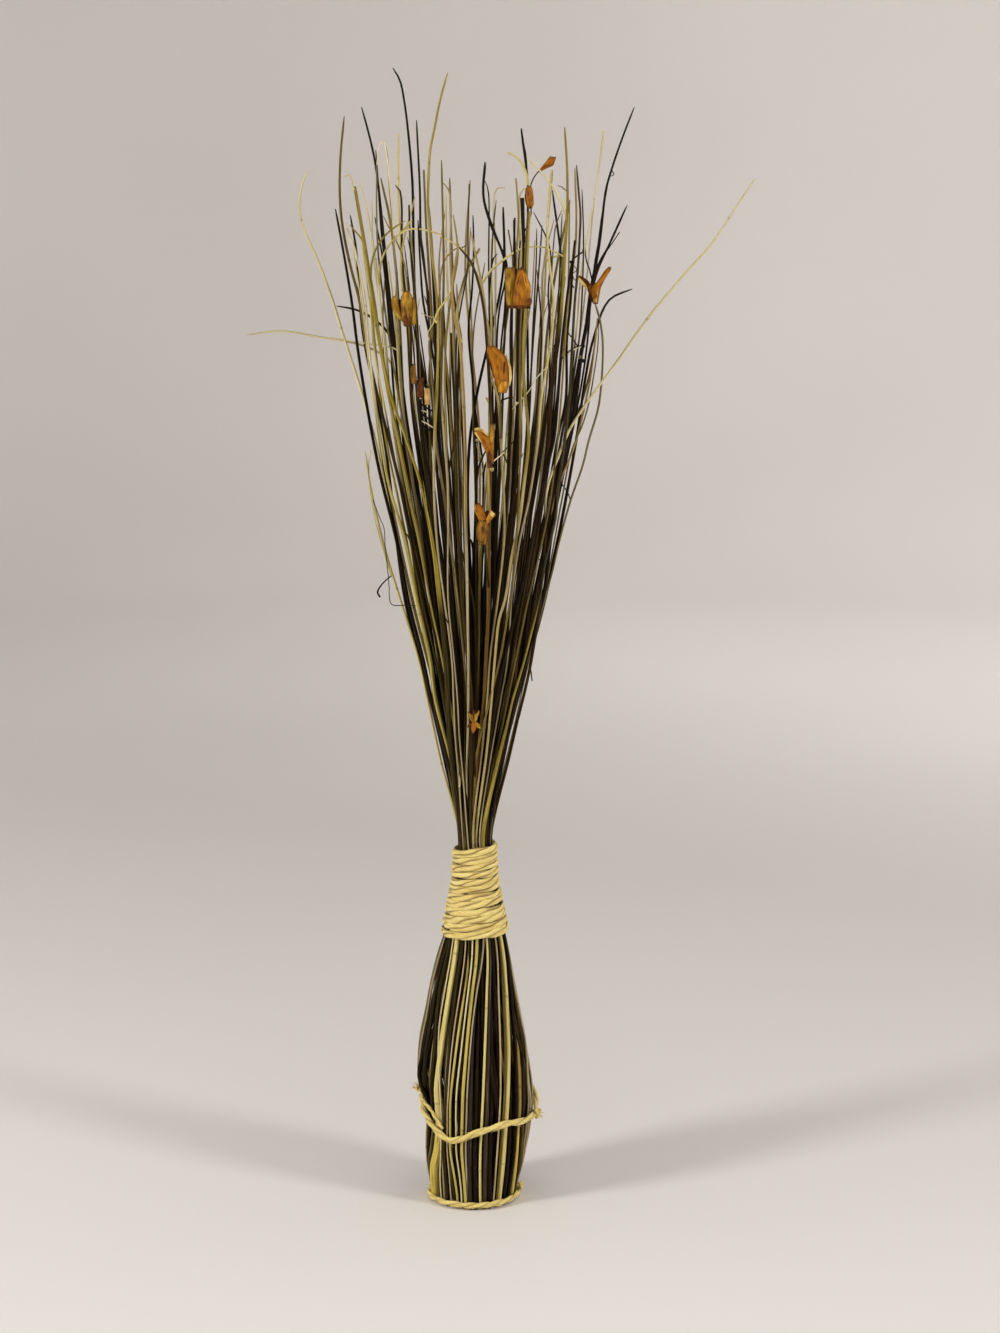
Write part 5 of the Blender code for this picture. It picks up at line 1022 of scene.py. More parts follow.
def belly_tail_points():
    """The second run's middle line, from its frayed end."""
    points = []
    for u, v in BELLY_TAIL:
        degrees, z = wrapped(u, v, GAP + BELLY_TAIL_RADIUS)
        points.append(round_bundle(math.radians(degrees), z, bundle_outside(z) + GAP + BELLY_TAIL_RADIUS + 0.0004))
    return points

# ------------------------------------------------------------------- meshing
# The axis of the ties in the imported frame: the courses below are laid out
# round it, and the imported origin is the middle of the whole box.
_low, _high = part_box("base_cord")
FOOT = Vector(((_low.x + _high.x) / 2 - along(RING_MIDDLE, BASE_CORD_HEIGHT), (_low.y + _high.y) / 2, 0.0))


def on_sheet(p):
    """Sheet (u, v) of points, given as rows."""
    s, c = math.sin(EYE_DOWN), math.cos(EYE_DOWN)
    d = np.asarray(p, float) - np.array(EYE)
    away = d[..., 1] * c - d[..., 2] * s
    return (SHEET_MID[0] + SHEET_DISTANCE * d[..., 0] / away,
            SHEET_MID[1] - SHEET_DISTANCE * (d[..., 1] * s + d[..., 2] * c) / away)


def at_depth(u, v, y):
    """Point of the sheet's (u, v) at depth y."""
    z = height_at(v, y)
    return Vector((across_at(u, y, z), y, z))


def as_rows(points):
    return np.array([tuple(p) for p in points], float)


def measured(rows):
    """Length along a line at each of its points."""
    return np.concatenate([[0.0], np.cumsum(np.linalg.norm(np.diff(rows, axis=0), axis=1))])


def placed(rows, places):
    """Points of a line at the given lengths."""
    cum = measured(rows)
    return np.stack([np.interp(places, cum, rows[:, k]) for k in range(3)], 1)


def transport(points):
    """Steady sideways pair for each point of a line."""
    tangent = np.gradient(points, axis=0)
    tangent /= np.maximum(np.linalg.norm(tangent, axis=1), 1e-12)[:, None]
    side = np.zeros_like(points)
    ref = np.array([0.0, -1.0, 0.0]) if abs(tangent[0][1]) < 0.9 else np.array([1.0, 0.0, 0.0])
    s = ref - tangent[0] * ref.dot(tangent[0])
    s /= np.linalg.norm(s)
    for i, t in enumerate(tangent):
        s = s - t * s.dot(t)
        s /= max(np.linalg.norm(s), 1e-12)
        side[i] = s
    return side, np.cross(tangent, side)


VALUES = ("joint", "up", "reach", "cut", "crest", "foot", "ply", "fibre", "hollow", "edge")


class Build:
    """Collects points, faces and point values of one mesh."""

    def __init__(self):
        self.verts, self.polys, self.rows, self.count = [], [], [], 0

    def add(self, verts, polys, **values):
        verts = np.asarray(verts, float).reshape(-1, 3)
        for block in polys:
            self.polys.append(np.asarray(block, np.int64) + self.count)
        self.verts.append(verts)
        self.rows.append((len(verts), values))
        self.count += len(verts)

    def tube(self, points, half_a, half_b=None, sides=10, frame_pair=None, ribs=0.0, rib_count=3, phase=0.0,
             level_foot=False, twist=0.0, offset=(0.0, 0.0, 0.0), foot_cap=True, end_cap=True, cut=(0.0, 0.0), **values):
        """Tube of elliptical section; its ends close in low cones."""
        points = np.asarray(points, float)
        n = len(points)
        half_a = np.broadcast_to(np.asarray(half_a, float), (n,))
        half_b = half_a if half_b is None else np.broadcast_to(np.asarray(half_b, float), (n,))
        side, up = transport(points) if frame_pair is None else frame_pair
        angle = 2 * np.pi * np.arange(sides) / sides
        swell = 1.0 + ribs * np.cos(rib_count * angle + phase)
        ca, sa = np.cos(angle) * swell, np.sin(angle) * swell
        ring = (points[:, None, :] + side[:, None, :] * (half_a[:, None] * ca)[..., None]
                + up[:, None, :] * (half_b[:, None] * sa)[..., None])
        if level_foot:
            ring[0, :, 2] = 0.0
        length = measured(points)
        i = np.arange(n - 1)[:, None] * sides
        j = np.arange(sides)[None, :]
        k = (j + 1) % sides
        quads = np.stack([i + j, i + k, i + sides + k, i + sides + j], -1).reshape(-1, 4)
        spin = angle[None, :] + twist * length[:, None]
        grain = np.stack([np.cos(spin), np.sin(spin), np.broadcast_to(length[:, None] * 100.0, spin.shape)], -1).reshape(-1, 3)
        out = {"grain": grain + np.asarray(offset, float)}
        for key, value in values.items():
            value = np.asarray(value, float)
            if value.ndim == 2:
                out[key] = value.reshape(-1)
            else:
                out[key] = np.repeat(np.broadcast_to(value, (n,)), sides)
        self.add(ring.reshape(-1, 3), [quads], **out)
        ahead = points[-1] - points[-2]
        ahead /= max(np.linalg.norm(ahead), 1e-12)
        behind = points[0] - points[1]
        behind /= max(np.linalg.norm(behind), 1e-12)
        one = np.arange(sides)
        for which, wanted in ((0, foot_cap), (-1, end_cap)):
            if not wanted:
                continue
            if which == 0:
                tip = points[0] + (behind * half_a[0] * 0.4 if not level_foot else np.array([0, 0, 0.0004]))
                if level_foot:
                    tip[2] = 0.0004
                faces = np.stack([(one + 1) % sides, one, np.full(sides, sides)], 1)
            else:
                tip = points[-1] + ahead * half_a[-1] * 0.5
                faces = np.stack([one, (one + 1) % sides, np.full(sides, sides)], 1)
            rows = {key: np.full(sides + 1, value.reshape(n, sides)[which].mean()) for key, value in out.items() if key != "grain"}
            rows["cut"] = np.full(sides + 1, cut[which])
            core = np.vstack([np.stack([np.cos(angle), np.sin(angle), np.zeros(sides)], 1), np.zeros((1, 3))])
            rows["grain"] = core + np.asarray(offset, float) + 7.0
            self.add(np.vstack([ring[which], tip[None]]), [faces], **rows)

    def piece(self, name, smooth=True):
        """Makes the object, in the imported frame."""
        verts = np.concatenate(self.verts) + np.array(FOOT)
        mesh = bpy.data.meshes.new(name)
        mesh.vertices.add(len(verts))
        mesh.vertices.foreach_set("co", verts.astype(np.float32).ravel())
        loops = np.concatenate([p.ravel() for p in self.polys])
        sizes = np.concatenate([np.full(len(p), p.shape[1]) for p in self.polys])
        mesh.loops.add(len(loops))
        mesh.loops.foreach_set("vertex_index", loops.astype(np.int32))
        mesh.polygons.add(len(sizes))
        mesh.polygons.foreach_set("loop_start", np.concatenate([[0], np.cumsum(sizes)[:-1]]).astype(np.int32))
        mesh.update(calc_edges=True)
        grain = np.concatenate([row.get("grain", np.zeros((n, 3))) for n, row in self.rows])
        attribute = mesh.attributes.new("grain", "FLOAT_VECTOR", "POINT")
        attribute.data.foreach_set("vector", grain.astype(np.float32).ravel())
        for key in VALUES:
            if any(key in row for _, row in self.rows):
                data = np.concatenate([np.broadcast_to(row.get(key, 0.0), (n,)) for n, row in self.rows])
                attribute = mesh.attributes.new(key, "FLOAT", "POINT")
                attribute.data.foreach_set("value", data.astype(np.float32))
        mesh.validate()
        if smooth:
            mesh.shade_smooth()
        obj = bpy.data.objects.new(name, mesh)
        bpy.context.scene.collection.objects.link(obj)
        return obj


def wobble(rng, length, size, waves=(0.5, 1.3, 2.9, 5.1)):
    """A smooth random function of a length."""
    parts = [(size * rng.uniform(0.4, 1.0) / (1 + k), w * 2 * math.pi / length, rng.uniform(0, 6.283))
             for k, w in enumerate(waves)]
    return lambda s: sum(a * np.sin(f * np.asarray(s) + p) for a, f, p in parts)


def reed_mesh(name, rows, radii, seed, sides=10, tip="fine", bends=0.0011, crest=2.0):
    """A smooth tapered reed with slight ribs and joints."""
    rng = np.random.default_rng(seed)
    cum = measured(rows)
    total = cum[-1]
    places = list(np.arange(0.0, total, 0.0062)) + [total]
    nodes = []
    s = rng.uniform(0.03, 0.12)
    while s < total - 0.03:
        nodes.append(s)
        places += [s - 0.0030, s - 0.0014, s - 0.0004, s + 0.0005, s + 0.0018]
        s += rng.uniform(0.075, 0.165)
    places = np.array(sorted(p for p in places if 0.0 <= p <= total))
    places = places[np.concatenate([[True], np.diff(places) > 0.00025])]
    points = placed(rows, places)
    radius = np.interp(places, cum, radii)
    joint = np.zeros(len(places))
    for s in nodes:
        d = places - s
        joint = np.maximum(joint, np.exp(-(d / 0.0011) ** 2))
        radius = radius * (1.0 + 0.07 * np.exp(-(d / 0.0013) ** 2) - 0.03 * np.exp(-((d + 0.0032) / 0.0012) ** 2))
    radius = radius * (1.0 + wobble(rng, max(total, 0.2), 0.030)(places))
    if tip == "fine":
        radius = radius * (0.45 + 0.55 * np.clip((total - places) / 0.010, 0.0, 1.0) ** 0.6)
    # slow bends of a dried reed, none at the foot or in the ties
    free = np.clip((points[:, 2] - 0.37) / 0.12, 0.0, 1.0)
    points[:, 0] += wobble(rng, 0.9, bends)(places) * free
    points[:, 1] += wobble(rng, 0.8, bends)(places) * free
    build = Build()
    build.tube(points, radius, sides=sides, ribs=0.045, rib_count=int(rng.integers(3, 6)), phase=rng.uniform(0, 6.283),
               level_foot=rows[0][2] < 0.001, offset=tuple(rng.uniform(0, 90, 3)), joint=joint,
               up=np.clip((points[:, 2] - 0.29) / 0.01, 0.0, 1.0), reach=places / total,
               crest=np.clip((points[:, 2] - crest) / 0.05 + 0.5, 0.0, 1.0), foot=np.clip((0.074 - points[:, 2]) / 0.008, 0.0, 1.0),
               cut=(1.0, 1.0 if tip == "blunt" else 0.0))
    return build.piece(name), points, radius


def rope(build, path, out, half_up, half_out, lay, seed, plies=2, sides=14, start_phase=0.0, spread=0.36, turn_contact_shade=0.0,
         groove=1.0, loose=1.0):
    """Twisted plies along a path; out points away from the bundle. The flank value is how much painted shade darkens
    the cord where its turns touch, groove the same painted shade between its plies, and loose how unevenly they are
    twisted."""
    rng = np.random.default_rng(seed)
    path = np.asarray(path, float)
    tangent = np.gradient(path, axis=0)
    tangent /= np.linalg.norm(tangent, axis=1)[:, None]
    out = out - tangent * np.sum(out * tangent, axis=1)[:, None]
    out /= np.linalg.norm(out, axis=1)[:, None]
    up = np.cross(tangent, out)
    s = measured(path)
    half_up = np.broadcast_to(np.asarray(half_up, float), s.shape)
    half_out = np.broadcast_to(np.asarray(half_out, float), s.shape)
    slip = wobble(rng, 0.13, 0.5 * loose)
    uneven = np.clip(0.72 + wobble(rng, 0.06, 0.6)(s), 0.15, 1.0)
    phase = 2 * np.pi * s / lay + start_phase + slip(s)
    for k in range(plies):
        a = phase + 2 * np.pi * k / plies
        thick = 1.0 + wobble(rng, 0.05, 0.07 * loose)(s)
        share = spread if plies > 1 else 0.0
        centre = path + up * (np.cos(a) * half_up * share)[:, None] + out * (np.sin(a) * half_out * share)[:, None]
        size = 1.04 - spread if plies > 1 else 1.0
        r_up, r_out = half_up * size * thick, half_out * size * thick
        t = np.gradient(centre, axis=0)
        t /= np.linalg.norm(t, axis=1)[:, None]
        o = out - t * np.sum(out * t, axis=1)[:, None]
        o /= np.linalg.norm(o, axis=1)[:, None]
        w = np.cross(t, o)
        angle = 2 * np.pi * np.arange(sides) / sides
        reach_up = np.cos(a)[:, None] * share + np.sin(angle)[None, :] * size
        reach_out = np.sin(a)[:, None] * share + np.cos(angle)[None, :] * size
        far = np.sqrt(reach_up ** 2 + reach_out ** 2)
        # painted shade: darker towards the cord's middle between its plies, and on its upper and lower sides where its
        # turns touch
        hollow = groove * (1.0 - np.clip((far - 0.56) / 0.38, 0.0, 1.0)) * (0.55 + 0.45 * uneven[:, None])
        hollow = np.maximum(hollow, turn_contact_shade * uneven[:, None] * np.clip((np.abs(reach_up) - 0.68) / 0.26, 0.0, 1.0))
        build.tube(centre, r_out, r_up, sides=sides, frame_pair=(o, w), ribs=0.05, rib_count=5,
                   phase=rng.uniform(0, 6.28), twist=-2 * np.pi / (lay * 0.6), offset=tuple(rng.uniform(0, 50, 3)),
                   ply=float(k), fibre=0.0, hollow=hollow)


def fibres(build, path, out, half_up, half_out, count, seed, reach=0.006):
    """Loose fibres that stand a little off a cord."""
    rng = np.random.default_rng(seed)
    tangent = np.gradient(path, axis=0)
    tangent /= np.linalg.norm(tangent, axis=1)[:, None]
    up = np.cross(tangent, out)
    half_up = np.broadcast_to(np.asarray(half_up, float), (len(path),))
    half_out = np.broadcast_to(np.asarray(half_out, float), (len(path),))
    for _ in range(count):
        i = int(rng.integers(2, len(path) - 3))
        a = rng.uniform(-2.0, 2.0)
        root = path[i] + out[i] * (math.cos(a) * half_out[i] * 0.85) + up[i] * (math.sin(a) * half_up[i] * 0.85)
        away = out[i] * math.cos(a) + up[i] * math.sin(a)
        run = tangent[i] * rng.choice((-1, 1))
        length = reach * rng.uniform(0.35, 1.0)
        lift = rng.uniform(0.03, 0.30)
        t = np.linspace(0, 1, 5)[:, None]
        line = root + run * (t * length) + away * (lift * length * t ** 1.6) + up[i] * (rng.uniform(-0.25, 0.25) * length * t ** 2)
        build.tube(line, np.linspace(0.00014, 0.00006, 5), sides=3, offset=tuple(rng.uniform(0, 50, 3)),
                   ply=rng.uniform(), fibre=1.0, hollow=0.0)

# --------------------------------------------------------------------- reeds
def faceted_line(node):
    """Middle line of a faceted reed node, ring by ring from the floor."""
    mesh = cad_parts[node].data
    co = np.empty(len(mesh.vertices) * 3)
    mesh.vertices.foreach_get("co", co)
    co = co.reshape(-1, 3)
    keys, index = np.unique(np.round(co, 6), axis=0, return_inverse=True)
    index = index.ravel()
    edges = np.empty(len(mesh.edges) * 2, np.int64)
    mesh.edges.foreach_get("vertices", edges)
    edges = index[edges.reshape(-1, 2)]
    near = [set() for _ in keys]
    for a, b in edges:
        if a != b:
            near[a].add(b)
            near[b].add(a)
    layer = {i for i in range(len(keys)) if keys[i][2] < 1e-4}
    seen, rings = set(layer), [layer]
    while True:
        layer = {b for a in rings[-1] for b in near[a]} - seen
        if not layer:
            break
        seen |= layer
        rings.append(layer)
    return np.array([keys[list(ring)].mean(axis=0) for ring in rings]) - np.array(FOOT)


def follow(course, before, after):
    """A smooth course moved to where its stations were spaced out to."""
    rows = as_rows(course)
    cum = measured(rows)
    where = []
    for p in before:
        where.append(cum[int(np.argmin(np.linalg.norm(rows - p, axis=1)))])
    where = np.maximum.accumulate(np.array(where) + np.arange(len(where)) * 1e-7)
    move = after - before
    shift = np.stack([np.interp(cum, where, move[:, k]) for k in range(3)], 1)
    window = 9
    kernel = np.hanning(window + 2)[1:-1]
    kernel /= kernel.sum()
    wide = np.concatenate([np.repeat(shift[:1], window // 2, 0), shift, np.repeat(shift[-1:], window // 2, 0)])
    shift = np.stack([np.convolve(wide[:, k], kernel, "valid") for k in range(3)], 1)
    rows = rows + shift
    rows[:, 2] = np.maximum(rows[:, 2], 0.0)
    rows[0, 2] = 0.0
    return rows


def course_radii(name, rows, belly, low_tone, high_tone):
    """Radius of a reed along its line. Some tones are slimmer reeds."""
    z = rows[:, 2]
    cum = measured(rows)
    crown_at = cum[int(np.argmax(z > 0.340))]
    tip = np.clip((cum - crown_at) / max(cum[-1] - crown_at, 1e-6), 0.0, 1.0)
    body = np.interp(z, (0.0, 0.12, 0.25, 0.34, 0.56, 1.1), (1.0, 1.0, 0.90, 0.86, 0.84, 0.84))
    taper = np.interp(tip, (0.0, 0.55, 0.85, 1.0), (1.0, 0.96, 0.86, 0.66))
    below, above = SLIM_LOW.get(low_tone, 1.0), SLIM.get(high_tone, 1.0)
    slim = np.interp(z, (0.0, 0.28, 0.34, 0.50, 0.64), (below, below, above, above, 0.90))
    if high_tone in ("dark", "brown"):
        slim = slim * np.interp(z, (0.60, 0.80, 1.0), (1.0, 0.93, 0.86))
    if name in BROADER:
        slim = slim * np.interp(z, *zip(*BROADER[name]))
    if name.startswith("reed_fill"):
        slim = slim * np.interp(z, (0.05, 0.10, 0.22, 0.25), (1.0, 1.16, 1.16, 1.0))
    return belly * body * taper * slim


def outline(v):
    rows = np.array(OUTLINE, float)
    return float(np.interp(v, rows[:, 0], rows[:, 1])), float(np.interp(v, rows[:, 0], rows[:, 2]))


def belly_share(z):
    """One in the belly, none at the foot and in the neck."""
    return float(np.interp(z, (0.0, 0.06, 0.115, 0.215, 0.25), (0.2, 0.8, 1.0, 0.85, 0.0)))


def extra_courses():
    """The thinner reeds as (name, low tone, high tone, radius, course)."""
    out = []
    for name, low_tone, high_tone, radius, low, high, forward in THIN:
        table = []
        for u, v in drawn_rows(list(low)):
            p = on_spray(u, v, 1.0)
            r = along(RING, p.z)
            table.append((p.z, math.asin(max(-0.999, min(0.999, (p.x - along(RING_MIDDLE, p.z)) / r)))))
        top = on_spray(high[0][1], high[0][0], max(forward, 0.3))
        table.append((0.340, math.asin(max(-0.97, min(0.97, top.x / along(RING, 0.34))))))
        table.sort()
        points = low_course(table, -0.0010)
        points += [p for p in (on_spray(u, v, forward) for v, u in high) if p.z > 0.385]
        out.append((name, low_tone, high_tone, radius / 1000.0, smooth_course(points)))
    rng = np.random.default_rng(20)
    for index, (name, tone, radius, degrees, high, forward) in enumerate(TRACED):
        a = math.radians(degrees) * 0.9
        deep = 0.55 + 0.30 * (index % 3) / 2
        points = [ring_point(steady(a, z), z, along(RING, z) * (1 - deep) + 0.001) for z in LOW_STATIONS]
        points += [p for p in (on_spray(u, v, forward) for v, u in high) if p.z > 0.40]
        out.append((name, tone, tone, 1.2 * radius / 1000.0, smooth_course(points)))
    for index in range(FILL_COUNT):
        turn = math.radians(137.508 * index + 40.0)
        deep = math.sqrt((index + 0.7) / FILL_COUNT)
        rr = 0.16 + 0.70 * deep
        f, ahead = rr * math.sin(turn), rr * math.cos(turn)
        deep_belly = 0.97 / rr if abs(math.sin(turn)) > 0.72 and rr > 0.5 else 0.93 / rr if rr > 0.62 else 0.88
        points = [ring_point(steady(turn, z), z, along(RING, z) * (1 - rr * (0.88 + (deep_belly - 0.88) * belly_share(z))) + 0.001)
                  for z in LOW_STATIONS]
        pick = rng.uniform()
        v_tip = rng.uniform(178, 310) if pick < 0.55 else rng.uniform(310, 440) if pick < 0.76 else rng.uniform(440, 560)
        wave = [(rng.uniform(-1, 1), rng.uniform(0, 6.28)) for _ in range(2)]
        v = 680.0
        while v > v_tip:
            middle, half = outline(v)
            grow = (680.0 - v) / 480.0
            sway = sum(w * math.sin(grow * 2.6 + q) for w, q in wave) * 5.0 * grow
            points.append(on_spray(middle + f * half * (1.0 + 0.10 * wave[0][0] * grow) + sway, v, ahead * (0.85 + 0.2 * wave[1][0])))
            v -= 70.0
        middle, half = outline(v_tip)
        hook = rng.choice((0.0, 0.0, 1.0, -1.0)) * rng.uniform(3, 13)
        points.append(on_spray(middle + f * half * 1.03 + hook, v_tip, ahead * 0.9))
        tone = FILL_TONES[int(rng.integers(len(FILL_TONES)))]
        if v_tip > 440:
            tone = ("dark", "brown", "dark", "olivedark")[index % 4]
        if v_tip < 335 and index % 9 in (0, 2, 4, 7):
            TOP_TONE[f"reed_fill_{index + 1:02d}"] = (("straw", "sand", "pale", "greyolive", "tan")[index % 5], 0.735 + 0.01 * (index % 5))
        out.append((f"reed_fill_{index + 1:02d}", tone, tone, rng.uniform(1.1, 1.75) / 1000.0, smooth_course(points)))
    return out


REED_LINES = {}  # name: (points, radius), in the courses' own frame
courses = reed_courses()
bars = []
for name, tone, belly, course in courses:
    after = faceted_line(name)
    before, radii = stations_of(course, belly)
    if len(after) != len(before):
        raise RuntimeError(f"{name}: {len(after)} rings, {len(before)} stations")
    for p, q, r, t in zip(after, after[1:], radii, radii[1:]):
        bars.append((tuple(p), tuple(q), 0.5 * (r + t)))
    rows = follow(course, before, after)
    seed = 100 + len(REED_LINES)
    tip = "blunt" if name in BLUNT else "fine"
    low_tone, high_tone = LOW_TONE.get(name, tone), HIGH_TONE.get(name, tone)
    radii = course_radii(name, rows, belly, low_tone if name != "reed_broad_straw" else "dark", high_tone)
    piece, points, radius = reed_mesh("look_" + name, rows, radii, seed, tip=tip, bends=0.0006,
                                      crest=TOP_TONE.get(name, ("", 2.0))[1])
    REED_LINES[name] = (points, radius)
    piece.data.materials.append(reed_material(low_tone, high_tone, TOP_TONE.get(name, (None,))[0], FOOT_TONE.get(name)))
    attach(piece, "root")
    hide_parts(name)

extras = extra_courses()
chains = [stations_of(course, belly) for _, _, _, belly, course in extras]
spaced = settle(chains, bars, rounds=160)
for (name, low_tone, high_tone, belly, course), (before, _), (after, _) in zip(extras, chains, spaced):
    # a reed gives way by a few millimetres at most above the ties
    far = np.linalg.norm(after - before, axis=1)
    most = np.where(before[:, 2] > 0.345, 0.0030, 0.0080)
    after = before + (after - before) * np.minimum(1.0, most / np.maximum(far, 1e-9))[:, None]
    rows = follow(course, before, after)
    seed = 300 + len(REED_LINES)
    piece, points, radius = reed_mesh(name, rows, course_radii(name, rows, belly, low_tone, high_tone), seed, sides=8,
                                      tip="blunt" if name in BLUNT else "fine", crest=TOP_TONE.get(name, ("", 2.0))[1])
    REED_LINES[name] = (points, radius)
    piece.data.materials.append(reed_material(low_tone, high_tone, TOP_TONE.get(name, (None,))[0]))
    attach(piece, "root")

# --------------------------------------------------------------------- cords
SNUG = {}
SNUG_ANGLES = np.radians(np.arange(0.0, 360.0, 3.0))


def snug(azimuth, z):
    """Reach from the bundle's middle of a line pulled tight round the reeds."""
    key = round(float(z) * 1000)
    if key not in SNUG:
        spots = []
        for points, radius in REED_LINES.values():
            low = points[:, 2] < 0.36
            n = len(low) if low.all() else int(np.argmin(low))
            spots.append([np.interp(key / 1000, points[:n, 2], column[:n]) for column in (points[:, 0], points[:, 1], radius)])
        x, y, r = np.array(spots).T
        x = x - along(RING_MIDDLE, key / 1000)
        far = np.array([np.max(x * math.sin(a) - y * math.cos(a) + r) for a in SNUG_ANGLES])
        turn = np.cos(SNUG_ANGLES[None, :] - SNUG_ANGLES[:, None])
        reach = np.min(np.where(turn > 0.2, far[None, :] / np.maximum(turn, 0.2), 9.0), axis=1)
        soft = np.convolve(np.concatenate([reach[-3:], reach, reach[:3]]), (0.05, 0.1, 0.2, 0.3, 0.2, 0.1, 0.05), "valid")
        SNUG[key] = np.maximum(soft, reach - 0.0004)
    return float(np.interp(azimuth % (2 * math.pi), SNUG_ANGLES, SNUG[key], period=2 * math.pi))


def turned(azimuths, heights, reach, tight=False):
    """Path round the bundle and its outward directions."""
    a = np.asarray(azimuths, float)
    out = np.stack([np.sin(a), -np.cos(a), np.zeros_like(a)], 1)
    r = np.array([snug(q, z) if tight else bundle_outside(z) for q, z in zip(a, heights)])
    if tight:
        r = np.convolve(np.concatenate([np.full(8, r[0]), r, np.full(8, r[-1])]), np.hanning(17) / np.hanning(17).sum(), "same")[8:-8]
    path = out * (r + reach)[:, None]
    path[:, 0] += [along(RING_MIDDLE, z) for z in heights]
    path[:, 2] = heights
    return path, out


def even(path, step):
    """Indices-free resampling of a path at an even step."""
    cum = measured(path)
    return np.linspace(0.0, cum[-1], max(8, int(cum[-1] / step)))


def outward(path):
    out = np.array(path, float)
    out[:, 2] = 0.0
    return out / np.maximum(np.linalg.norm(out, axis=1), 1e-9)[:, None]


def knot(build, centre, out, size, seed, turns=2.2, thick=0.0016):
    """A small overhand knot: a strand wound round a short core."""
    rng = np.random.default_rng(seed)
    out = np.array(out, float) / np.linalg.norm(out)
    side = np.cross(np.array([0.0, 0.0, 1.0]), out)
    up = np.cross(out, side)
    t = np.linspace(0.0, 1.0, 110)
    a = t * 2 * np.pi * turns + rng.uniform(0, 6.28)
    swing = 1.0 + 0.22 * np.sin(3.1 * a / turns + rng.uniform(0, 6.28))
    line = (np.asarray(centre, float) + side[None] * (np.cos(a) * size * swing)[:, None]
            + up[None] * (np.sin(a) * size * 1.15 * swing)[:, None]
            + out[None] * ((0.35 + 0.5 * np.sin(2 * a + 0.8)) * size)[:, None])
    rope(build, line, np.broadcast_to(out, line.shape) * 1.0, thick, thick, 0.011, seed, plies=2, sides=10)


# cord colours: painted shade, body, painted light, and the painted groove shade that the flecks share
CORD = cord_material("cord_straw", (160, 124, 46), (222, 198, 108), (248, 236, 166), (96, 68, 18))
NECK = cord_material("neck_cord_straw", (160, 122, 44), (228, 203, 112), (250, 240, 176), (106, 74, 20))

# the neck cord, wound up the neck in uneven turns
coil = as_rows(neck_turns())
coil_angles = np.unwrap(np.arctan2(coil[:, 0], -coil[:, 1]))
rng = np.random.default_rng(7)
slide = wobble(rng, 2 * math.pi * 0.9, 0.00090)
dense_angles = np.linspace(coil_angles[0], coil_angles[-1], 1500)
heights = np.interp(dense_angles, coil_angles, coil[:, 2])
lift = slide(dense_angles) + 0.0004 * np.sin(dense_angles * 2.0 + 0.6)
path, out = turned(dense_angles, heights, GAP + 0.0014)
path[:, 2] += lift
places = even(path, 0.00125)
path = placed(path, places)
out = outward(path)
swelling = wobble(rng, 0.075, 0.12)(measured(path))
build = Build()
rope(build, path, out, 0.00385 * (1 + swelling), 0.00240, 0.0720, 71, plies=3, sides=12, start_phase=0.4, spread=0.50,
     turn_contact_shade=0.95, groove=1.0, loose=2.0)
fibres(build, path, out, 0.0032, 0.0022, 420, 72, reach=0.0060)
# the upper end is tucked under the last turn at the back, the lower one too
piece = build.piece("neck_cord_wound")
piece.data.materials.append(NECK)
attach(piece, "root")
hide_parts("neck_cord")

# the belly cord, once round from the knot at the right


def laid(u, v, reach):
    """Azimuth and height of the sheet's (u, v) on the tight line."""
    y = -0.05
    for _ in range(16):
        z = height_at(v, y)
        x = across_at(u, y, z) - along(RING_MIDDLE, z)
        r = snug(math.atan2(x, -y), z) + reach
        x = max(-0.999 * r, min(0.999 * r, x))
        y = 0.3 * y - 0.7 * math.sqrt(r * r - x * x)
    return math.atan2(x, -y), z


table = sorted([laid(u, v, 0.0027) for u, v in BELLY_FRONT] + [(math.radians(a), z) for a, z in BELLY_BACK])
table = [row for k, row in enumerate(table) if k == 0 or row[0] > table[k - 1][0] + 1e-4]
dense_angles = np.linspace(table[0][0], table[0][0] + 2 * math.pi, 900)
heights = np.interp(dense_angles, [row[0] for row in table], [row[1] for row in table], period=2 * math.pi)
heights = np.convolve(np.concatenate([heights[-30:-1], heights, heights[1:30]]), np.hanning(13) / np.hanning(13).sum(), "same")[29:-29]
path, out = turned(dense_angles, heights, 0.0027, True)
path = placed(path, even(path, 0.00125))
out = outward(path)
build = Build()
rope(build, path, out, 0.00305, 0.0026, 0.0400, 81, sides=14, spread=0.34, groove=0.7)
fibres(build, path, out, 0.0035, 0.0032, 110, 82, reach=0.008)
# knot and frayed end at the right
azimuth, z = laid(536.0, 1112.5, 0.0040)
r = snug(azimuth, z) + 0.0040
centre = (along(RING_MIDDLE, z) + r * math.sin(azimuth), -r * math.cos(azimuth), z)
knot(build, centre, (math.sin(azimuth), -math.cos(azimuth), 0.0), 0.0029, 83, turns=2.4, thick=0.0017)
for k in range(16):
    q = np.random.default_rng(840 + k)
    t = np.linspace(0, 1, 6)[:, None]
    away = np.array([math.sin(azimuth) + q.uniform(-0.5, 0.5), -math.cos(azimuth) + q.uniform(-0.6, 0.3), q.uniform(-0.9, 0.8)])
    away /= np.linalg.norm(away)
    bow = q.uniform(-0.4, 0.4, 3)
    root = np.array(centre) + away * 0.0018
    line = root + away * t * q.uniform(0.0035, 0.0075) + bow * 0.004 * t ** 2
    build.tube(line, np.linspace(0.00022, 0.00008, 6), sides=4, offset=tuple(q.uniform(0, 50, 3)), ply=0.5, fibre=1.0, hollow=0.0)
piece = build.piece("belly_cord_twisted")
piece.data.materials.append(CORD)
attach(piece, "root")
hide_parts("belly_cord")

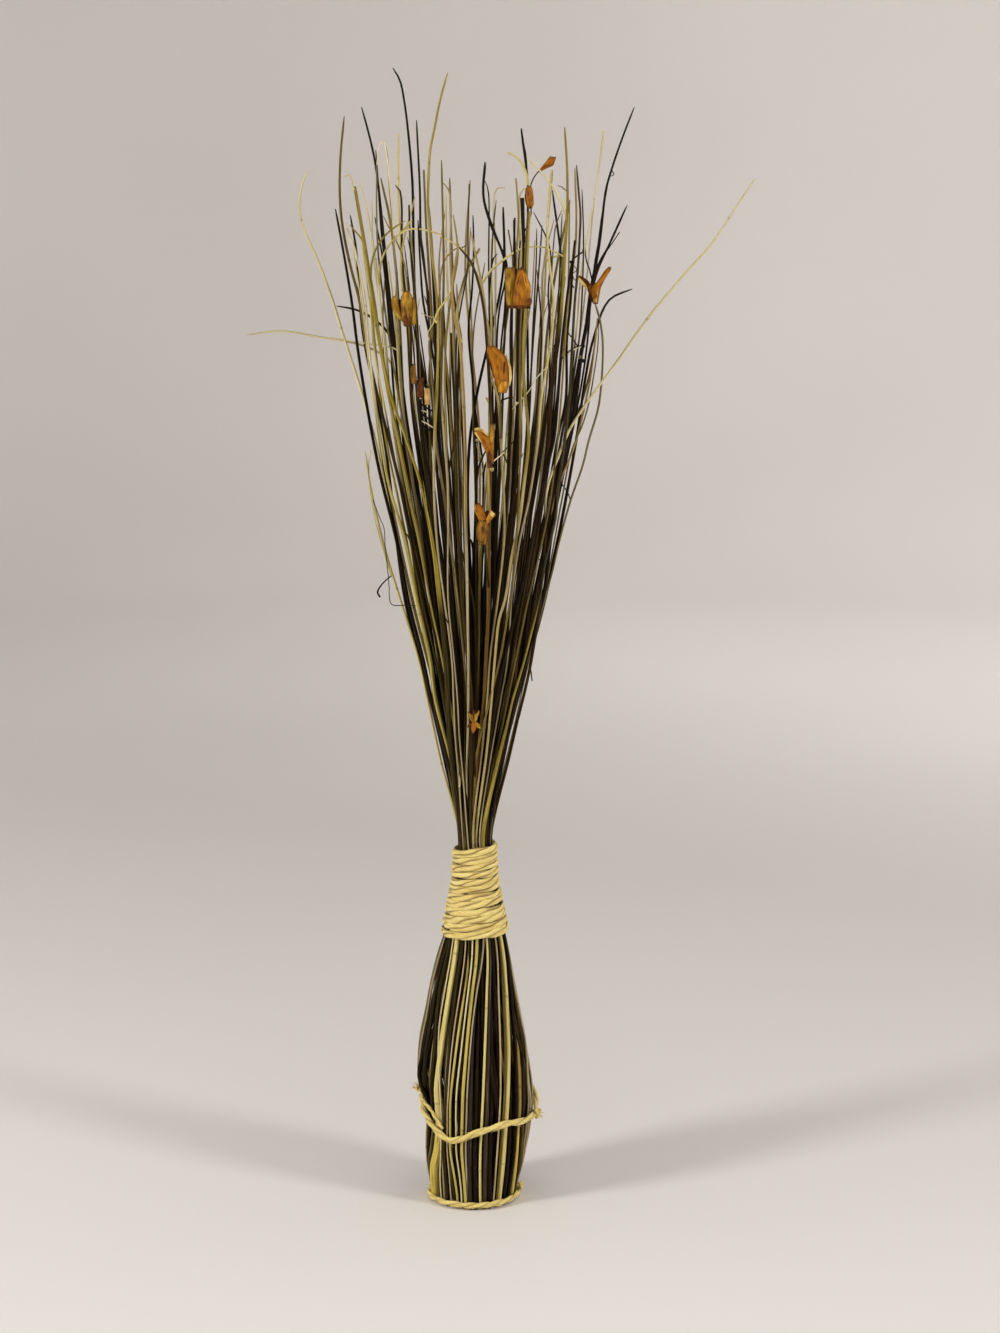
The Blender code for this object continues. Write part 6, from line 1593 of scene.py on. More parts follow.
# the cord's second run at the left, from its frayed knot to where it tucks in
tail = sorted(laid(u, v, 0.0018) for u, v in BELLY_TAIL[:-1] + ((442.5, 1128.5),))
tail = [row for k, row in enumerate(tail) if k == 0 or row[0] > tail[k - 1][0] + 1e-4]
dense_angles = np.linspace(tail[0][0], tail[-1][0], 160)
heights = np.interp(dense_angles, [row[0] for row in tail], [row[1] for row in tail])
path, out = turned(dense_angles, heights, 0.0018, True)
path = placed(path, even(path, 0.0010))
out = outward(path)
build = Build()
rope(build, path, out, 0.0017, 0.0015, 0.0180, 91, sides=12, groove=0.7)
fibres(build, path, out, 0.0016, 0.0015, 30, 92, reach=0.006)
start = path[2] + out[2] * 0.0008
knot(build, start, out[2], 0.0019, 93, turns=1.9, thick=0.0012)
for k in range(22):
    q = np.random.default_rng(940 + k)
    t = np.linspace(0, 1, 6)[:, None]
    away = out[2] * q.uniform(0.1, 1.0) + np.array([q.uniform(-0.5, 0.2), q.uniform(-0.6, 0.2), q.uniform(-0.1, 1.4)])
    away /= np.linalg.norm(away)
    bow = q.uniform(-0.4, 0.4, 3)
    line = start + away * 0.0012 + away * t * q.uniform(0.003, 0.0065) + bow * 0.004 * t ** 2
    build.tube(line, np.linspace(0.00024, 0.00008, 6), sides=4, offset=tuple(q.uniform(0, 50, 3)), ply=0.5, fibre=1.0, hollow=0.0)
piece = build.piece("belly_cord_end_frayed")
piece.data.materials.append(CORD)
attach(piece, "root")
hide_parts("belly_cord_end")

# the foot cord, pulled flat round the cut ends, its ends twisted in at the right
dense_angles = np.linspace(math.radians(-180), math.radians(180), 900)
base_half = BASE_CORD_RADIUS
heights = np.full(900, BASE_CORD_HEIGHT) + 0.00045 * np.sin(dense_angles * 2 + 0.8)
path, out = turned(dense_angles, heights, 0.0019, True)
path = placed(path, even(path, 0.00125))
out = outward(path)
build = Build()
rope(build, path, out, base_half * 0.92, 0.0019, 0.0300, 101, sides=14, spread=0.33, groove=0.8)
fibres(build, path, out, 0.0031, 0.0026, 60, 102, reach=0.006)
azimuth = math.radians(84)
r = snug(azimuth, 0.012) + 0.0022
centre = np.array([along(RING_MIDDLE, 0.012) + r * math.sin(azimuth), -r * math.cos(azimuth), 0.0105])
knot(build, centre, (math.sin(azimuth), -math.cos(azimuth), 0.0), 0.0024, 103, turns=1.6, thick=0.0014)
for v in build.verts:
    v[:, 2] = np.maximum(v[:, 2], 0.0002)
piece = build.piece("base_cord_twisted")
piece.data.materials.append(CORD)
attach(piece, "root")
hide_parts("base_cord")

# --------------------------------------------------------------------- husks
# husk colours: deep tone, body, painted lit tone
HUSK_ORANGE = husk_material("husk_orange", (90, 44, 2), (150, 90, 6), (180, 118, 22))
HUSK_GOLD = husk_material("husk_gold", (84, 54, 6), (140, 100, 18), (186, 148, 54))
HUSK_AMBER = husk_material("husk_amber", (120, 66, 4), (178, 118, 20), (214, 160, 56))
HUSK_BROWN = husk_material("husk_brown", (36, 15, 2), (74, 35, 4), (120, 68, 14))
HUSK_BRONZE = husk_material("husk_bronze", (62, 34, 3), (112, 72, 12), (160, 114, 38))
HUSK_TAN = husk_material("husk_tan", (112, 78, 30), (176, 138, 76), (208, 176, 116))
HUSK_PALE = husk_material("husk_pale", (150, 112, 44), (206, 172, 92), (232, 212, 144))


def petal(build, foot, top, side, face, width, curl, lean=0.0, round_top=0.5, ruffle=0.06, seed=0, base=0.35,
          across=14, along_count=22, thick=0.00038, twist=0.0, jag=0.03):
    """A thin curled petal from foot to top. side runs across it and face is
    where its outer side looks; curl is its bend across, in degrees."""
    rng = np.random.default_rng(seed)
    foot, top, face, side = (np.asarray(q, float) for q in (foot, top, face, side))
    axis = top - foot
    height = np.linalg.norm(axis)
    axis = axis / height
    side = side - axis * side.dot(axis)
    side /= np.linalg.norm(side)
    face = face - axis * face.dot(axis) - side * face.dot(side)
    face /= np.linalg.norm(face)
    t = np.linspace(0.0, 1.0, along_count)[:, None]
    s = np.linspace(-1.0, 1.0, across)[None, :]
    body = base + (1 - base) * np.sin(np.clip(t / 0.62, 0, 1) * np.pi / 2) ** 1.2
    crown = np.clip((1 - t) / 0.40, 0.0, 1.0) ** round_top
    half = width * 0.5 * body * (0.10 + 0.90 * crown)
    arc = math.radians(curl) * 0.5 * (0.55 + 0.45 * body)
    sign = 1.0 if curl >= 0 else -1.0
    arc = np.abs(arc) + 1e-4
    x = half * np.sin(s * arc) / arc
    depth = -sign * half * (1 - np.cos(s * arc)) / arc
    k = [(rng.uniform(2.0, 4.5), rng.uniform(0, 6.28), rng.uniform(0.5, 1.0)) for _ in range(3)]
    wave = sum(a * np.sin(f * np.pi * t + p + s * 0.8) for f, p, a in k)
    depth = depth + ruffle * width * wave * (0.12 + np.abs(s) ** 2.2) * (0.3 + 0.7 * t)
    depth = depth + lean * height * t ** 2.2
    rise = t * height * (1 + 0 * s)
    jags = sum(rng.uniform(0.4, 1.0) * np.sin(rng.uniform(2, 7) * np.pi * s + rng.uniform(0, 6.28)) for _ in range(3))
    rise = rise + jag * height * jags * t ** 4
    turn = twist * t
    xx = x * np.cos(turn) - depth * np.sin(turn)
    dd = x * np.sin(turn) + depth * np.cos(turn)
    grid = foot + axis * rise[..., None] + side * xx[..., None] + face * dd[..., None]
    du = np.gradient(grid, axis=0)
    dv = np.gradient(grid, axis=1)
    normal = np.cross(dv, du)
    normal /= np.maximum(np.linalg.norm(normal, axis=2), 1e-12)[..., None]
    edge = np.clip(np.maximum(np.abs(s) ** 6 * 1.0, np.clip((t - 0.86) / 0.14, 0, 1) ** 1.5) + 0 * t, 0.0, 1.0)
    edge = np.maximum(edge, np.clip((0.10 - t) / 0.10, 0, 1) * 0.8 + 0 * s)
    grain = np.stack([s * width * 500 * (0.3 + 0 * t) + 0 * t, 0 * s + 0 * t + seed * 1.7, t * height * 260 + 0 * s], -1)
    rows, cols = along_count, across
    front = grid + normal * thick * 0.5
    back = grid - normal * thick * 0.5
    i = np.arange(rows - 1)[:, None] * cols
    j = np.arange(cols - 1)[None, :]
    quad = np.stack([i + j, i + j + 1, i + cols + j + 1, i + cols + j], -1).reshape(-1, 4)
    n = rows * cols
    other = quad[:, ::-1] + n
    border = np.concatenate([np.arange(cols), np.arange(1, rows) * cols + cols - 1,
                             (rows - 1) * cols + np.arange(cols - 2, -1, -1), np.arange(rows - 2, 0, -1) * cols])
    nxt = np.roll(border, -1)
    rim = np.stack([nxt, border, border + n, nxt + n], 1)
    build.add(np.concatenate([front.reshape(-1, 3), back.reshape(-1, 3)]), [quad, other, rim],
              grain=np.concatenate([grain.reshape(-1, 3)] * 2), edge=np.concatenate([edge.reshape(-1)] * 2))


def facing(degrees):
    a = math.radians(degrees)
    return np.array([math.sin(a), -math.cos(a), 0.0]), np.array([math.cos(a), math.sin(a), 0.0])


def edge_line(points, share):
    """Places along a soft line through (u, v) points, at shares of its length."""
    points = np.asarray(points, float)
    cum = np.concatenate([[0.0], np.cumsum(np.hypot(*np.diff(points, axis=0).T))])
    fine = np.linspace(0.0, cum[-1], 61)
    line = np.stack([np.interp(fine, cum, points[:, k]) for k in (0, 1)], 1)
    kernel = np.hanning(13)[1:-1]
    kernel /= kernel.sum()
    ends = [2 * line[0] - line[5:0:-1], line, 2 * line[-1] - line[-2:-7:-1]]
    wide = np.concatenate(ends)
    line = np.stack([np.convolve(wide[:, k], kernel, "valid") for k in (0, 1)], 1)
    return np.stack([np.interp(share, fine / cum[-1], line[:, k]) for k in (0, 1)], 1)


def shell(build, left, right, y, bulge, turn, folds, seed, across=17, along_count=26, thick=0.00038, ruffle=0.05):
    """A papery wall between its left and right edges, both given from the foot
    up. It bulges forward by a share of its half width, its right edge lies
    deeper by turn, and folds are (place across, depth in mm, breadth)."""
    rng = np.random.default_rng(seed)
    t = np.linspace(0.0, 1.0, along_count)
    s = np.linspace(-1.0, 1.0, across)
    a, b = edge_line(left, t), edge_line(right, t)
    half = 0.5 * np.hypot(*(b - a).T) / 1100.0
    width = 2 * float(half.max())
    height = float(np.hypot(*(0.5 * (a[-1] + b[-1] - a[0] - b[0])))) / 1100.0
    waves = [(rng.uniform(1.5, 3.5), rng.uniform(0, 6.28), rng.uniform(0.4, 1.0)) for _ in range(3)]
    jags = [(rng.uniform(2, 7), rng.uniform(0, 6.28), rng.uniform(0.3, 0.8)) for _ in range(3)]
    lean = min(1.0, abs(bulge)) * 1.1
    grid = np.empty((along_count, across, 3))
    for i in range(along_count):
        for j in range(across):
            x = math.sin(s[j] * lean) / math.sin(lean) if lean > 0.05 else s[j]
            drop = -bulge * half[i] * (1.0 - abs(x) ** 2.1)
            drop += sum(depth / 1000.0 * math.exp(-((x - place) / breadth) ** 2) * (0.35 + 0.65 * math.sin(math.pi * min(1.0, t[i] + 0.15)))
                        for place, depth, breadth in folds)
            drop += ruffle * width * sum(q * math.sin(f * math.pi * t[i] + p + x * 0.9) for f, p, q in waves) * (0.15 + abs(x) ** 2)
            lift = 0.030 * sum(q * math.sin(f * math.pi * x + p) for f, p, q in jags) * t[i] ** 5 * height * 1100.0
            u = 0.5 * (a[i, 0] + b[i, 0]) + 0.5 * (b[i, 0] - a[i, 0]) * x
            v = 0.5 * (a[i, 1] + b[i, 1]) + 0.5 * (b[i, 1] - a[i, 1]) * x - lift
            grid[i, j] = at_depth(u, v, y + drop + turn / 1000.0 * x)
    du, dv = np.gradient(grid, axis=0), np.gradient(grid, axis=1)
    normal = np.cross(dv, du)
    normal /= np.maximum(np.linalg.norm(normal, axis=2), 1e-12)[..., None]
    tt, ss = t[:, None], s[None, :]
    edge = np.maximum(np.abs(ss) ** 7 + 0 * tt, np.clip((tt - 0.90) / 0.10, 0, 1) ** 1.5 + 0 * ss)
    edge = np.maximum(edge, np.clip((0.07 - tt) / 0.07, 0, 1) * 0.7 + 0 * ss) * min(1.0, width / 0.004)
    grain = np.stack([ss * width * 150 + 0 * tt, 0 * ss + 0 * tt + seed * 1.7, tt * height * 260 + 0 * ss], -1)
    i = np.arange(along_count - 1)[:, None] * across
    j = np.arange(across - 1)[None, :]
    quad = np.stack([i + j, i + j + 1, i + across + j + 1, i + across + j], -1).reshape(-1, 4)
    n = along_count * across
    border = np.concatenate([np.arange(across), np.arange(1, along_count) * across + across - 1,
                             (along_count - 1) * across + np.arange(across - 2, -1, -1), np.arange(along_count - 2, 0, -1) * across])
    nxt = np.roll(border, -1)
    rim = np.stack([nxt, border, border + n, nxt + n], 1)
    build.add(np.concatenate([(grid + normal * thick * 0.5).reshape(-1, 3), (grid - normal * thick * 0.5).reshape(-1, 3)]),
              [quad, quad[:, ::-1] + n, rim],
              grain=np.concatenate([grain.reshape(-1, 3)] * 2), edge=np.concatenate([edge.reshape(-1)] * 2))


# Husk walls: husk, material, left edge and right edge as (u, v) from the foot
# up, depth change (mm), bulge, turn (mm), folds.
SHELLS = (
    ("husk_upper_tube", "orange", ((528, 208.5), (526.2, 204), (525.3, 197), (525.8, 190), (527.2, 186)),
     ((531.8, 208.5), (533.6, 204), (533.4, 197), (532.6, 190), (531.2, 186)), 1.0, 0.9, 0.0, ((-0.35, 0.5, 0.12), (0.30, 0.3, 0.10))),
    ("husk_upper_tube", "brown", ((527.6, 208.2), (525.7, 203), (524.8, 196), (525.4, 190), (526.8, 187)),
     ((528.5, 208.4), (527.2, 203), (526.6, 196), (527.0, 190), (527.8, 187)), 0.2, 0.3, 0.0, ()),
    ("husk_upper_tube", "brown", ((528, 204), (526.8, 188)), ((532, 204), (531.8, 187.5)), 4.0, -0.5, 0.0, ()),
    ("husk_upper_tube", "orange", ((537.6, 171.8), (541, 167.5), (545, 162.6), (548.4, 158.4), (550.6, 156.4)),
     ((539.6, 172.2), (544, 169.6), (549, 167.2), (553.2, 165.4), (555.0, 161), (556, 157.2)), 0.0, 0.30, 0.8, ((0.2, 0.3, 0.15),)),
    ("husk_wide_tube", "gold", ((506.5, 306.5), (505.8, 298), (505.2, 285), (504.8, 274), (505.6, 268)),
     ((514, 307), (513.8, 297), (514.4, 285), (515.2, 274), (515, 266.5)), 0.6, 0.35, 0.0, ((0.25, 0.5, 0.14),)),
    ("husk_wide_tube", "orange", ((512.5, 308), (512.4, 298), (514.2, 286), (516.6, 275), (518.6, 269)),
     ((529.6, 306.8), (530.2, 297), (530.4, 286), (527, 277), (523.2, 268.5)), -1.2, 0.35, 0.0, ((-0.60, 0.9, 0.10), (0.15, -0.5, 0.25))),
    ("husk_wide_tube", "amber", ((519.4, 297), (518.2, 290), (518.6, 284.5), (520.8, 277), (523, 270.5)),
     ((529.8, 300.5), (530.6, 292), (530.6, 284.5), (527.5, 277.5), (524.2, 270)), -2.0, 0.22, 0.0, ()),
    ("husk_wide_tube", "brown", ((506.8, 308.2), (506.6, 305.6)), ((529.8, 308.8), (530.2, 305.6)), -2.0, 0.30, 0.0, ()),
    ("husk_wide_tube", "brown", ((527.8, 304.5), (527.3, 301.5), (527.6, 298.5)), ((531.2, 304.8), (532.0, 301.5), (531.6, 298)), -2.8, 0.40, 0.0, ()),
    ("husk_wide_tube", "brown", ((518, 288), (517.2, 282), (519.8, 274), (521.2, 268.5)),
     ((519.2, 288), (519.4, 282), (522.4, 274), (524, 269)), -2.3, 0.1, 0.0, ()),
    ("husk_wide_tube", "brown", ((509, 300), (507.5, 270)), ((524.5, 300), (522, 268)), 3.0, -0.3, 0.0, ()),
    ("husk_wide_tube", "brown", ((507, 306), (506, 270)), ((530, 306), (527, 275)), 8.5, -0.5, 0.0, ()),
    ("husk_right_fork", "orange", ((593.5, 304), (591.6, 297), (590.6, 290), (592.6, 285.5), (597, 282), (601, 276), (605, 270), (608.5, 266.8)),
     ((597.8, 304), (599, 297), (600.2, 290), (601.4, 286), (604.4, 280), (608, 274.5), (611.2, 270.5), (611.2, 268.2)), 0.0, 0.5, 0.5, ((0.0, -0.4, 0.3),)),
    ("husk_right_fork", "tan", ((593.2, 303), (592.6, 296), (592.8, 289), (594.5, 285)), ((597.0, 303), (598.0, 295), (598.6, 288), (598.6, 284.5)), -1.2, 0.3, 0.0, ()),
    ("husk_right_fork", "brown", ((592.6, 303), (589.6, 296), (587.6, 290), (586, 285.5)), ((594.2, 303.5), (592.6, 296), (592, 290), (591.6, 284)), -0.3, 0.4, 0.0, ()),
    ("husk_right_fork", "brown", ((589, 289.5), (584.5, 285.5), (580, 281), (577.2, 277.6)), ((591.5, 287), (588.5, 281), (584, 277.6), (579.5, 275.6)), 0.3, -0.4, 0.0, ()),
    ("husk_right_fork", "pale", ((587.5, 289.8), (583, 286), (579.6, 281.6), (577.4, 278)), ((588.6, 288), (584.8, 283.4), (581.2, 279.4), (578.8, 277)), -0.5, 0.3, 0.0, ()),
    ("husk_right_fork", "brown", ((594, 301), (591.5, 284)), ((597.5, 301), (600, 284)), 3.0, -0.5, 0.0, ()),
    ("husk_left_cluster", "gold", ((400, 320.5), (395.5, 315.5), (392, 308.5), (391.2, 301.5), (392.4, 296.8)),
     ((402.4, 321), (401, 313), (399, 305.5), (397.4, 299.5), (395.4, 296.2)), 0.4, 0.45, -0.5, ((0.1, 0.4, 0.15),)),
    ("husk_left_cluster", "gold", ((403.6, 325.5), (401.6, 315), (400.6, 305), (401, 296.5), (403.4, 291.6)),
     ((411.4, 326.5), (412, 315), (412.8, 305), (412.4, 297), (409, 291)), -0.8, 0.6, 0.0, ((-0.2, 0.5, 0.12), (0.45, 0.4, 0.10))),
    ("husk_left_cluster", "amber", ((403.4, 301), (402.8, 296), (404.6, 292)), ((409.4, 301), (409.6, 296), (407.8, 291.6)), -2.0, 0.5, 0.0, ()),
    ("husk_left_cluster", "brown", ((404.4, 326.5), (403, 317), (402.6, 307)), ((411, 327), (411.4, 317), (410, 306)), -1.9, 0.5, 0.0, ((0.2, 0.4, 0.12),)),
    ("husk_left_cluster", "gold", ((411.6, 325), (411, 315), (411, 306), (411.6, 298.5)), ((416.4, 324.5), (416.4, 314), (415.8, 305), (414, 297.5)), -0.5, 0.5, 0.5, ()),
    ("husk_left_cluster", "brown", ((402, 322), (396, 300)), ((412, 324), (413, 298)), 3.0, -0.4, 0.0, ()),
    ("husk_leaf", "orange", ((497.5, 390), (494.6, 380), (491, 369), (488.4, 358), (486.2, 350), (487.6, 345.8)),
     ((507, 391), (509, 380), (509, 368), (506.5, 358), (501.6, 351), (494.6, 346)), 0.0, 0.28, 0.6, ((0.55, 0.5, 0.07), (-0.25, -0.4, 0.30))),
    ("husk_leaf", "amber", ((498.2, 392.6), (497.4, 387), (499, 381)), ((506.4, 393), (508.4, 387), (507, 380.5)), -0.9, 0.4, 0.3, ()),
    ("husk_leaf", "brown", ((502.2, 379), (503, 371), (504.4, 362)), ((503.7, 379.5), (504.7, 371), (505.5, 363)), -1.4, 0.1, 0.3, ()),
    ("husk_leaf", "brown", ((497.2, 386), (493.6, 377), (490.2, 367), (488.8, 360)), ((498.3, 386), (494.9, 377), (491.6, 367), (490.1, 359.5)), -0.5, 0.2, 0.0, ()),
    ("husk_leaf", "pale", ((508.6, 386), (509.2, 378), (508.4, 366), (505.6, 356.5)), ((510, 386), (511.8, 377), (510.8, 366), (506.5, 355.5)), 0.5, 0.3, 0.3, ()),
    ("husk_middle_fork", "orange", ((487.6, 464), (486, 453), (483, 446), (479.4, 439.6), (475.6, 433.6), (474.2, 430)),
     ((493.6, 464), (493.6, 453), (493, 444), (489, 437), (483.4, 431.6), (478.6, 428.4)), -0.3, 0.45, 0.3, ((0.4, 0.5, 0.10),)),
    ("husk_middle_fork", "pale", ((487.4, 436), (483, 432.2), (478.6, 430.2), (474.4, 430.8)), ((487.9, 434.2), (483.6, 429.8), (478.6, 427.2), (474.4, 428.4)), -1.5, 0.3, 0.0, ()),
    ("husk_middle_fork", "pale", ((484, 446), (480, 441), (476, 435.4), (474.2, 432.6)), ((485, 445), (481.4, 439.4), (477.6, 433.8), (475.6, 431.6)), -1.0, 0.3, 0.0, ()),
    ("husk_middle_fork", "gold", ((489.6, 455), (489.4, 443), (489.6, 432), (490, 424)), ((493.8, 455), (494, 443), (494.6, 432), (494.4, 424)), 0.3, 0.5, 0.0, ()),
    ("husk_middle_fork", "brown", ((487.6, 468), (487.2, 458), (487.8, 450)), ((492.6, 468), (491.6, 458), (490.4, 450)), -1.5, 0.6, 0.0, ()),
    ("husk_tulip", "orange", ((481.4, 527), (478.4, 519), (475.4, 512.5), (474.2, 507), (475.6, 504.4)),
     ((487.4, 528), (486.6, 519), (484, 511.5), (481.4, 505.6), (478.6, 503.4)), -0.6, 0.45, 0.0, ((0.0, -0.3, 0.3),)),
    ("husk_tulip", "amber", ((480.6, 524), (477.6, 517), (475, 511.5), (474, 507)), ((482.2, 523), (479.6, 516.5), (477, 511), (475.8, 506)), -1.5, 0.2, 0.0, ()),
    ("husk_tulip", "amber", ((480.6, 529.5), (484.6, 521.6), (488.6, 514), (490.4, 509)), ((482.6, 530), (487.6, 524), (492, 519.4), (496, 514.6)), -1.2, 0.3, 0.5, ()),
    ("husk_tulip", "pale", ((489.6, 515), (491.2, 510.4)), ((492.4, 517.4), (495.2, 514)), -2.0, 0.2, 0.4, ()),
    ("husk_tulip", "brown", ((482, 528), (484, 519), (486, 510)), ((484, 528), (487.6, 519), (489.6, 511)), 0.6, 0.0, 0.0, ()),
    ("husk_tulip", "bronze", ((480, 544.5), (477, 538.5), (476.2, 530), (478.4, 521)), ((486.6, 544.5), (488.8, 538), (489, 528.5), (487.4, 520)), -0.1, 0.7, 0.0, ((0.2, 0.4, 0.12),)),
    ("husk_tulip", "brown", ((481, 543), (480, 538), (481.6, 534)), ((484.2, 542), (484, 537), (484.0, 533)), -1.9, 0.5, 0.0, ()),
    ("husk_tulip", "brown", ((479, 540), (476.5, 510)), ((488, 540), (490, 512)), 3.0, -0.4, 0.0, ()),
    ("husk_beaded", "bronze", ((412, 384), (410.4, 377), (410.6, 369), (412.6, 364)), ((416.4, 384), (416.4, 377), (416, 369), (414.4, 364.4)), -0.2, 0.5, 0.0, ((0.2, 0.3, 0.15),)),
    ("husk_beaded", "tan", ((425, 405), (424.4, 398), (424.6, 391), (425.4, 388)), ((429.8, 405), (430.2, 398), (430, 391), (429.2, 388)), -0.5, 0.9, 0.0, ()),
    ("husk_beaded", "brown", ((417, 398), (416.4, 388), (417.4, 378)), ((423.6, 398), (424, 388), (423.4, 377)), 2.0, 0.5, 0.0, ()),
)

# Small curled petals: husk, material, foot (u, v), top (u, v), depth change
# (mm), way it faces (degrees round from the front), width (mm), curl, lean,
# tip roundness, ruffle, share of the width at the foot, twist (degrees).
PETALS = (
    ("husk_star", "gold", (474, 724), (469, 711), 0.0, -20, 4.2, 90, 0.20, 0.8, 0.22, 0.45, 0),
    ("husk_star", "gold", (474, 723), (478.5, 710), -0.3, 15, 4.4, 90, 0.20, 0.8, 0.22, 0.45, 0),
    ("husk_star", "orange", (474, 721), (473, 733), -0.6, 0, 5.5, 100, 0.15, 0.8, 0.20, 0.50, 0),
    ("husk_star", "gold", (475, 722), (480.5, 729), 0.0, 10, 4.0, 90, 0.20, 0.8, 0.22, 0.45, 0),
    ("husk_star", "brown", (473.5, 723), (467.5, 727), 0.4, -10, 4.0, 90, 0.20, 0.8, 0.22, 0.45, 0),
    ("husk_star", "brown", (474, 722), (474, 709), 0.4, 0, 4.5, 90, 0.20, 0.8, 0.22, 0.45, 0),
)
HUSK_TONE = {"orange": HUSK_ORANGE, "amber": HUSK_AMBER, "gold": HUSK_GOLD, "brown": HUSK_BROWN, "bronze": HUSK_BRONZE, "tan": HUSK_TAN, "pale": HUSK_PALE}

husk_depth = {}
for name, u, foot_v, top_v, wide, top_wide, arc, front in HUSKS:
    low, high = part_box(name)
    husk_depth[name] = low.y - FOOT.y + 0.0006
walls = {}
husk_foot = {}  # where each husk's wall ends below
for index, (name, tone, left, right, depth, bulge, turn, folds) in enumerate(SHELLS):
    shell(walls.setdefault((name, tone), Build()), left, right, husk_depth[name] + depth / 1000.0 + 0.0012, bulge, turn, folds, 600 + index)
for index, (name, tone, foot, top, depth, face, width, curl, lean, round_top, ruffle, base, twist) in enumerate(PETALS):
    y = husk_depth[name] + depth / 1000.0 + 0.0012
    out, side = facing(face)
    petal(walls.setdefault((name, tone), Build()), at_depth(*foot, y), at_depth(*top, y), side, out, width / 1000.0, curl, lean,
          round_top, ruffle, 500 + index, base, twist=math.radians(twist))
for (name, tone), build in walls.items():
    piece = build.piece(f"{name}_{tone}")
    co = np.array([v.co for v in piece.data.vertices])
    co = co[co[:, 2] < co[:, 2].min() + 0.006]
    if name not in husk_foot or co[:, 2].min() < husk_foot[name][2]:
        husk_foot[name] = np.array([co[:, 0].mean(), co[:, 1].mean(), co[:, 2].min()])
    piece.data.materials.append(HUSK_TONE[tone])
    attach(piece, "root")
    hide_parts(name)

# --------------------------------------------------------------------- twigs
CARRIERS = [(name, points, radius) for name, (points, radius) in REED_LINES.items()]


def carried(u, v, forward, reach=14.0):
    """The reed or twig that passes nearest a sheet place, and where."""
    wanted = on_spray(u, v, forward)
    best = None
    for name, points, radius in CARRIERS:
        uu, vv = on_sheet(points)
        gap = np.hypot(uu - u, vv - v)
        cost = gap * 1.0 + np.abs(points[:, 1] - wanted.y) * 140.0
        i = int(np.argmin(cost))
        if best is None or cost[i] < best[0]:
            best = (cost[i], gap[i], name, points[i], radius[i], uu[i], vv[i])
    return best


for index, (name, tone, line, first, last, forward, both) in enumerate(TWIGS):
    rng = np.random.default_rng(700 + index)
    u0, v0 = line[0]
    _, gap0, _, root, root_radius, ru, rv = carried(u0, v0, forward)
    points = [np.array(root)]
    y0 = root[1]
    wanted = [on_spray(u, v, forward).y for u, v in line]
    if both:
        _, gap1, _, end, end_radius, eu, ev = carried(*line[-1], forward)
        y1 = end[1]
    lengths = np.concatenate([[0.0], np.cumsum([math.hypot(b[0] - a[0], b[1] - a[1]) for a, b in zip(line, line[1:])])])
    share = lengths / lengths[-1]
    du, dv = ru - u0, rv - v0
    inner = line[1:-1] if both else line[1:]
    for k, (u, v) in enumerate(inner, 1):
        t = share[k]
        y = y0 + (y1 - y0) * t if both else y0 + (wanted[k] - wanted[0]) * 0.6
        y += 0.0012 * math.sin(3.0 * t + index)
        fade = max(0.0, 1.0 - t / 0.5)
        points.append(np.array(at_depth(u + du * fade, v + dv * fade, y)))
    if both:
        points.append(np.array(end))
    rows = as_rows(smooth_course(points, 0.0015))
    cum = measured(rows)
    t = cum / cum[-1]
    radius = (first + (last - first) * t) / 1000.0
    radius = radius * (1 + wobble(rng, 0.03, 0.07)(cum))
    rows[:, 0] += wobble(rng, 0.03, 0.00022)(cum) * np.sin(np.pi * t)
    build = Build()
    build.tube(rows, radius, sides=7, ribs=0.05, rib_count=3, offset=tuple(rng.uniform(0, 90, 3)), up=1.0,
               joint=0.0, reach=0.3 * t)
    piece = build.piece(name)
    piece.data.materials.append(reed_material(tone, tone))
    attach(piece, "root")
    CARRIERS.append((name, rows, radius))

for index, (name, tone, u, v, size, forward) in enumerate(BEADS):
    rng = np.random.default_rng(900 + index)
    _, gap, _, root, root_radius, ru, rv = carried(u, v, forward)
    size /= 1000.0
    spot = np.array(at_depth(u, v, root[1]))
    away = spot - root
    far = np.linalg.norm(away)
    limit = root_radius + size * 0.6
    if far > limit:
        spot = root + away / far * limit
    spot[1] -= 0.4 * size
    t = np.linspace(0.02, 0.98, 12)
    axis = np.array([rng.uniform(-0.4, 0.4), rng.uniform(-0.3, 0.3), 1.0])
    axis /= np.linalg.norm(axis)
    rows = spot + axis * ((t - 0.5) * 2 * size * 1.1)[:, None]
    radius = size * np.sqrt(np.maximum(1 - (2 * t - 1) ** 2, 0.02)) * (1 + 0.10 * np.sin(7 * t + rng.uniform(0, 6)))
    build = Build()
    build.tube(rows, radius, sides=12, ribs=0.08, rib_count=3, phase=rng.uniform(0, 6), offset=tuple(rng.uniform(0, 90, 3)),
               up=1.0, joint=0.0, reach=0.0)
    piece = build.piece(name)
    piece.data.materials.append(reed_material(tone, tone))
    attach(piece, "root")

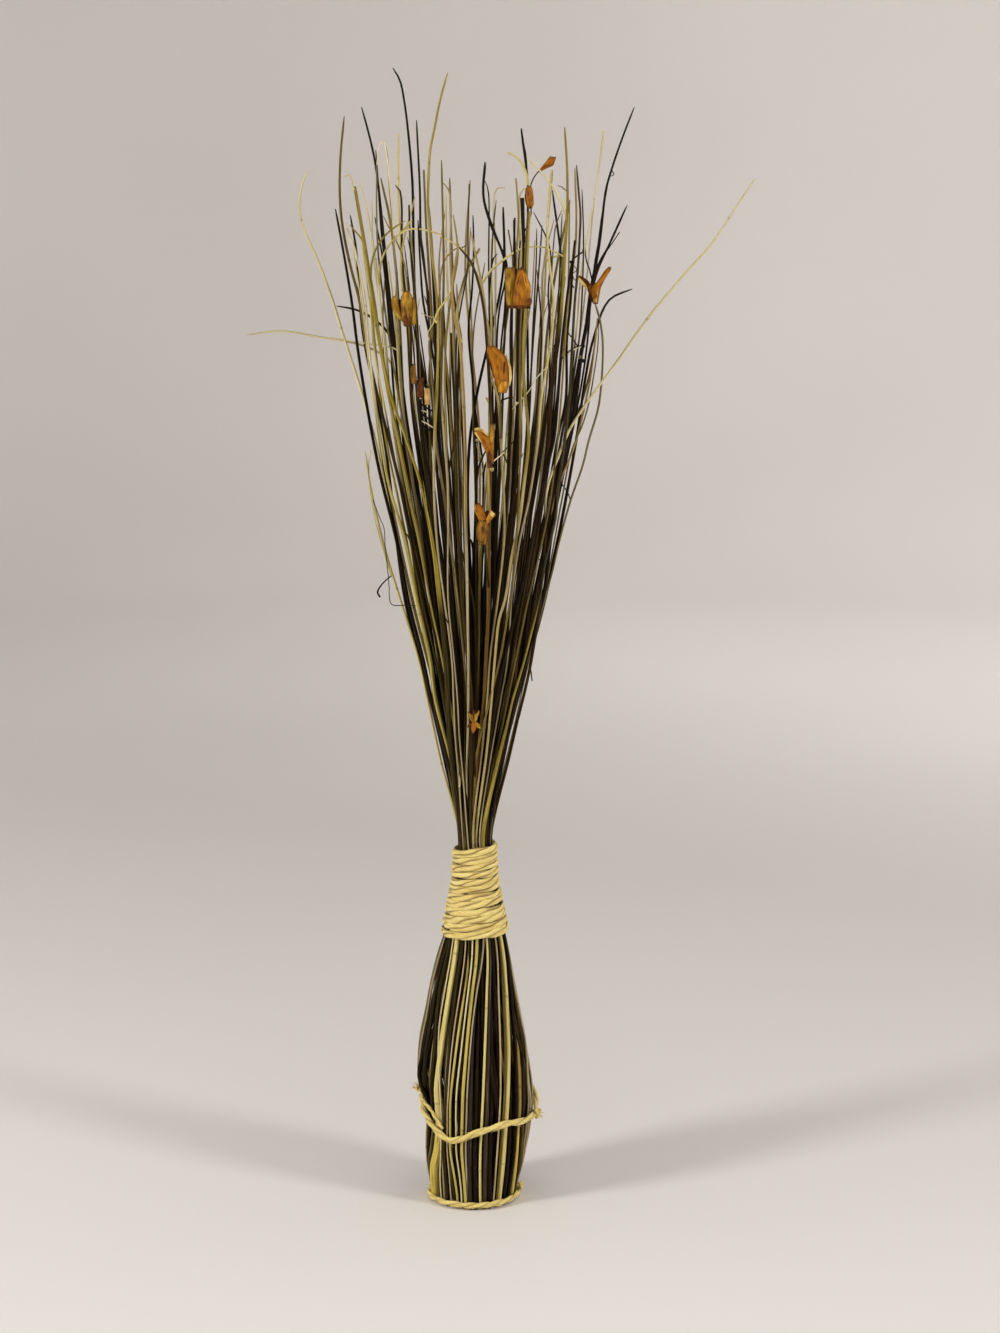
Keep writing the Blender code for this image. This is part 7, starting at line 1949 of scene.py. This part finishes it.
# Husks on stalks of their own: node, tone, (u, v) of the husk's foot, radius
# (mm). A stalk leaves the reed that passes behind the husk a little lower.
STALKS = (
    ("husk_leaf", "olive", (500.0, 394.0), 1.0),
    ("husk_middle_fork", "tan", (488.0, 466.0), 1.1),
    ("husk_tulip", "brown", (484.0, 544.0), 1.2),
    ("husk_star", "dark", (474.0, 731.0), 0.9),
)
for index, (node, tone, (u, v), thick) in enumerate(STALKS):
    rng = np.random.default_rng(960 + index)
    end = husk_foot[node] - np.array(FOOT) + np.array((0.0, 0.6 * thick / 1000.0, 0.005))
    y = end[1]
    best = None
    for name, (points, radius) in REED_LINES.items():
        uu, vv = on_sheet(points)
        cost = np.abs(uu - u) + np.abs(points[:, 1] - y) * 700.0 + np.where(np.abs(vv - v - 62.0) < 22.0, 0.0, 1e6)
        i = int(np.argmin(cost))
        if best is None or cost[i] < best[0]:
            best = (cost[i], points[i], float(uu[i]), float(vv[i]))
    _, root, ru, rv = best
    points = [np.array(root)]
    for f in (0.22, 0.45, 0.70, 0.88, 1.0):
        out = math.sin(0.5 * math.pi * f)
        points.append(np.array(at_depth(ru + (u - ru) * f, rv + (v - 6.0 - rv) * f, root[1] + (y - root[1]) * out)))
    points[-1] = end
    rows = as_rows(smooth_course(points, 0.0015))
    cum = measured(rows)
    t = cum / cum[-1]
    radius = thick / 1000.0 * (1.0 - 0.25 * t) * (1 + wobble(rng, 0.03, 0.06)(cum))
    build = Build()
    build.tube(rows, radius, sides=8, ribs=0.05, rib_count=3, offset=tuple(rng.uniform(0, 90, 3)), up=1.0,
               joint=0.0, reach=0.3 * t)
    piece = build.piece("stalk_" + node[5:])
    piece.data.materials.append(reed_material(tone, tone))
    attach(piece, "root")

# --------------------------------------------------------------------- stage
def floor_material():
    n = Nodes("studio_floor")
    place = n.new("ShaderNodeTexCoord").outputs["Object"]
    cloud = n.noise(place, 0.55, 2.0, 0.5)
    fine = n.noise(place, 260.0, 2.0, 0.6)
    colour = n.ramp(n.remap(cloud, 0.3, 0.7), [(0.0, linear(229, 224, 220)), (1.0, linear(237, 233, 229))])
    n.link(colour, n.shader.inputs["Base Color"])
    n.link(n.remap(fine, 0.3, 0.7, 0.62, 0.74), n.shader.inputs["Roughness"])
    n.shader.inputs["Specular IOR Level"].default_value = 0.22
    n.bump(fine, 0.05, 0.0002)
    return n.material


def bowl():
    """A pale floor that rises all round into a far wall."""
    flat, curve, top = 3.4, 2.2, 5.2
    profile = [(0.0, 0.0), (0.6, 0.0), (1.4, 0.0), (2.4, 0.0), (flat, 0.0)]
    for i in range(1, 25):
        a = math.pi / 2 * i / 24
        profile.append((flat + curve * math.sin(a), curve * (1 - math.cos(a))))
    profile.append((flat + curve, top))
    build_verts, faces = [(0.0, 0.0, 0.0)], []
    around = 96
    for r, z in profile[1:]:
        for k in range(around):
            a = 2 * math.pi * k / around
            build_verts.append((r * math.sin(a), r * math.cos(a), z))
    for k in range(around):
        faces.append((0, 1 + (k + 1) % around, 1 + k))
    for ring in range(len(profile) - 2):
        for k in range(around):
            a, b = 1 + ring * around + k, 1 + ring * around + (k + 1) % around
            faces.append((a, b, b + around, a + around))
    mesh = bpy.data.meshes.new("studio")
    mesh.from_pydata(build_verts, [], faces)
    mesh.shade_smooth()
    obj = bpy.data.objects.new("studio", mesh)
    bpy.context.scene.collection.objects.link(obj)
    obj.data.materials.append(floor_material())
    return obj


bowl()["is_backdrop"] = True
bpy.context.scene.view_settings.view_transform = "Standard"


def area(name, place, aim, size, watts, colour=(1.0, 1.0, 1.0), spread=math.pi, tall=None):
    data = bpy.data.lights.new(name, "AREA")
    data.shape = "RECTANGLE"
    data.size = size
    data.size_y = tall or size
    data.energy = watts
    data.color = colour
    data.spread = spread
    obj = bpy.data.objects.new(name, data)
    obj.location = place
    obj.rotation_euler = (Vector(aim) - Vector(place)).to_track_quat("-Z", "Y").to_euler()
    obj.visible_camera = False
    bpy.context.scene.collection.objects.link(obj)
    return obj


# two low soft lights from the front left and right, which throw the two long
# soft shadows back along the floor, and a broad soft light from above
area("key_right", (2.35, -1.45, 1.45), (0.0, 0.1, 0.45), 0.55, 39.0, (1.0, 0.975, 0.94), tall=0.8)
area("key_left", (-2.35, -1.35, 1.40), (0.0, 0.1, 0.45), 0.55, 50.0, (1.0, 0.98, 0.95), tall=0.8)
area("top", (0.2, -0.6, 3.4), (0.0, 0.15, 0.0), 2.4, 28.0, (1.0, 0.99, 0.97))
# the studio walls get their own light all round
for k in range(6):
    a = math.radians(60 * k + 30)
    area(f"wall_{k}", (2.3 * math.sin(a), 2.3 * math.cos(a), 2.2), (6.0 * math.sin(a), 6.0 * math.cos(a), 0.2), 1.4,
         (35.0, 25.0, 15.0, 13.0, 10.0, 6.0)[k], (1.0, 0.975, 0.955))

world = bpy.data.worlds.new("soft_room")
world.use_nodes = True
world.node_tree.nodes["Background"].inputs[0].default_value = (0.80, 0.78, 0.765, 1.0)
world.node_tree.nodes["Background"].inputs[1].default_value = 0.20
bpy.context.scene.world = world

camera_data = bpy.data.cameras.new("camera")
camera_data.sensor_width = 36.0
camera_data.sensor_fit = "AUTO"
camera_data.lens = SHEET_DISTANCE / 1333.0 * 36.0
camera_data.clip_end = 60.0
camera = bpy.data.objects.new("camera", camera_data)
camera.location = Vector(EYE) + FOOT
camera.rotation_euler = (math.radians(90.0) - EYE_DOWN, 0.0, 0.0)
bpy.context.scene.collection.objects.link(camera)
bpy.context.scene.camera = camera

low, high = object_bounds()
